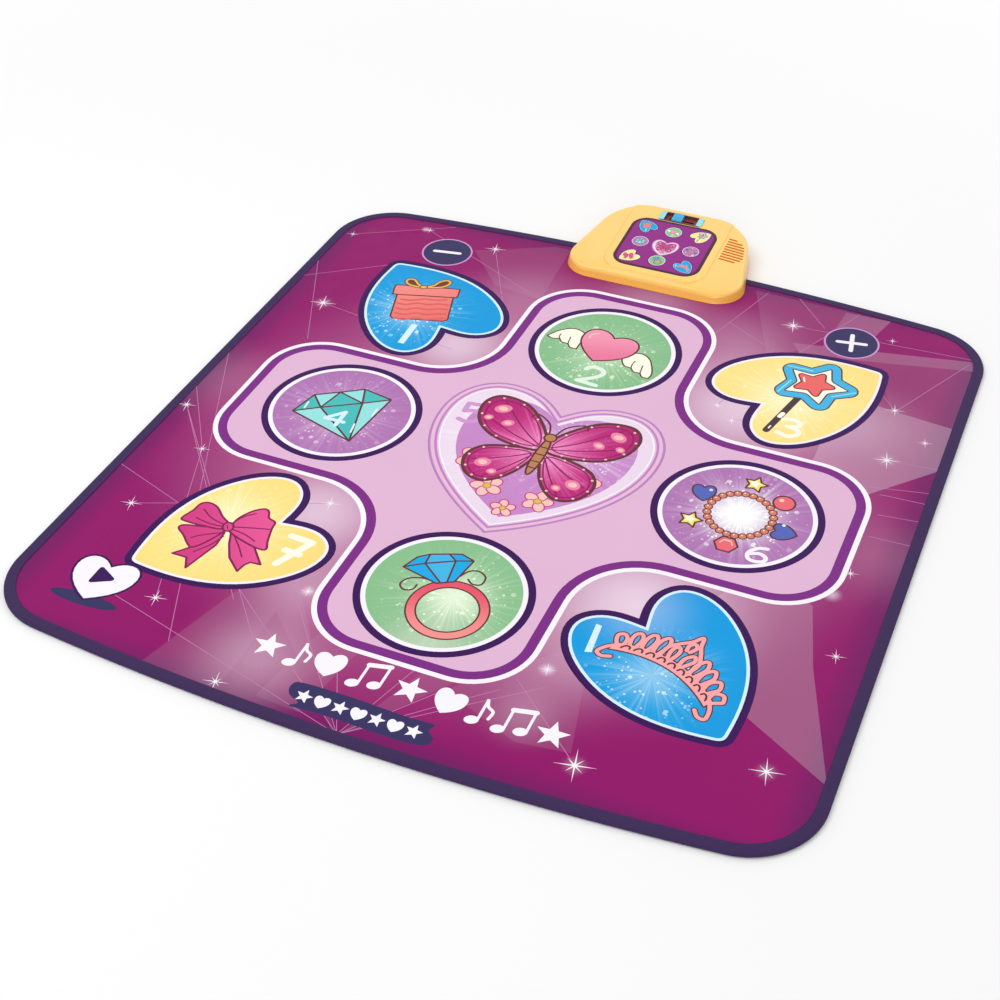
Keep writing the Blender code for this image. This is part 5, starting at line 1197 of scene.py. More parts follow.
def draw_start(pen):
    outline = small_heart(START_TIP, *START_HEART)
    pen.fill(outline, "outline_ink")
    pen.fill(grown(outline, -2.4), "white_ink")
    x, y = START_TIP[0], START_TIP[1] + START_HEART[1] * 0.58
    play = rounded([(x - 11, y - 15), (x + 17, y), (x - 11, y + 15)], (3, 3, 3), (5, 5, 5))
    pen.fill(play, "outline_ink")


def draw_volume(pen, side):
    centre = (side * VOLUME_PLACE[0], VOLUME_PLACE[1])
    pen.fill(circle(centre, VOLUME_RADIUS), "ring_ink")
    pen.fill(circle(centre, VOLUME_RADIUS - 2.4), "navy_ink")
    lean = math.radians(10)
    for turn in ((0, math.pi / 2) if side > 0 else (0,)):
        aim = Vector((math.cos(lean + turn), math.sin(lean + turn))) * 17.5
        pen.line([Vector(centre) - aim, Vector(centre) + aim], 5.8, "white_ink")


# Printed sheets as flat meshes cut along every drawn edge

WAVE_HEIGHT, WAVE_FADE = 0.4, 60
HELD_X, HELD_Y, HELD_BY_BOX = 24, 32, 6


def lie(x, y):
    """How the cover rises and dips a little where the mat rests, and is held level at its edges."""
    edge = min(MAT_HALF_X - HELD_X - abs(x), MAT_HALF_Y - HELD_Y - abs(y),
               max(BOX_FRONT_Y - HELD_BY_BOX - y, abs(x) - BOX_FRONT_HALF - HELD_BY_BOX))
    fade = min(max(edge / WAVE_FADE, 0.0), 1.0)
    wave = math.sin(x / 53 + 0.6 * math.sin(y / 71)) * math.cos(y / 61 + 0.4 * math.sin(x / 83))
    return WAVE_HEIGHT * wave * fade


def anticlockwise(points):
    return points if area_of(points) > 0 else points[::-1]


def printed_mesh(name, layers, windows, low, top, grid=16, rise=lie):
    """A closed sheet whose upper face is cut along every shape's edge, the last shape on top.

    The first layer is the sheet's own outline. Windows go right through it."""
    points, shapes = [], []
    for outline in [shape for shape, _ in layers] + list(windows):
        outline = anticlockwise(without_repeats(outline))
        shapes.append(list(range(len(points), len(points) + len(outline))))
        points.extend(outline)
    base = layers[0][0]
    low_x, high_x = min(x for x, _ in base), max(x for x, _ in base)
    low_y, high_y = min(y for _, y in base), max(y for _, y in base)
    if grid:
        for column in range(1, int((high_x - low_x) / grid)):
            for row in range(1, int((high_y - low_y) / grid)):
                points.append(Vector((low_x + column * grid, low_y + row * grid)))
    found, triangles, origins = cut_plane(name, points, shapes)
    names = list(dict.fromkeys(layer[1] for layer in layers))
    kept, wear = [], []
    for triangle, origin in zip(triangles, origins):
        if 0 not in origin or max(origin) >= len(layers):
            continue
        kept.append(tuple(triangle))
        wear.append(names.index(layers[max(origin)][1]))
    edges = {}
    for index, triangle in enumerate(kept):
        for step in range(3):
            edges[triangle[step], triangle[(step + 1) % 3]] = index
    count = len(found)
    places = [(x * MM, y * MM, (top + rise(x, y)) * MM) for x, y in found]
    places += [(x * MM, y * MM, low * MM) for x, y in found]
    faces = list(kept) + [tuple(index + count for index in reversed(triangle)) for triangle in kept]
    skins = wear + [0] * len(kept)
    for (start, end), index in edges.items():
        if (end, start) not in edges:
            faces.append((start, start + count, end + count, end))
            skins.append(wear[index])
    mesh = bpy.data.meshes.new(name)
    mesh.from_pydata(places, [], faces)
    mesh.polygons.foreach_set("material_index", skins)
    for label in names:
        mesh.materials.append(ink(label))
    with reshaped(mesh) as shape:
        loose = [vert for vert in shape.verts if not vert.link_faces]
        bmesh.ops.delete(shape, geom=loose, context="VERTS")
    smoothed(mesh)
    mesh.update()
    return mesh


def area_of(points):
    return sum(a[0] * b[1] - b[0] * a[1] for a, b in zip(points, points[1:] + points[:1])) / 2


def cut_plane(name, points, shapes):
    """Triangles cut along every shape, each with the shapes that cover it.

    Where rounding leaves a shape open at its first side, the triangles it claims add up to more
    than its area. It starts at its next corner then, and the plane is cut again."""
    own = [area_of([points[corner] for corner in shape]) for shape in shapes]
    for _ in range(CUT_ATTEMPTS):
        found, _, triangles, _, _, origins = delaunay_2d_cdt(points, [], shapes, 1, MERGE_DISTANCE)
        covered = [0.0] * len(shapes)
        for triangle, origin in zip(triangles, origins):
            area = area_of([found[index] for index in triangle])
            for shape in origin:
                covered[shape] += area
        leaks = [index for index, area in enumerate(own) if covered[index] > LEAK_SHARE * area + 1]
        if not leaks:
            return found, triangles, origins
        for index in leaks:
            shapes[index] = shapes[index][1:] + shapes[index][:1]
    raise RuntimeError(f"{name}: {len(leaks)} shapes stay open")


@contextmanager
def reshaped(mesh):
    """A mesh as a shape that can be edited, written back at the end."""
    shape = bmesh.new()
    shape.from_mesh(mesh)
    yield shape
    shape.to_mesh(mesh)
    shape.free()


def smoothed(mesh, angle=35):
    """Smooth shading with sharp edges kept."""
    mesh.shade_smooth()
    mesh.set_sharp_from_angle(angle=math.radians(angle))


def add_piece(name, mesh, body, replaced=()):
    piece = bpy.data.objects.new(name, mesh)
    bpy.context.scene.collection.objects.link(piece)
    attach(piece, body)
    if replaced:
        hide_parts(*replaced)
    return piece


def level(x, y):
    return 0.0


# Mesh tools for moulded and sewn pieces

def add_wall(shape, first, second):
    """Faces between two rings of equal count."""
    for index in range(len(first)):
        after = (index + 1) % len(first)
        shape.faces.new((first[index], first[after], second[after], second[index]))


def loft(name, rings, closed=False):
    """Walls between rings of equal count, capped unless the rings close on themselves."""
    mesh = bpy.data.meshes.new(name)
    with reshaped(mesh) as shape:
        rows = [[shape.verts.new(Vector(point) * MM) for point in ring] for ring in rings]
        for first, second in zip(rows, rows[1:] + rows[:1] if closed else rows[1:]):
            add_wall(shape, first, second)
        if not closed:
            shape.faces.new(rows[0])
            shape.faces.new(rows[-1])
        bmesh.ops.recalc_face_normals(shape, faces=shape.faces)
    return mesh


def at_height(outline, height):
    return [(x, y, height) for x, y in outline]


def temporary(name, mesh):
    piece = bpy.data.objects.new(name, mesh)
    bpy.context.scene.collection.objects.link(piece)
    return piece


def settled(piece):
    """The mesh of a piece with its modifiers applied. The piece itself goes."""
    bpy.context.view_layer.update()
    graph = bpy.context.evaluated_depsgraph_get()
    mesh = bpy.data.meshes.new_from_object(piece.evaluated_get(graph))
    mesh.transform(piece.matrix_world)
    bpy.data.objects.remove(piece, do_unlink=True)
    return mesh


def carved(piece, tool):
    """Cuts one mesh object by another at once. The cutter goes."""
    cut = piece.modifiers.new("cut", "BOOLEAN")
    cut.operation = "DIFFERENCE"
    cut.solver = "EXACT"
    cut.object = tool
    name = piece.name
    mesh = settled(piece)
    bpy.data.objects.remove(tool, do_unlink=True)
    return temporary(name, mesh)


def add_loop(curve, loop, height=0.0):
    spline = curve.splines.new("POLY")
    spline.points.add(len(loop) - 1)
    for point, (x, y) in zip(spline.points, loop):
        point.co = (x * MM, y * MM, height * MM, 1.0)
    spline.use_cyclic_u = True


def merge_doubles(shape):
    bmesh.ops.remove_doubles(shape, verts=shape.verts, dist=0.001 * MM)


def bevelled_plate(name, loops, low, top, edge, steps=2):
    """A plate with windows and rounded edges: a filled flat curve with thickness and bevel."""
    curve = bpy.data.curves.new(name, "CURVE")
    curve.dimensions = "2D"
    curve.fill_mode = "BOTH"
    curve.extrude = ((top - low) / 2 - edge) * MM
    curve.bevel_depth = edge * MM
    curve.bevel_resolution = steps
    curve.offset = -edge * MM
    for loop in loops:
        add_loop(curve, loop)
    holder = temporary(name, curve)
    holder.location.z = (top + low) / 2 * MM
    mesh = settled(holder)
    with reshaped(mesh) as shape:
        merge_doubles(shape)
        bmesh.ops.recalc_face_normals(shape, faces=shape.faces)
    mesh.name = name
    return mesh


def even_shading(mesh, angle=35):
    """Smooth shading weighted by face area, kept in the mesh."""
    smoothed(mesh, angle)
    piece = temporary(mesh.name, mesh)
    piece.modifiers.new("even", "WEIGHTED_NORMAL").keep_sharp = True
    return settled(piece)


def wear(mesh, *finishes):
    mesh.materials.clear()
    for finish in finishes:
        mesh.materials.append(finish)
    return mesh


def cad_copy(node, bevel=0.0, segments=2):
    """A merged copy of a CAD node's mesh with its edges broken by a small bevel."""
    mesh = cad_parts[node].data.copy()
    with reshaped(mesh) as shape:
        merge_doubles(shape)
        bmesh.ops.dissolve_limit(shape, angle_limit=math.radians(0.5), verts=shape.verts,
                                 edges=shape.edges)
    mesh.materials.clear()
    if bevel:
        piece = temporary(node + "_copy", mesh)
        edge = piece.modifiers.new("edge", "BEVEL")
        edge.width = bevel * MM
        edge.segments = segments
        edge.limit_method = "ANGLE"
        edge.angle_limit = math.radians(40)
        mesh = settled(piece)
    return even_shading(mesh, 40)


def dress(rows):
    """Covers CAD nodes with finished copies: node, piece, body, finish, slot and bevel. The slot is
    not used.
    """
    for node, name, body, finish, slot, *bevel in rows:
        add_piece(name, wear(cad_copy(node, *bevel), finish), body, [node])


FINISHES = {}


def made_once(make):
    """Keeps each finish by its name, so that it is made once."""
    def finish(name, *values, **options):
        if name not in FINISHES:
            FINISHES[name] = make(name, *values, **options)
        return FINISHES[name]
    return finish


@made_once
def plastic(name, colour, gloss=0.35, grain=1600.0, depth=0.02, coat=0.0, painted_shade_tone=None):
    """Moulded plastic. A painted shade tone, where one is given, lies low down and along the step
    at the field's edge.
    """
    finish, tree, shader = new_material(name, coat=coat)
    colour = tuple(colour)
    if painted_shade_tone:
        # Painted shade: an orange tone towards the bottom of the walls, and a darker line along the
        # step round the raised field.
        painted_low_shade = between(tree, parts_of(tree, place_of(tree))["Z"], 0.004, 0.026, 0.85, 0.0)
        colour = mix_colours(tree, painted_low_shade, colour, painted_shade_tone)
        colour = mix_colours(tree, times(tree, painted_crease_shade(tree), 0.6), colour, painted_shade_tone)
    skin = use_group(tree, "moulded_skin", {"Colour": colour, "Gloss": gloss, "Grain": grain})
    feed(tree, shader, {"Base Color": skin["Colour"], "Roughness": skin["Roughness"],
                        "Specular IOR Level": 0.4,
                        "Normal": bump(tree, skin["Height"], depth, 0.4)})
    return finish


def painted_crease_shade(tree):
    """A mask of painted shade along the soft step round the raised field of the box's top."""
    parts = parts_of(tree, place_of(tree))
    across = minus(tree, maths(tree, "ABSOLUTE", parts["X"]), (CREASE_X - PLATEAU_RADIUS) * MM)
    ahead = minus(tree, (PLATEAU_FRONT_Y + PLATEAU_RADIUS) * MM, parts["Y"])
    squares = [maths(tree, "POWER", maths(tree, "MAXIMUM", way, 0.0), 2.0)
               for way in (across, ahead)]
    reach = maths(tree, "SQRT", plus(tree, *squares))
    off = maths(tree, "ABSOLUTE", minus(tree, reach, (PLATEAU_RADIUS + PLATEAU_STEP_RUN / 2) * MM))
    return between(tree, off, 1.7 * MM, 0.5 * MM)


@made_once
def metal(name, colour):
    finish, tree, shader = new_material(name, metallic=1.0)
    skin = use_group(tree, "drawn_metal", {"Colour": tuple(colour)})
    feed(tree, shader, {"Base Color": skin["Colour"], "Roughness": skin["Roughness"],
                        "Normal": bump(tree, skin["Height"], 0.01, 0.3)})
    return finish


@made_once
def cloth(name, colour, threads, rough=0.85):
    finish, tree, shader = new_material(name, roughness=rough)
    weave = use_group(tree, "woven_cloth", {"Colour": tuple(colour), "Threads": threads})
    feed(tree, shader, {"Base Color": weave["Colour"],
                        "Normal": bump(tree, weave["Height"], 0.08, 0.7)})
    return finish


@made_once
def foam(name, colour):
    finish, tree, shader = new_material(name, roughness=0.95)
    cells = put(tree, "ShaderNodeTexVoronoi",
                {"Vector": place_of(tree), "Scale": 1100.0}).outputs["Distance"]
    # Painted shade: greyer in the pits of the cells, where the bump dips.
    shade = mix_colours(tree, between(tree, cells, 0.0, 0.6), srgb(190, 188, 182), tuple(colour))
    feed(tree, shader, {"Base Color": shade, "Normal": bump(tree, cells, 0.15)})
    return finish


# Geometry Nodes for what repeats

def node_tree(name, inputs):
    """An empty Geometry Nodes tree with a geometry input and output and named inputs."""
    return new_group("GeometryNodeTree", name, [("Geometry", "shape", None), *inputs],
                     [("Geometry", "shape")])


def placed(tree, given, out, points, piece, **inputs):
    """A copy of a piece on every point, realized and with its material, as the tree's output."""
    copies = put(tree, "GeometryNodeInstanceOnPoints",
                 {"Points": points, "Instance": piece, **inputs})
    real = put(tree, "GeometryNodeRealizeInstances", {"Geometry": copies.outputs[0]})
    worn = put(tree, "GeometryNodeSetMaterial", {"Geometry": real.outputs[0],
                                                 "Material": given["Material"]})
    feed(tree, out, {"Geometry": worn.outputs[0]})


def grown_mesh(source, tree, values):
    """Runs a tree on an object's geometry and returns the plain mesh. The source object goes."""
    modifier = source.modifiers.new("repeat", "NODES")
    modifier.node_group = tree
    for item in tree.interface.items_tree:
        if item.in_out == "INPUT" and item.name in values:
            modifier[item.identifier] = values[item.name]
    return settled(source)


def aimed(tree, vector):
    return put(tree, "FunctionNodeAlignRotationToVector", {"Vector": vector}, axis="Z").outputs[0]


def bead(tree, segments, rings, radius, half_length):
    """A ball and the scale that makes it a slim or a low one."""
    ball = put(tree, "GeometryNodeMeshUVSphere",
               {"Segments": segments, "Rings": rings, "Radius": 1.0})
    size = put(tree, "ShaderNodeCombineXYZ", {0: radius, 1: radius, 2: half_length})
    return ball.outputs[0], size.outputs[0]


def make_stitch_tree():
    """Thread stitches, one every pitch along a curve, each a slim rounded bead."""
    tree, given, out = node_tree("stitch_row", [
        ("Pitch", "value", 0.0046), ("Length", "value", 0.0032), ("Radius", "value", 0.0003),
        ("Material", "finish", None)])
    row = put(tree, "GeometryNodeResampleCurve",
              {"Curve": given["Geometry"], "Length": given["Pitch"]},
              mode="LENGTH").outputs[0]
    stitch, size = bead(tree, 8, 5, given["Radius"], times(tree, given["Length"], 0.5))
    along = aimed(tree, put(tree, "GeometryNodeInputTangent").outputs[0])
    placed(tree, given, out, row, stitch, Rotation=along, Scale=size)
    return tree


def make_stud_tree():
    """Low round grip studs, one on every point."""
    tree, given, out = node_tree("grip_studs", [
        ("Radius", "value", 0.0023), ("Height", "value", 0.0004), ("Material", "finish", None)])
    stud, size = bead(tree, 10, 4, given["Radius"], given["Height"])
    placed(tree, given, out, given["Geometry"], stud, Scale=size)
    return tree


def make_screw_tree():
    """One screw on every point, its head along the point's own axis."""
    tree, given, out = node_tree("screw_set",
                                 [("Screw", "object", None), ("Material", "finish", None)])
    screw = put(tree, "GeometryNodeObjectInfo", {"Object": given["Screw"]}).outputs["Geometry"]
    axis = put(tree, "GeometryNodeInputNamedAttribute", {"Name": "axis"}, data_type="FLOAT_VECTOR")
    placed(tree, given, out, given["Geometry"], screw, Rotation=aimed(tree, axis.outputs[0]))
    return tree


def point_cloud(name, points, axes=None):
    """A mesh of bare points, in millimetres, each with an axis where one is given."""
    mesh = bpy.data.meshes.new(name)
    mesh.from_pydata([Vector(point) * MM for point in points], [], [])
    if axes:
        attribute = mesh.attributes.new("axis", "FLOAT_VECTOR", "POINT")
        for value, axis in zip(attribute.data, axes):
            value.vector = axis
    return temporary(name, mesh)


# Operators

class DANCEMAT_OT_stage(Operator):
    """Sets the camera, the lights and the pale floor"""
    bl_idname = "dance_mat.stage"
    bl_label = "Stage"

    def execute(self, context):
        scene = context.scene
        settings = look("stage")
        scene.view_settings.view_transform = "Standard"
        data = bpy.data.cameras.new("camera")
        data.lens = settings.lens
        data.sensor_width = 36
        data.clip_end = 50
        camera = bpy.data.objects.new("camera", data)
        scene.collection.objects.link(camera)
        turn, rise = settings.azimuth, settings.elevation
        flat = math.cos(rise)
        back = Vector((math.sin(turn) * flat, -math.cos(turn) * flat, math.sin(rise)))
        upright = back.to_track_quat("Z", "Y").to_matrix().to_4x4()
        aim = Matrix.Rotation(settings.roll, 4, back) @ upright
        camera.matrix_world = Matrix.Translation(Vector(LOOK_AT) + back * settings.distance) @ aim
        scene.camera = camera
        self.add_floor(settings)
        self.add_lights(scene)
        make_groups()
        return {"FINISHED"}

    def add_floor(self, settings):
        mesh = bpy.data.meshes.new("floor")
        with reshaped(mesh) as shape:
            bmesh.ops.create_grid(shape, x_segments=1, y_segments=1, size=FLOOR_HALF)
        floor = temporary("floor", mesh)
        finish, tree, shader = new_material("floor_paper", roughness=0.9)
        feed(tree, shader, {"Base Color": tuple(settings.floor), "Specular IOR Level": 0.1})
        far = vectors(tree, "LENGTH", place_of(tree), output="Value")
        white = put(tree, "ShaderNodeEmission", {"Color": WHITE, "Strength": 1.0})
        share = times(tree, seen_directly(tree), between(tree, far, *FLOOR_FADE))
        mixed_shader(tree, share, shader, white, tree.nodes["Material Output"])
        mesh.materials.append(finish)

    def add_lights(self, scene):
        world = bpy.data.worlds.new("studio")
        scene.world = world
        world.use_nodes = True
        tree = world.node_tree
        lit = feed(tree, tree.nodes["Background"], {"Color": WHITE, "Strength": WORLD_LIGHT})
        white = put(tree, "ShaderNodeBackground", {"Color": WHITE, "Strength": 1.0})
        mixed_shader(tree, seen_directly(tree), lit, white, tree.nodes["World Output"])
        for name, place, size, power in LAMPS:
            data = bpy.data.lights.new(name, "AREA")
            data.shape = "DISK"
            data.size = size
            data.energy = power
            lamp = bpy.data.objects.new(name, data)
            lamp.location = place
            lamp.rotation_euler = (-Vector(place)).to_track_quat("-Z", "Y").to_euler()
            scene.collection.objects.link(lamp)


def seen_directly(tree):
    """A mask of the camera's own rays and of those that a mirror or glass sends on."""
    path = put(tree, "ShaderNodeLightPath").outputs
    seen = maths(tree, "MAXIMUM", path["Is Camera Ray"], path["Is Glossy Ray"])
    return maths(tree, "MAXIMUM", seen, path["Is Transmission Ray"])


def mixed_shader(tree, share, first, second, output):
    mixed = put(tree, "ShaderNodeMixShader", {0: share, 1: first.outputs[0], 2: second.outputs[0]})
    tree.links.new(mixed.outputs[0], output.inputs["Surface"])


# The floor turns white from one distance to the next, as a paper sweep does
WHITE = (1, 1, 1, 1)
FLOOR_HALF = 8
FLOOR_FADE = (0.75, 1.9)
LOOK_AT = (-0.0059, -0.0802, 0.0046)
WORLD_LIGHT = 0.70
LAMPS = (("key_lamp", (-1.6, -0.6, 2.8), 2.2, 31.0), ("rear_lamp", (0.9, 2.2, 2.0), 1.6, 12.0),
         ("front_lamp", (1.6, -5.0, 2.0), 3.0, 64.0))


class DANCEMAT_OT_cover_print(Operator):
    """Prints the mat's cover: ground, island, sparkles and ornaments, round the zones"""
    bl_idname = "dance_mat.cover_print"
    bl_label = "Cover Print"

    def execute(self, context):
        settings = look("print")
        layers = [(mat_outline(LAYER_INSET), "ground")]
        pen = Pen(layers)
        for outline, name in SHARDS:
            pen.fill(outline, name)
        for path in RAY_LINES:
            pen.line(path, 0.7, "line_ink")
        line, band = settings.island_line / MM, settings.island_band / MM
        pen.fill(island_outline(), "white_ink")
        pen.fill(island_outline(line), "band_ink")
        pen.fill(island_outline(line + band), "island_ink")
        for side, end in ((-1, 1), (1, 1), (-1, -1), (1, -1)):
            pen.fill(printed_heart(side, end), "outline_ink")
        for x, y, size in SPARKLES:
            draw_sparkle(pen, x, y, size * 1.15)
        pen.fill(ellipse((START_TIP[0], START_TIP[1] + 2), 41, 9), "navy_ink")
        draw_title_ornament(pen)
        windows = [grown(outline, TOUCH_GAP) for outline in all_zone_outlines()]
        mesh = printed_mesh("cover_print", layers, windows, COVER_LOW, COVER_TOP)
        piece = add_piece("cover_print", mesh, "root", ["printed_cover"])
        return {"FINISHED"}


def all_zone_outlines():
    outlines = [zone_outline(number) for number in PICTURES]
    outlines.append(small_heart(START_TIP, *START_HEART))
    return outlines + [circle((side * VOLUME_PLACE[0], VOLUME_PLACE[1]), VOLUME_RADIUS)
                       for side in (-1, 1)]


SHORT_RAY, RAY_ROOT, SPARKLE_CORE = 0.55, 0.045, 0.11


def draw_sparkle(pen, x, y, size):
    """Eight thin rays, four long and four short, about a bright point."""
    for index in range(8):
        reach = size if index % 2 == 0 else size * SHORT_RAY
        angle = math.radians(45 * index + 12)
        tip = around((x, y), reach, angle)
        side = Vector((-math.sin(angle), math.cos(angle))) * size * RAY_ROOT
        pen.fill([(x - side.x, y - side.y), tip, (x + side.x, y + side.y)], "white_ink")
    pen.disc((x, y), size * SPARKLE_CORE, "white_ink", 12)


def draw_note(pen, x, y, pair=False):
    """A plain musical note, or two under a beam."""
    heads = ((x - 14, y - 14), (x + 8, y - 9)) if pair else ((x - 4, y - 13),)
    for head_x, head_y in heads:
        pen.fill(ellipse((head_x, head_y), 7.4, 5.4, 28, 0.35), "white_ink")
        pen.line([(head_x + 5.6, head_y + 1), (head_x + 5.6, head_y + 30)], 3.0, "white_ink")
    if pair:
        pen.line([(x - 8.4, y + 15), (x + 13.6, y + 20)], 6.0, "white_ink")
    else:
        pen.curve([(x + 1.6, y + 17), (x + 5, y + 9), (x + 12, y + 4), (x + 11, y - 6)], 3.4,
                  "white_ink")


def draw_title_ornament(pen):
    """A row of notes, stars and hearts over a dark band with a smaller row."""
    y = -385
    for x in (-98, 104):
        draw_note(pen, x, y)
    for x in (-16, 142):
        draw_note(pen, x, y, pair=True)
    for x, turn in ((-132, 96), (28, 84), (180, 94)):
        pen.fill(star((x, y), 18, 7.6, 5, turn), "white_ink")
    for x, turn in ((-60, 8), (68, -8)):
        pen.fill(small_heart((x, y - 17), 34, 33, math.radians(turn)), "white_ink")
    band = smooth([(-84, -425), (-74, -418), (-20, -417), (40, -419), (70, -418), (68, -427),
                   (77, -436), (70, -447), (40, -450), (-30, -449), (-72, -451), (-66, -444),
                   (-80, -437)], 4, closed=True)
    pen.fill(band, "navy_ink")
    for index in range(7):
        x = -5 + (index - 3) * 20
        if index % 2:
            pen.fill(small_heart((x, -443), 17, 16), "white_ink")
        else:
            pen.fill(star((x, -434), 9.5, 4.2, 5, 84), "white_ink")


# Sparkles on the ground: place and size
SPARKLES = (
    (204, 390, 15), (166, 187, 8), (191, 164, 8), (379, 161, 15), (366, 260, 11), (-156, -451, 13),
    (-365, -130, 10), (-180, -160, 12), (-134, -298, 8), (-381, 202, 17), (-225, 414, 14),
    (-425, 374, 8), (-428, -62, 12), (-387, -247, 12), (-277, -370, 12), (214, -413, 19),
    (383, -350, 16), (405, -175, 10), (388, -47, 9), (413, 210, 9), (-330, 425, 8), (143, -306, 9),
    (-62, -398, 7), (330, 405, 7),
)

# Shards of light on the ground
SHARDS = (
    (((-250, 400), (-190, 330), (-120, 320), (-128, 452), (-150, 452)), "ground_faint"),
    (((-150, -462), (-240, -456), (-205, -330), (-150, -262)), "ground_faint"),
    (((-110, -452), (-60, -455), (-40, -340), (-90, -330)), "ground_faint"),
    (((60, -372), (170, -250), (205, -400), (150, -408)), "ground_faint"),
    (((136, 452), (196, 300), (300, 448)), "ground_faint"),
    (((240, 340), (432, 384), (446, 330), (446, 250), (363, 258), (347, 292), (300, 300)),
     "ground_faint"),
    (((214, 352), (436, 398), (440, 378), (230, 330)), "ground_pale"),
    (((260, 446), (318, 448), (300, 380), (250, 350)), "ground_pale"),
    (((300, 268), (363, 258), (446, 249), (446, 172), (373, 90), (300, 120)), "ground_light"),
    (((330, -90), (364, -112), (388, -200), (440, -345), (345, -290), (240, -200), (280, -110)),
     "ground_pale"),
    (((-12, -470), (-190, -300), (-150, -290)), "ground_faint"),
    (((-12, -470), (40, -330), (78, -340)), "ground_faint"),
)

# Thin lines that cross the ground
RAY_LINES = (
    *(((-12, -466), end) for end in ((-150, -300), (-210, -318), (60, -372), (-60, -372),
                                     (150, -330), (-330, -380), (20, -360), (110, -350))),
    ((-428, -62), (-200, -340)), ((-428, -62), (-120, -420)), ((-440, 60), (-230, -420)),
    ((-387, -247), (-180, -160)),
    ((-440, -20), (-365, -130)), ((-365, -130), (-277, -370)), ((-440, -190), (-134, -298)),
    ((153, 453), (115, 327)), ((277, 448), (227, 333)), ((195, 455), (243, 400)),
    ((430, 390), (367, 258)), ((127, 365), (183, 333)), ((347, 283), (367, 258)),
    ((204, 390), (440, 402)), ((166, 187), (196, 330)), ((379, 161), (440, 166)),
    ((191, 164), (366, 260)), ((373, 105), (440, 120)), ((386, 96), (440, 99)),
    ((392, 60), (440, 66)), ((392, 20), (440, 22)), ((-225, 414), (-140, 250)),
    ((-381, 202), (-180, 170)), ((-425, 374), (-300, 446)), ((-440, 300), (-360, 120)),
    ((120, -330), (214, -413)), ((-440, 250), (-330, 330)), ((-330, 425), (-140, 330)),
)


class DANCEMAT_OT_zone_prints(Operator):
    """Prints the nine numbered zones, each on its own moving pad"""
    bl_idname = "dance_mat.zone_prints"
    bl_label = "Zone Prints"

    def execute(self, context):
        for number, draw in PICTURES.items():
            print_pad(f"zone_{number}", draw, f"zone_{number}", f"step_pad_{number}",
                      16)
        return {"FINISHED"}


def print_pad(name, draw, body, node, grid):
    """A zone's print, on the body of its own pad."""
    layers = []
    draw(Pen(layers))
    mesh = printed_mesh(name + "_print", layers, [], PAD_LOW, COVER_TOP, grid)
    piece = add_piece(name + "_print", mesh, body, [node])


class DANCEMAT_OT_small_zones(Operator):
    """Prints the start heart and the two volume rounds"""
    bl_idname = "dance_mat.small_zones"
    bl_label = "Small Zones"

    def execute(self, context):
        print_pad("start", draw_start, "start_zone", "start_pad", 8)
        for name, side in (("volume_down", -1), ("volume_up", 1)):
            print_pad(name, lambda pen: draw_volume(pen, side), name + "_zone", name + "_pad",
                      8)
        return {"FINISHED"}


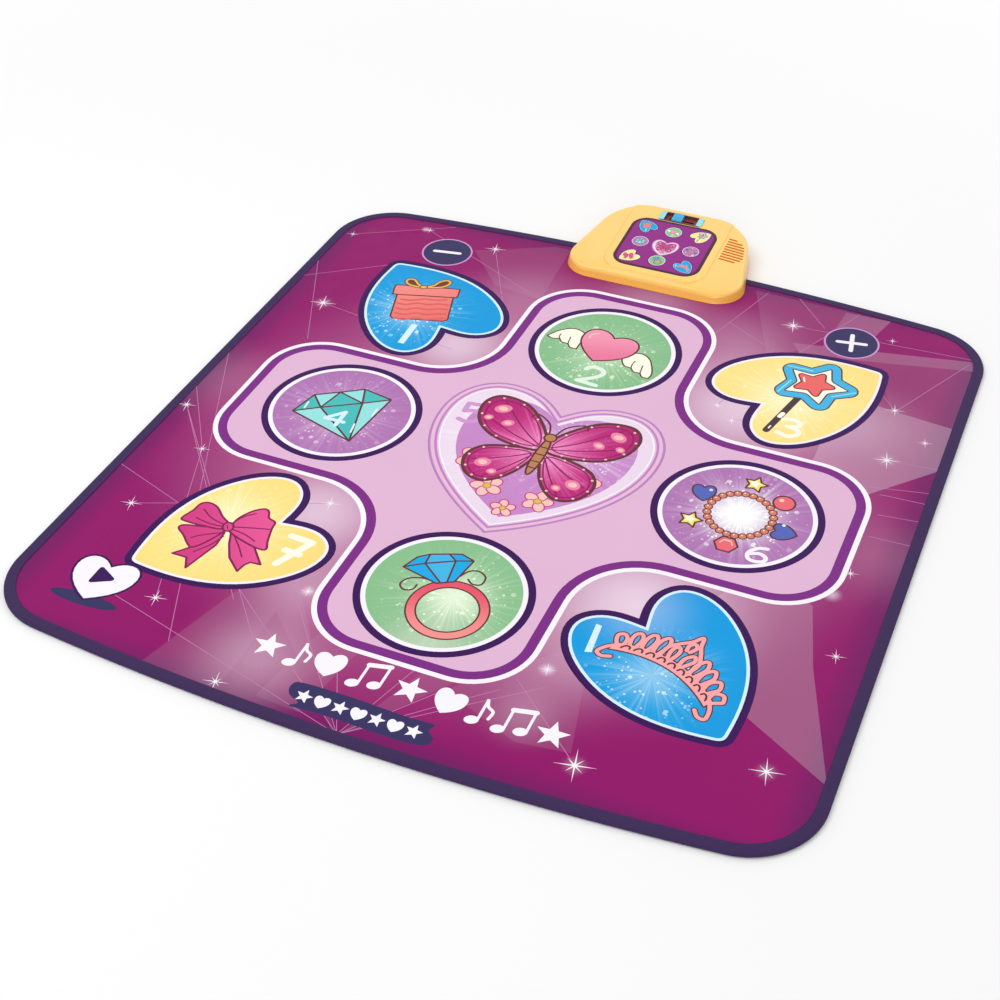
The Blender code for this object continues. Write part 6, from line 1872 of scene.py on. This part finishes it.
class DANCEMAT_OT_edge_binding(Operator):
    """Sews a woven tape round the mat's edge, with a row of stitches on both faces"""
    bl_idname = "dance_mat.edge_binding"
    bl_label = "Edge Binding"

    def execute(self, context):
        settings = look("edge")
        width = settings.width / MM
        low, top = MAT_LOW.z, MAT_HIGH.z
        bottom_leg, top_leg = low + 0.5, top - 0.5
        mean = (low + top) / 2
        stitch = settings.stitch_inset / MM
        # The folded tape's section: inset from the mat's edge, and height
        section = [(1.1, low + 0.25), (2.4, low), (stitch - 1.2, low), (stitch, low + 0.12),
                   (stitch + 1.2, low), (width - 0.3, low), (width, low + 0.2),
                   (width - 0.3, bottom_leg), (1.6, bottom_leg), (1.2, bottom_leg + 0.5),
                   (1.2, top_leg - 0.5), (1.6, top_leg), (width - 0.3, top_leg),
                   (width, top - 0.2), (width - 0.3, top), (stitch + 1.2, top),
                   (stitch, top - 0.14), (stitch - 1.2, top), (2.4, top), (1.1, top - 0.25),
                   (0.35, top - 0.9), (0.05, mean + 1.0), (0.0, mean), (0.05, mean - 1.0),
                   (0.35, low + 0.9)]
        rings = [at_height(even_outline(inset), height) for inset, height in section]
        mesh = loft("binding_tape", rings, closed=True)
        self.lay_weave(mesh, len(section), len(rings[0]))
        smoothed(mesh, 50)
        wear(mesh, cloth("tape_weave", settings.tape, threads=5200.0, rough=0.8))
        tape = add_piece("binding_tape", mesh, "root", ["edge_binding"])
        ends = zip(rings[0], rings[0][1:] + rings[0][:1])
        girth = sum((Vector(here) - Vector(after)).length for here, after in ends)
        self.sew(context)
        return {"FINISHED"}

    def lay_weave(self, mesh, rows, count):
        """A UV map in metres: along the tape and across it."""
        uv = mesh.uv_layers.new(name="weave")
        pitch = TAPE_GIRTH / count
        for face in mesh.polygons:
            wraps = {0, rows - 1} <= {index // count for index in face.vertices}
            ends = {0, count - 1} <= {index % count for index in face.vertices}
            for corner in face.loop_indices:
                index = mesh.loops[corner].vertex_index
                row, column = divmod(index, count)
                row = rows if wraps and row == 0 else row
                column = count if ends and column == 0 else column
                uv.data[corner].uv = (column * pitch * MM, row * TAPE_ROW * MM)

    def sew(self, context):
        settings = look("edge")
        thread, tree, shader = new_material("thread", roughness=0.7)
        twist = put(tree, "ShaderNodeTexWave", {"Vector": place_of(tree), "Scale": 900.0,
                                                "Distortion": 1.0}).outputs["Fac"]
        shade = mix_colours(tree, twist, srgb(58, 30, 90), tuple(settings.thread))
        feed(tree, shader, {"Base Color": shade})
        stitches = make_stitch_tree()
        meshes = []
        for height in (MAT_HIGH.z - STITCH_SINK, MAT_LOW.z + STITCH_SINK):
            curve = bpy.data.curves.new("stitch_line", "CURVE")
            curve.dimensions = "3D"
            add_loop(curve, even_outline(settings.stitch_inset / MM), height)
            meshes.append(grown_mesh(temporary("stitch_line", curve), stitches, {
                "Pitch": settings.stitch_pitch, "Length": settings.stitch_length,
                "Radius": settings.thread_radius, "Material": thread}))
        mesh = joined("binding_stitches", meshes)
        mesh.shade_smooth()
        add_piece("binding_stitches", mesh, "root")


TAPE_GIRTH = 3600
TAPE_ROW = 1.3
STITCH_SINK = 0.12
LONG_SIDE = 100
SIDE_STEPS = 40


def even_outline(inset):
    """The mat's outline with enough points along its straight sides for a sewn edge."""
    outline = mat_outline(inset, 28, 60)
    even = []
    for here, after in zip(outline, outline[1:] + outline[:1]):
        even.append(here)
        if math.dist(here, after) > LONG_SIDE:
            even += [tuple(a + (b - a) * step / SIDE_STEPS for a, b in zip(here, after))
                     for step in range(1, SIDE_STEPS)]
    return even


def joined(name, meshes):
    mesh = meshes[0]
    with reshaped(mesh) as shape:
        for other in meshes[1:]:
            shape.from_mesh(other)
    mesh.name = name
    return mesh


class DANCEMAT_OT_backing(Operator):
    """Lays the backing cloth and presses its grip studs onto it"""
    bl_idname = "dance_mat.backing"
    bl_label = "Backing"

    def execute(self, context):
        settings = look("edge")
        inset = settings.width / MM + TOUCH_GAP
        clamp_low, clamp_high = corners("mat_clamp_strip")
        centre = ((clamp_low.x + clamp_high.x) / 2, (clamp_low.y + clamp_high.y) / 2)
        window = plate(centre, clamp_high.x - clamp_low.x + 2 * TOUCH_GAP,
                       clamp_high.y - clamp_low.y + 2 * TOUCH_GAP, CLAMP_WINDOW_RADIUS)
        INKS["backing_cloth"] = cloth("backing_cloth", settings.backing, threads=3600.0, rough=0.9)
        outline = mat_outline(inset)
        mesh = printed_mesh("backing_cloth", [(outline, "backing_cloth")], [window], STUD_HEIGHT,
                            BACKING_TOP, 0, level)
        flat_uv(mesh)
        cloth_piece = add_piece("backing_cloth", mesh, "root", ["backing_sheet"])
        pitch = settings.stud_pitch / MM
        row_pitch = pitch * math.sqrt(3) / 2
        rows = int(2 * MAT_HALF_Y / row_pitch)
        inner = mat_outline(inset + 4)
        points = []
        for row in range(-rows // 2, rows // 2 + 1):
            y = row * row_pitch
            for column in range(-STUD_COLUMNS, STUD_COLUMNS + 1):
                x = (column + 0.5 * (row % 2)) * pitch
                on_clamp = all(abs(value - middle_value) < reach for value, middle_value, reach
                               in zip((x, y), centre, CLAMP_REACH))
                if inside(inner, x, y) and not on_clamp:
                    points.append((x, y, STUD_HEIGHT))
        rubber = plastic("stud_rubber", settings.stud, gloss=0.6, grain=900.0, depth=0.03)
        studs = grown_mesh(point_cloud("stud_places", points), make_stud_tree(), {
            "Radius": settings.stud_radius, "Height": STUD_HEIGHT * MM, "Material": rubber})
        studs.shade_smooth()
        add_piece("grip_studs", studs, "root")
        return {"FINISHED"}


STUD_HEIGHT = 0.35
STUD_COLUMNS = 40
CLAMP_REACH = (100, 18)
CLAMP_WINDOW_RADIUS = 3.3


def flat_uv(mesh):
    """A UV map in metres, seen from above."""
    uv = mesh.uv_layers.new(name="weave")
    for loop in mesh.loops:
        place = mesh.vertices[loop.vertex_index].co
        uv.data[loop.index].uv = (place.x, place.y)


def inside(outline, x, y):
    """Whether a point lies in an outline."""
    crossings = False
    for (ax, ay), (bx, by) in zip(outline, outline[1:] + outline[:1]):
        if (ay > y) != (by > y) and x < (bx - ax) * (y - ay) / (by - ay) + ax:
            crossings = not crossings
    return crossings


class DANCEMAT_OT_inner_layers(Operator):
    """Makes the foam, the switch membrane and its tail, which lie between cover and backing"""
    bl_idname = "dance_mat.inner_layers"
    bl_label = "Inner Layers"

    def execute(self, context):
        INKS["white_foam"] = foam("white_foam", srgb(236, 236, 230))
        INKS["clear_film"] = vinyl("clear_film", srgb(205, 212, 212), gloss=0.2)
        outline = mat_outline(LAYER_INSET)
        windows = [grown(shape, TOUCH_GAP) for shape in all_zone_outlines()]
        mesh = printed_mesh("foam_layer", [(outline, "white_foam")], windows, FOAM_LOW, FOAM_TOP,
                            0, level)
        piece = add_piece("foam_layer", mesh, "root", ["foam_spacer"])
        mesh = printed_mesh("switch_membrane", [(outline, "clear_film")], [], MEMBRANE_LOW,
                            MEMBRANE_TOP, 0, level)
        piece = add_piece("switch_membrane", mesh, "root", ["lower_membrane"])
        mesh = wear(cad_copy("membrane_tail"), INKS["clear_film"])
        piece = add_piece("membrane_ribbon", mesh, "root", ["membrane_tail"])
        return {"FINISHED"}


# Sound box

def box_outline(inset=0.0, steps=(18, 18, 30, 30)):
    points = [(-BOX_FRONT_HALF, BOX_FRONT_Y), (BOX_FRONT_HALF, BOX_FRONT_Y),
              (BOX_REAR_HALF, BOX_REAR_Y), (-BOX_REAR_HALF, BOX_REAR_Y)]
    return rounded(points, BOX_RADII, steps, inset)


def box_half_width(y):
    share = (y - BOX_FRONT_Y) / (BOX_REAR_Y - BOX_FRONT_Y)
    return BOX_FRONT_HALF + (BOX_REAR_HALF - BOX_FRONT_HALF) * share


CREASE_SOFTNESS = 1.6
PLATEAU_FRONT_Y = PANEL_Y - PANEL_LENGTH / 2 - 9
PLATEAU_RADIUS = 24
PLATEAU_STEP = 1.5
PLATEAU_STEP_RUN = 2.4
NOSE_DROP = 5.0
BELOW_BOX = -2
RIM_MARGIN = 3
NOSE_START_Y = BOX_FRONT_Y + BOX_DRAFT
NOSE_END_Y = BOX_FRONT_Y + 20.5


def beyond_plateau(x, y):
    """Distance outside the raised field round the panel, whose front corners are round."""
    across = abs(x) - (CREASE_X - PLATEAU_RADIUS)
    ahead = PLATEAU_FRONT_Y + PLATEAU_RADIUS - y
    if across > 0 and ahead > 0:
        return math.hypot(across, ahead) - PLATEAU_RADIUS
    return max(across, ahead) - PLATEAU_RADIUS


def top_height(x, y):
    """Height of the box's top: a sloping band, shoulders past soft creases, and a round nose."""
    past = abs(x) - CREASE_X
    if past <= -CREASE_SOFTNESS:
        shoulder = 0.0
    elif past >= CREASE_SOFTNESS:
        shoulder = past
    else:
        shoulder = (past + CREASE_SOFTNESS) ** 2 / (4 * CREASE_SOFTNESS)
    step = min(max(beyond_plateau(x, y) / PLATEAU_STEP_RUN, 0.0), 1.0)
    step = PLATEAU_STEP * step * step * (3 - 2 * step)
    nose = min(max((NOSE_END_Y - y) / (NOSE_END_Y - NOSE_START_Y), 0.0), 1.0)
    slope = (y - PANEL_Y - shoulder) * math.tan(BOX_SLOPE)
    return BOX_TOP_HEIGHT + slope - step - NOSE_DROP * nose ** 2


def cut_face_grid(shape, face, xs, ys):
    """Cuts one flat face into a grid, so that it can bend."""
    faces = [face]
    for axis, places in ((0, xs), (1, ys)):
        for place in places:
            geometry = list({part for cell in faces for part in (cell, *cell.edges, *cell.verts)})
            centre, normal = Vector((0, 0, 0)), Vector((0, 0, 0))
            centre[axis], normal[axis] = place, 1
            made = bmesh.ops.bisect_plane(shape, geom=geometry, dist=0.001, plane_co=centre,
                                          plane_no=normal)
            faces = [part for part in made["geom"] if isinstance(part, bmesh.types.BMFace)]


def shell_mesh():
    """The moulded shell: drafted walls, a round top edge, a creased top and an even wall."""
    depth = BOX_TOP_HEIGHT
    inner_radius = BOX_EDGE_RADIUS - BOX_WALL
    middle_inset = BOX_DRAFT + BOX_EDGE_RADIUS

    def round_rows(radius, degrees):
        return [(middle_inset - radius * math.cos(math.radians(angle)),
                 radius * math.sin(math.radians(angle)) - BOX_EDGE_RADIUS) for angle in degrees]

    outer = [(BOX_DRAFT * share, -depth + (depth - BOX_EDGE_RADIUS) * share)
             for share in (0.0, 0.33, 0.67)]
    outer += round_rows(BOX_EDGE_RADIUS, range(0, 91, 10))
    inner = round_rows(inner_radius, range(90, -1, -30)) + [(BOX_WALL, -depth)]
    shape = bmesh.new()

    def add_rows(pairs):
        rows = [[shape.verts.new((x, y, height)) for x, y in box_outline(inset)]
                for inset, height in pairs]
        for first, second in zip(rows, rows[1:]):
            add_wall(shape, first, second)
        return rows

    outside, inner_rows = add_rows(outer), add_rows(inner)
    caps = [shape.faces.new(outside[-1]), shape.faces.new(inner_rows[0])]
    add_wall(shape, outside[0], inner_rows[-1])
    # Cuts close enough for the top to bend, closer over the nose and at the creases
    creases = [side * (CREASE_X + step * CREASE_SOFTNESS) for side in (-1, 1)
               for step in (-1, -0.4, 0.4, 1, 1.7)]
    xs = sorted(set(range(-128, 129, 4)) | set(creases))
    front = int(BOX_FRONT_Y)
    ys = [*range(front + 4, front + 40, 2), *range(front + 40, int(BOX_REAR_Y), 10)]
    for cap in caps:
        cut_face_grid(shape, cap, xs, ys)
    for place in creases:
        geometry = shape.verts[:] + shape.edges[:] + shape.faces[:]
        bmesh.ops.bisect_plane(shape, geom=geometry, dist=0.001, plane_no=(1, 0, 0),
                               plane_co=(place, 0, 0))
    for vert in shape.verts:
        x, y, height = vert.co
        top = top_height(x, y)
        if height >= -BOX_EDGE_RADIUS - 0.001:
            vert.co.z = top + height
        else:
            share = (height + depth) / (depth - BOX_EDGE_RADIUS)
            vert.co.z = RIM_LOW + share * (top - BOX_EDGE_RADIUS - RIM_LOW)
    bmesh.ops.recalc_face_normals(shape, faces=shape.faces)
    bmesh.ops.scale(shape, vec=(MM, MM, MM), verts=shape.verts)
    mesh = bpy.data.meshes.new("box_shell")
    shape.to_mesh(mesh)
    shape.free()
    return mesh


def flared_cutter(name, outlines, heights, matrix=None):
    """A cutter whose mouth flares, so that the cut has a soft lip."""
    mesh = loft(name, [at_height(outline, height) for outline, height in zip(outlines, heights)])
    if matrix:
        mesh.transform(matrix)
    return temporary(name, mesh)


# How far each opening's lip has spread at each height, from below to above
PANEL_LIP = ((0, -1.9), (0, -0.6), (0.25, -0.22), (0.8, 0.0), (4, 1.2))
SWITCH_LIP = ((0, -6), (0, -0.5), (0.2, -0.18), (0.6, 0.0), (3, 1.0))
SLIT_LIP = ((0, -9), (0, -0.42), (0.12, -0.12), (0.45, 0.03), (2.0, 2.0))


def lip_rings(lip, gap, centre, width, length, radius, steps):
    """The outlines of an opening with a soft lip, and their heights."""
    rings = [plate(centre, width + 2 * spread, length + 2 * spread, radius + spread, steps)
             for spread in (gap + share for share, _ in lip)]
    return rings, [height for _, height in lip]


def switch_centre():
    return (0.0, (SWITCH_Y - PANEL_Y) / math.cos(BOX_SLOPE))


class DANCEMAT_OT_box_shell(Operator):
    """Moulds the sound box's upper shell, with its recess, switch window and speaker slits"""
    bl_idname = "dance_mat.box_shell"
    bl_label = "Box Shell"

    def execute(self, context):
        shell = temporary("box_shell", shell_mesh())
        recess = lip_rings(PANEL_LIP, TOUCH_GAP, (0, 0), PANEL_WIDTH, PANEL_LENGTH, PANEL_RADIUS,
                           14)
        shell = carved(shell, flared_cutter("recess", *recess, TOP_FRAME))
        for column in (-1, 0, 1):
            for row in (-1, 0, 1):
                place = (column * ICON_PITCH[0], row * ICON_PITCH[1])
                mouth = circle(place, LIGHT_WELL_RADIUS, 24)
                well = flared_cutter("well", [mouth] * 2, (-6, -1.6), TOP_FRAME)
                shell = carved(shell, well)
        window = lip_rings(SWITCH_LIP, TOUCH_GAP, switch_centre(), SWITCH_WIDTH, SWITCH_LENGTH,
                           SWITCH_CORNER, 8)
        shell = carved(shell, flared_cutter("switch", *window, TOP_FRAME))
        shell = self.cut_slits(shell)
        shell = self.cut_rim(shell)
        mesh = even_shading(shell.data, 32)
        bpy.data.objects.remove(shell, do_unlink=True)
        # The shell's orange tone, low down and along the field's step, is painted shade.
        finish = plastic("yellow_shell", look("box").shell, gloss=0.28, grain=1300.0, coat=0.2,
                         painted_shade_tone=srgb(255, 176, 52))
        # The slit walls get their own darker orange, a painted shade inside the slits.
        wear(mesh, finish, plastic("slit_walls", srgb(252, 134, 34), gloss=0.5))
        for face in mesh.polygons:
            face.material_index = int(self.in_slit(face))
        add_piece("box_shell", mesh, "root", ["upper_housing"])
        return {"FINISHED"}

    def in_slit(self, face):
        """Whether a face is a slit's wall, which gets a painted shade so that the slits show
        darker.
        """
        x, y, z = face.center / MM
        row = (y - SLIT_MIDDLE_Y) / SLIT_PITCH + (SLIT_COUNT - 1) / 2
        depth = top_height(x, y) - z
        return (0 <= round(row) < SLIT_COUNT and 0.1 < depth < BOX_WALL - 0.1
                and abs(row - round(row)) * SLIT_PITCH < SLIT_WIDTH / 2 + 0.2
                and SLIT_LEFT_X - 0.5 < x < box_half_width(y) - 7.5 and abs(face.normal.z) < 0.6)

    def cut_slits(self, shell):
        centre = (SLIT_COUNT - 1) / 2
        for index in range(SLIT_COUNT):
            y = SLIT_MIDDLE_Y + (index - centre) * SLIT_PITCH
            right = box_half_width(y) - SLIT_MARGIN - SLIT_TAPER * ((index - centre) / centre) ** 4
            place = ((SLIT_LEFT_X + right) / 2, y)
            slope = top_height(place[0], y)
            rings, heights = lip_rings(SLIT_LIP, 0, place, right - SLIT_LEFT_X, SLIT_WIDTH,
                                       SLIT_CORNER, 6)
            turn = math.tan(BOX_SLOPE)
            loops = []
            for ring, height in zip(rings, heights):
                loops.append([(x, side, slope + height - (x - place[0]) * turn + (side - y) * turn)
                              for x, side in ring])
            shell = carved(shell, temporary("slit", loft("slit", loops)))
        return shell

    def cut_rim(self, shell):
        """Raises the rim where it stands on the mat, and a little more over the binding."""
        side = BOX_FRONT_HALF + RIM_MARGIN
        binding_front = MAT_HALF_Y - look("edge").width / MM - 1
        bow_drop = side ** 2 / (2 * END_BOW_RADIUS)
        for low_y, high_y, top in ((BOX_FRONT_Y - RIM_MARGIN, binding_front, RIM_ON_MAT),
                                   (binding_front - bow_drop, MAT_HALF_Y + 1, RIM_ON_BINDING)):
            base = [(-side, low_y), (side, low_y), (side, high_y), (-side, high_y)]
            shell = carved(shell, flared_cutter("rim", [base] * 2, (BELOW_BOX, top)))
        return shell


class DANCEMAT_OT_picture_panel(Operator):
    """Makes the glossy picture panel with nine small zone pictures"""
    bl_idname = "dance_mat.picture_panel"
    bl_label = "Picture Panel"

    def execute(self, context):
        layers = [(plate((0, 0), PANEL_WIDTH, PANEL_LENGTH, PANEL_RADIUS, 14), "panel_edge_ink")]
        pen = Pen(layers)
        pen.fill(plate((0, 0), PANEL_WIDTH, PANEL_LENGTH, PANEL_RADIUS, 14, PANEL_BORDER),
                 "panel_ink")
        for number, draw in PICTURES.items():
            row, column = 1 - (number - 1) // 3, (number - 1) % 3 - 1
            scale = ICON_SCALES[bool(row) + bool(column)]
            place = (column * ICON_PITCH[0], row * ICON_PITCH[1])
            draw(Pen(layers, zone_middle(number), scale, place))
        mesh = printed_mesh("picture_panel_print", layers, [], -PANEL_THICKNESS, 0.0, 0, level)
        self.polish(mesh)
        mesh.transform(TOP_FRAME)
        add_piece("picture_panel_print", mesh, "root", ["picture_panel"])
        return {"FINISHED"}

    def polish(self, mesh):
        """Glossy copies of the printed inks, as under a clear lacquer."""
        for index, finish in enumerate(mesh.materials):
            name = "lacquered_" + finish.name
            if name not in FINISHES:
                copy = finish.copy()
                copy.name = name
                feed(copy.node_tree, copy.node_tree.nodes["Principled BSDF"],
                     {"Coat Weight": 0.35, "Coat Roughness": 0.08})
                FINISHES[name] = copy
            mesh.materials[index] = FINISHES[name]


class DANCEMAT_OT_slide_switch(Operator):
    """Makes the switch's frame, its dark slot plate and the ribbed knob"""
    bl_idname = "dance_mat.slide_switch"
    bl_label = "Slide Switch"

    def execute(self, context):
        settings = look("box")
        centre = switch_centre()
        opening = (SWITCH_WIDTH - 2 * SWITCH_CAP, SWITCH_LENGTH - 2 * SWITCH_SIDE_RIM)
        outer = plate(centre, SWITCH_WIDTH, SWITCH_LENGTH, SWITCH_CORNER, 8)
        inner = plate(centre, *opening, SWITCH_SIDE_RIM, 6)
        mesh = bevelled_plate("switch_frame", [outer, inner], -BOX_WALL, SWITCH_RIM_HEIGHT,
                              edge=0.4, steps=3)
        mesh.transform(TOP_FRAME)
        cyan = plastic("cyan_moulding", settings.switch_frame, gloss=0.22, grain=1800.0,
                       depth=0.004, coat=0.3)
        rail = plastic("rail_moulding", srgb(92, 66, 84), gloss=0.4)
        mesh = wear(even_shading(mesh), cyan, rail)
        rail_end = (SWITCH_WIDTH / 2 - SWITCH_CAP + 0.5) * MM
        for face in mesh.polygons:
            face.material_index = int(abs(face.center.x) < rail_end)
        add_piece("switch_frame", mesh, "root", ["switch_bezel"])
        dark = plastic("slot_moulding", settings.slot, gloss=0.45)
        blue = plastic("blue_moulding", settings.knob, gloss=0.25, grain=1800.0, depth=0.004,
                       coat=0.3)
        dress((("switch_slot_plate", "slot_plate", "root", dark, "dark_slot", 0.15),
               ("switch_knob", "slide_knob", "switch_slider", blue, "blue_plastic", 0.35, 3)))
        return {"FINISHED"}


class DANCEMAT_OT_speaker(Operator):
    """Makes the speaker that shows through the slits"""
    bl_idname = "dance_mat.speaker"
    bl_label = "Speaker"

    def execute(self, context):
        tin = metal("tin_plate", srgb(186, 184, 180))
        paper, tree, shader = new_material("cone_pulp", roughness=0.9)
        fibre = noise(tree, place_of(tree), 900.0, 4.0, 0.7)
        shade = mix_colours(tree, fibre, srgb(24, 22, 22), srgb(62, 58, 56))
        feed(tree, shader, {"Base Color": shade, "Normal": bump(tree, fibre, 0.08)})
        dress((("speaker_basket", "speaker_frame", "root", tin, "steel", 0.15),
               ("speaker_cone", "speaker_paper", "root", paper, "cone_paper", 0.15),
               ("speaker_magnet", "speaker_slug", "root", tin, "steel", 0.15)))
        return {"FINISHED"}


class DANCEMAT_OT_base_and_door(Operator):
    """Finishes the lower housing, its feet, the clamp strip and the battery door"""
    bl_idname = "dance_mat.base_and_door"
    bl_label = "Base and Door"

    def execute(self, context):
        yellow = plastic("yellow_moulding", look("box").shell, gloss=0.36, grain=1300.0)
        rubber = plastic("foot_rubber", srgb(46, 46, 50), gloss=0.8, grain=700.0, depth=0.05)
        tin = metal("tin_plate", srgb(186, 184, 180))
        dress((("lower_housing", "base_moulding", "root", yellow, "yellow_plastic", 0.2),
               ("battery_door", "battery_lid", "battery_hatch", yellow, "yellow_plastic", 0.3),
               ("rubber_foot_left", "foot_left", "root", rubber, "rubber", 0.4),
               ("rubber_foot_right", "foot_right", "root", rubber, "rubber", 0.4),
               ("mat_clamp_strip", "clamp_strip", "root", tin, "steel", 0.15)))
        return {"FINISHED"}


class DANCEMAT_OT_screws(Operator):
    """Sets a cross-head screw in each screw's place"""
    bl_idname = "dance_mat.screws"
    bl_label = "Screws"

    def execute(self, context):
        steel = metal("screw_steel", srgb(198, 198, 202))
        tree = make_screw_tree()
        for name, body, nodes, side, radius, head in (
                ("mat_screws", "root", numbered("mat_screw", 3), 1, 2.8, 1.8),
                ("housing_screws", "root", numbered("housing_screw", 4), -1, 2.8, 1.8),
                ("door_screw", "battery_hatch", ["battery_door_screw"], -1, 2.5, 1.0)):
            low, high = corners(nodes[0])
            pattern = screw_object(name + "_pattern", radius, head, high.z - low.z)
            places, axes = [], []
            for node in nodes:
                low, high = corners(node)
                centre = (low + high) / 2
                places.append((centre.x, centre.y, high.z if side > 0 else low.z))
                axes.append((0, 0, side))
            mesh = grown_mesh(point_cloud(name, places, axes), tree,
                              {"Screw": pattern, "Material": steel})
            bpy.data.objects.remove(pattern, do_unlink=True)
            add_piece(name, even_shading(mesh), body, nodes)
        return {"FINISHED"}


def numbered(name, count):
    """The names of a few like nodes."""
    return [f"{name}_{index}" for index in range(1, count + 1)]


def screw_object(name, radius, head, length):
    """A pan-head screw whose head's top is at the origin, with a cross recess and thread rings."""
    steps, shank = 28, 1.2
    profile = [(0.001, 0.0)]
    for angle in range(15, 91, 15):
        turn = math.radians(angle)
        profile.append((radius * 0.72 * math.sin(turn) + radius * 0.28 * angle / 90,
                        -head * 0.55 * (1 - math.cos(turn))))
    profile += [(radius, -head), (shank * 0.85, -head)]
    height = -head
    while height > -length + 1.6:
        profile += [(shank * 0.85, height - 0.1), (shank, height - 0.4),
                    (shank * 0.85, height - 0.7)]
        height -= 0.8
    profile += [(shank * 0.8, -length + 1.0), (0.001, -length)]
    rings = [at_height(circle((0, 0), reach, steps), level_z) for reach, level_z in profile]
    screw = temporary(name, loft(name, rings))
    for across, along in ((radius * 1.05, 0.55), (0.55, radius * 1.05)):
        outline = plate((0, 0), across, along, 0.1, 2)
        mouth = loft("cross", [at_height(outline, -head * 0.6), at_height(outline, 0.5)])
        screw = carved(screw, temporary("cross", mouth))
    return screw


class DANCEMAT_OT_inner_parts(Operator):
    """Finishes the board, the lights, the battery bay's contents and the wires"""
    bl_idname = "dance_mat.inner_parts"
    bl_label = "Inner Parts"

    def execute(self, context):
        steel = metal("contact_steel", srgb(200, 200, 205))
        black = plastic("black_moulding", srgb(30, 30, 33), gloss=0.4)
        board = self.board_finish()
        lens = plastic("lens_resin", srgb(236, 240, 246), gloss=0.12, grain=400.0, depth=0.005,
                       coat=0.5)
        for finish, nodes in (
                (board, ["main_board"]),
                (black, ["sound_chip", "ribbon_connector", "switch_body"]),
                (lens, numbered("panel_led", 9)),
                (steel, ["battery_contact_left", "battery_contact_right"]),
                (self.cell_finish(), numbered("battery", 3)),
                (plastic("black_wire_skin", srgb(30, 30, 32), gloss=0.5), ["battery_lead_black"]),
                (plastic("red_wire_skin", srgb(186, 36, 32), gloss=0.5), ["battery_lead_red"])):
            for node in nodes:
                wear(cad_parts[node].data, finish)
        return {"FINISHED"}

    def board_finish(self):
        """Green lacquer over fine copper tracks."""
        finish, tree, shader = new_material("board_lacquer", roughness=0.35)
        tracks = put(tree, "ShaderNodeTexBrick", {"Vector": place_of(tree), "Scale": 260.0,
                                                  "Mortar Size": 0.03}).outputs["Fac"]
        shade = mix_colours(tree, tracks, srgb(24, 92, 52), srgb(58, 140, 80))
        feed(tree, shader, {"Base Color": shade, "Normal": bump(tree, tracks, 0.03)})
        return finish

    def cell_finish(self):
        """A printed sleeve in two tones along the cell."""
        finish, tree, shader = new_material("cell_sleeve", roughness=0.3)
        off_middle = maths(tree, "ABSOLUTE", parts_of(tree, place_of(tree))["X"])
        tone = maths(tree, "GREATER_THAN", off_middle, 0.012)
        shade = mix_colours(tree, tone, srgb(60, 112, 72), srgb(46, 50, 54))
        feed(tree, shader, {"Base Color": shade})
        return finish


class DANCEMAT_PT_sidebar(Panel):
    bl_label = "Dance Mat"
    bl_idname = "DANCEMAT_PT_sidebar"
    bl_space_type = "VIEW_3D"
    bl_region_type = "UI"
    bl_category = "Dance Mat"

    def draw(self, context):
        column = self.layout.column()
        for operator in OPERATORS:
            column.operator(operator.bl_idname)
        for name in SETTINGS:
            group = getattr(context.scene, name)
            for key in group.bl_rna.properties.keys():
                if key not in ("rna_type", "name"):
                    column.prop(group, key)


SETTINGS = {
    "dance_mat_stage": StageSettings, "dance_mat_print": PrintSettings,
    "dance_mat_zones": ZoneSettings, "dance_mat_edge": EdgeSettings, "dance_mat_box": BoxSettings,
}

OPERATORS = (
    DANCEMAT_OT_stage, DANCEMAT_OT_cover_print, DANCEMAT_OT_zone_prints, DANCEMAT_OT_small_zones,
    DANCEMAT_OT_edge_binding, DANCEMAT_OT_backing, DANCEMAT_OT_inner_layers, DANCEMAT_OT_box_shell,
    DANCEMAT_OT_picture_panel, DANCEMAT_OT_slide_switch, DANCEMAT_OT_speaker,
    DANCEMAT_OT_base_and_door, DANCEMAT_OT_screws, DANCEMAT_OT_inner_parts,
)


def register():
    for settings in SETTINGS.values():
        bpy.utils.register_class(settings)
    for name, settings in SETTINGS.items():
        setattr(bpy.types.Scene, name, PointerProperty(type=settings))
    for operator in OPERATORS:
        bpy.utils.register_class(operator)
    bpy.utils.register_class(DANCEMAT_PT_sidebar)


def unregister():
    bpy.utils.unregister_class(DANCEMAT_PT_sidebar)
    for operator in reversed(OPERATORS):
        bpy.utils.unregister_class(operator)
    for name, settings in SETTINGS.items():
        delattr(bpy.types.Scene, name)
        bpy.utils.unregister_class(settings)


def main():
    register()
    for operator in OPERATORS:
        group, name = operator.bl_idname.split(".")
        if getattr(getattr(bpy.ops, group), name)() != {"FINISHED"}:
            raise RuntimeError(f"{operator.bl_label} did not finish")


if __name__ == "__main__":
    main()
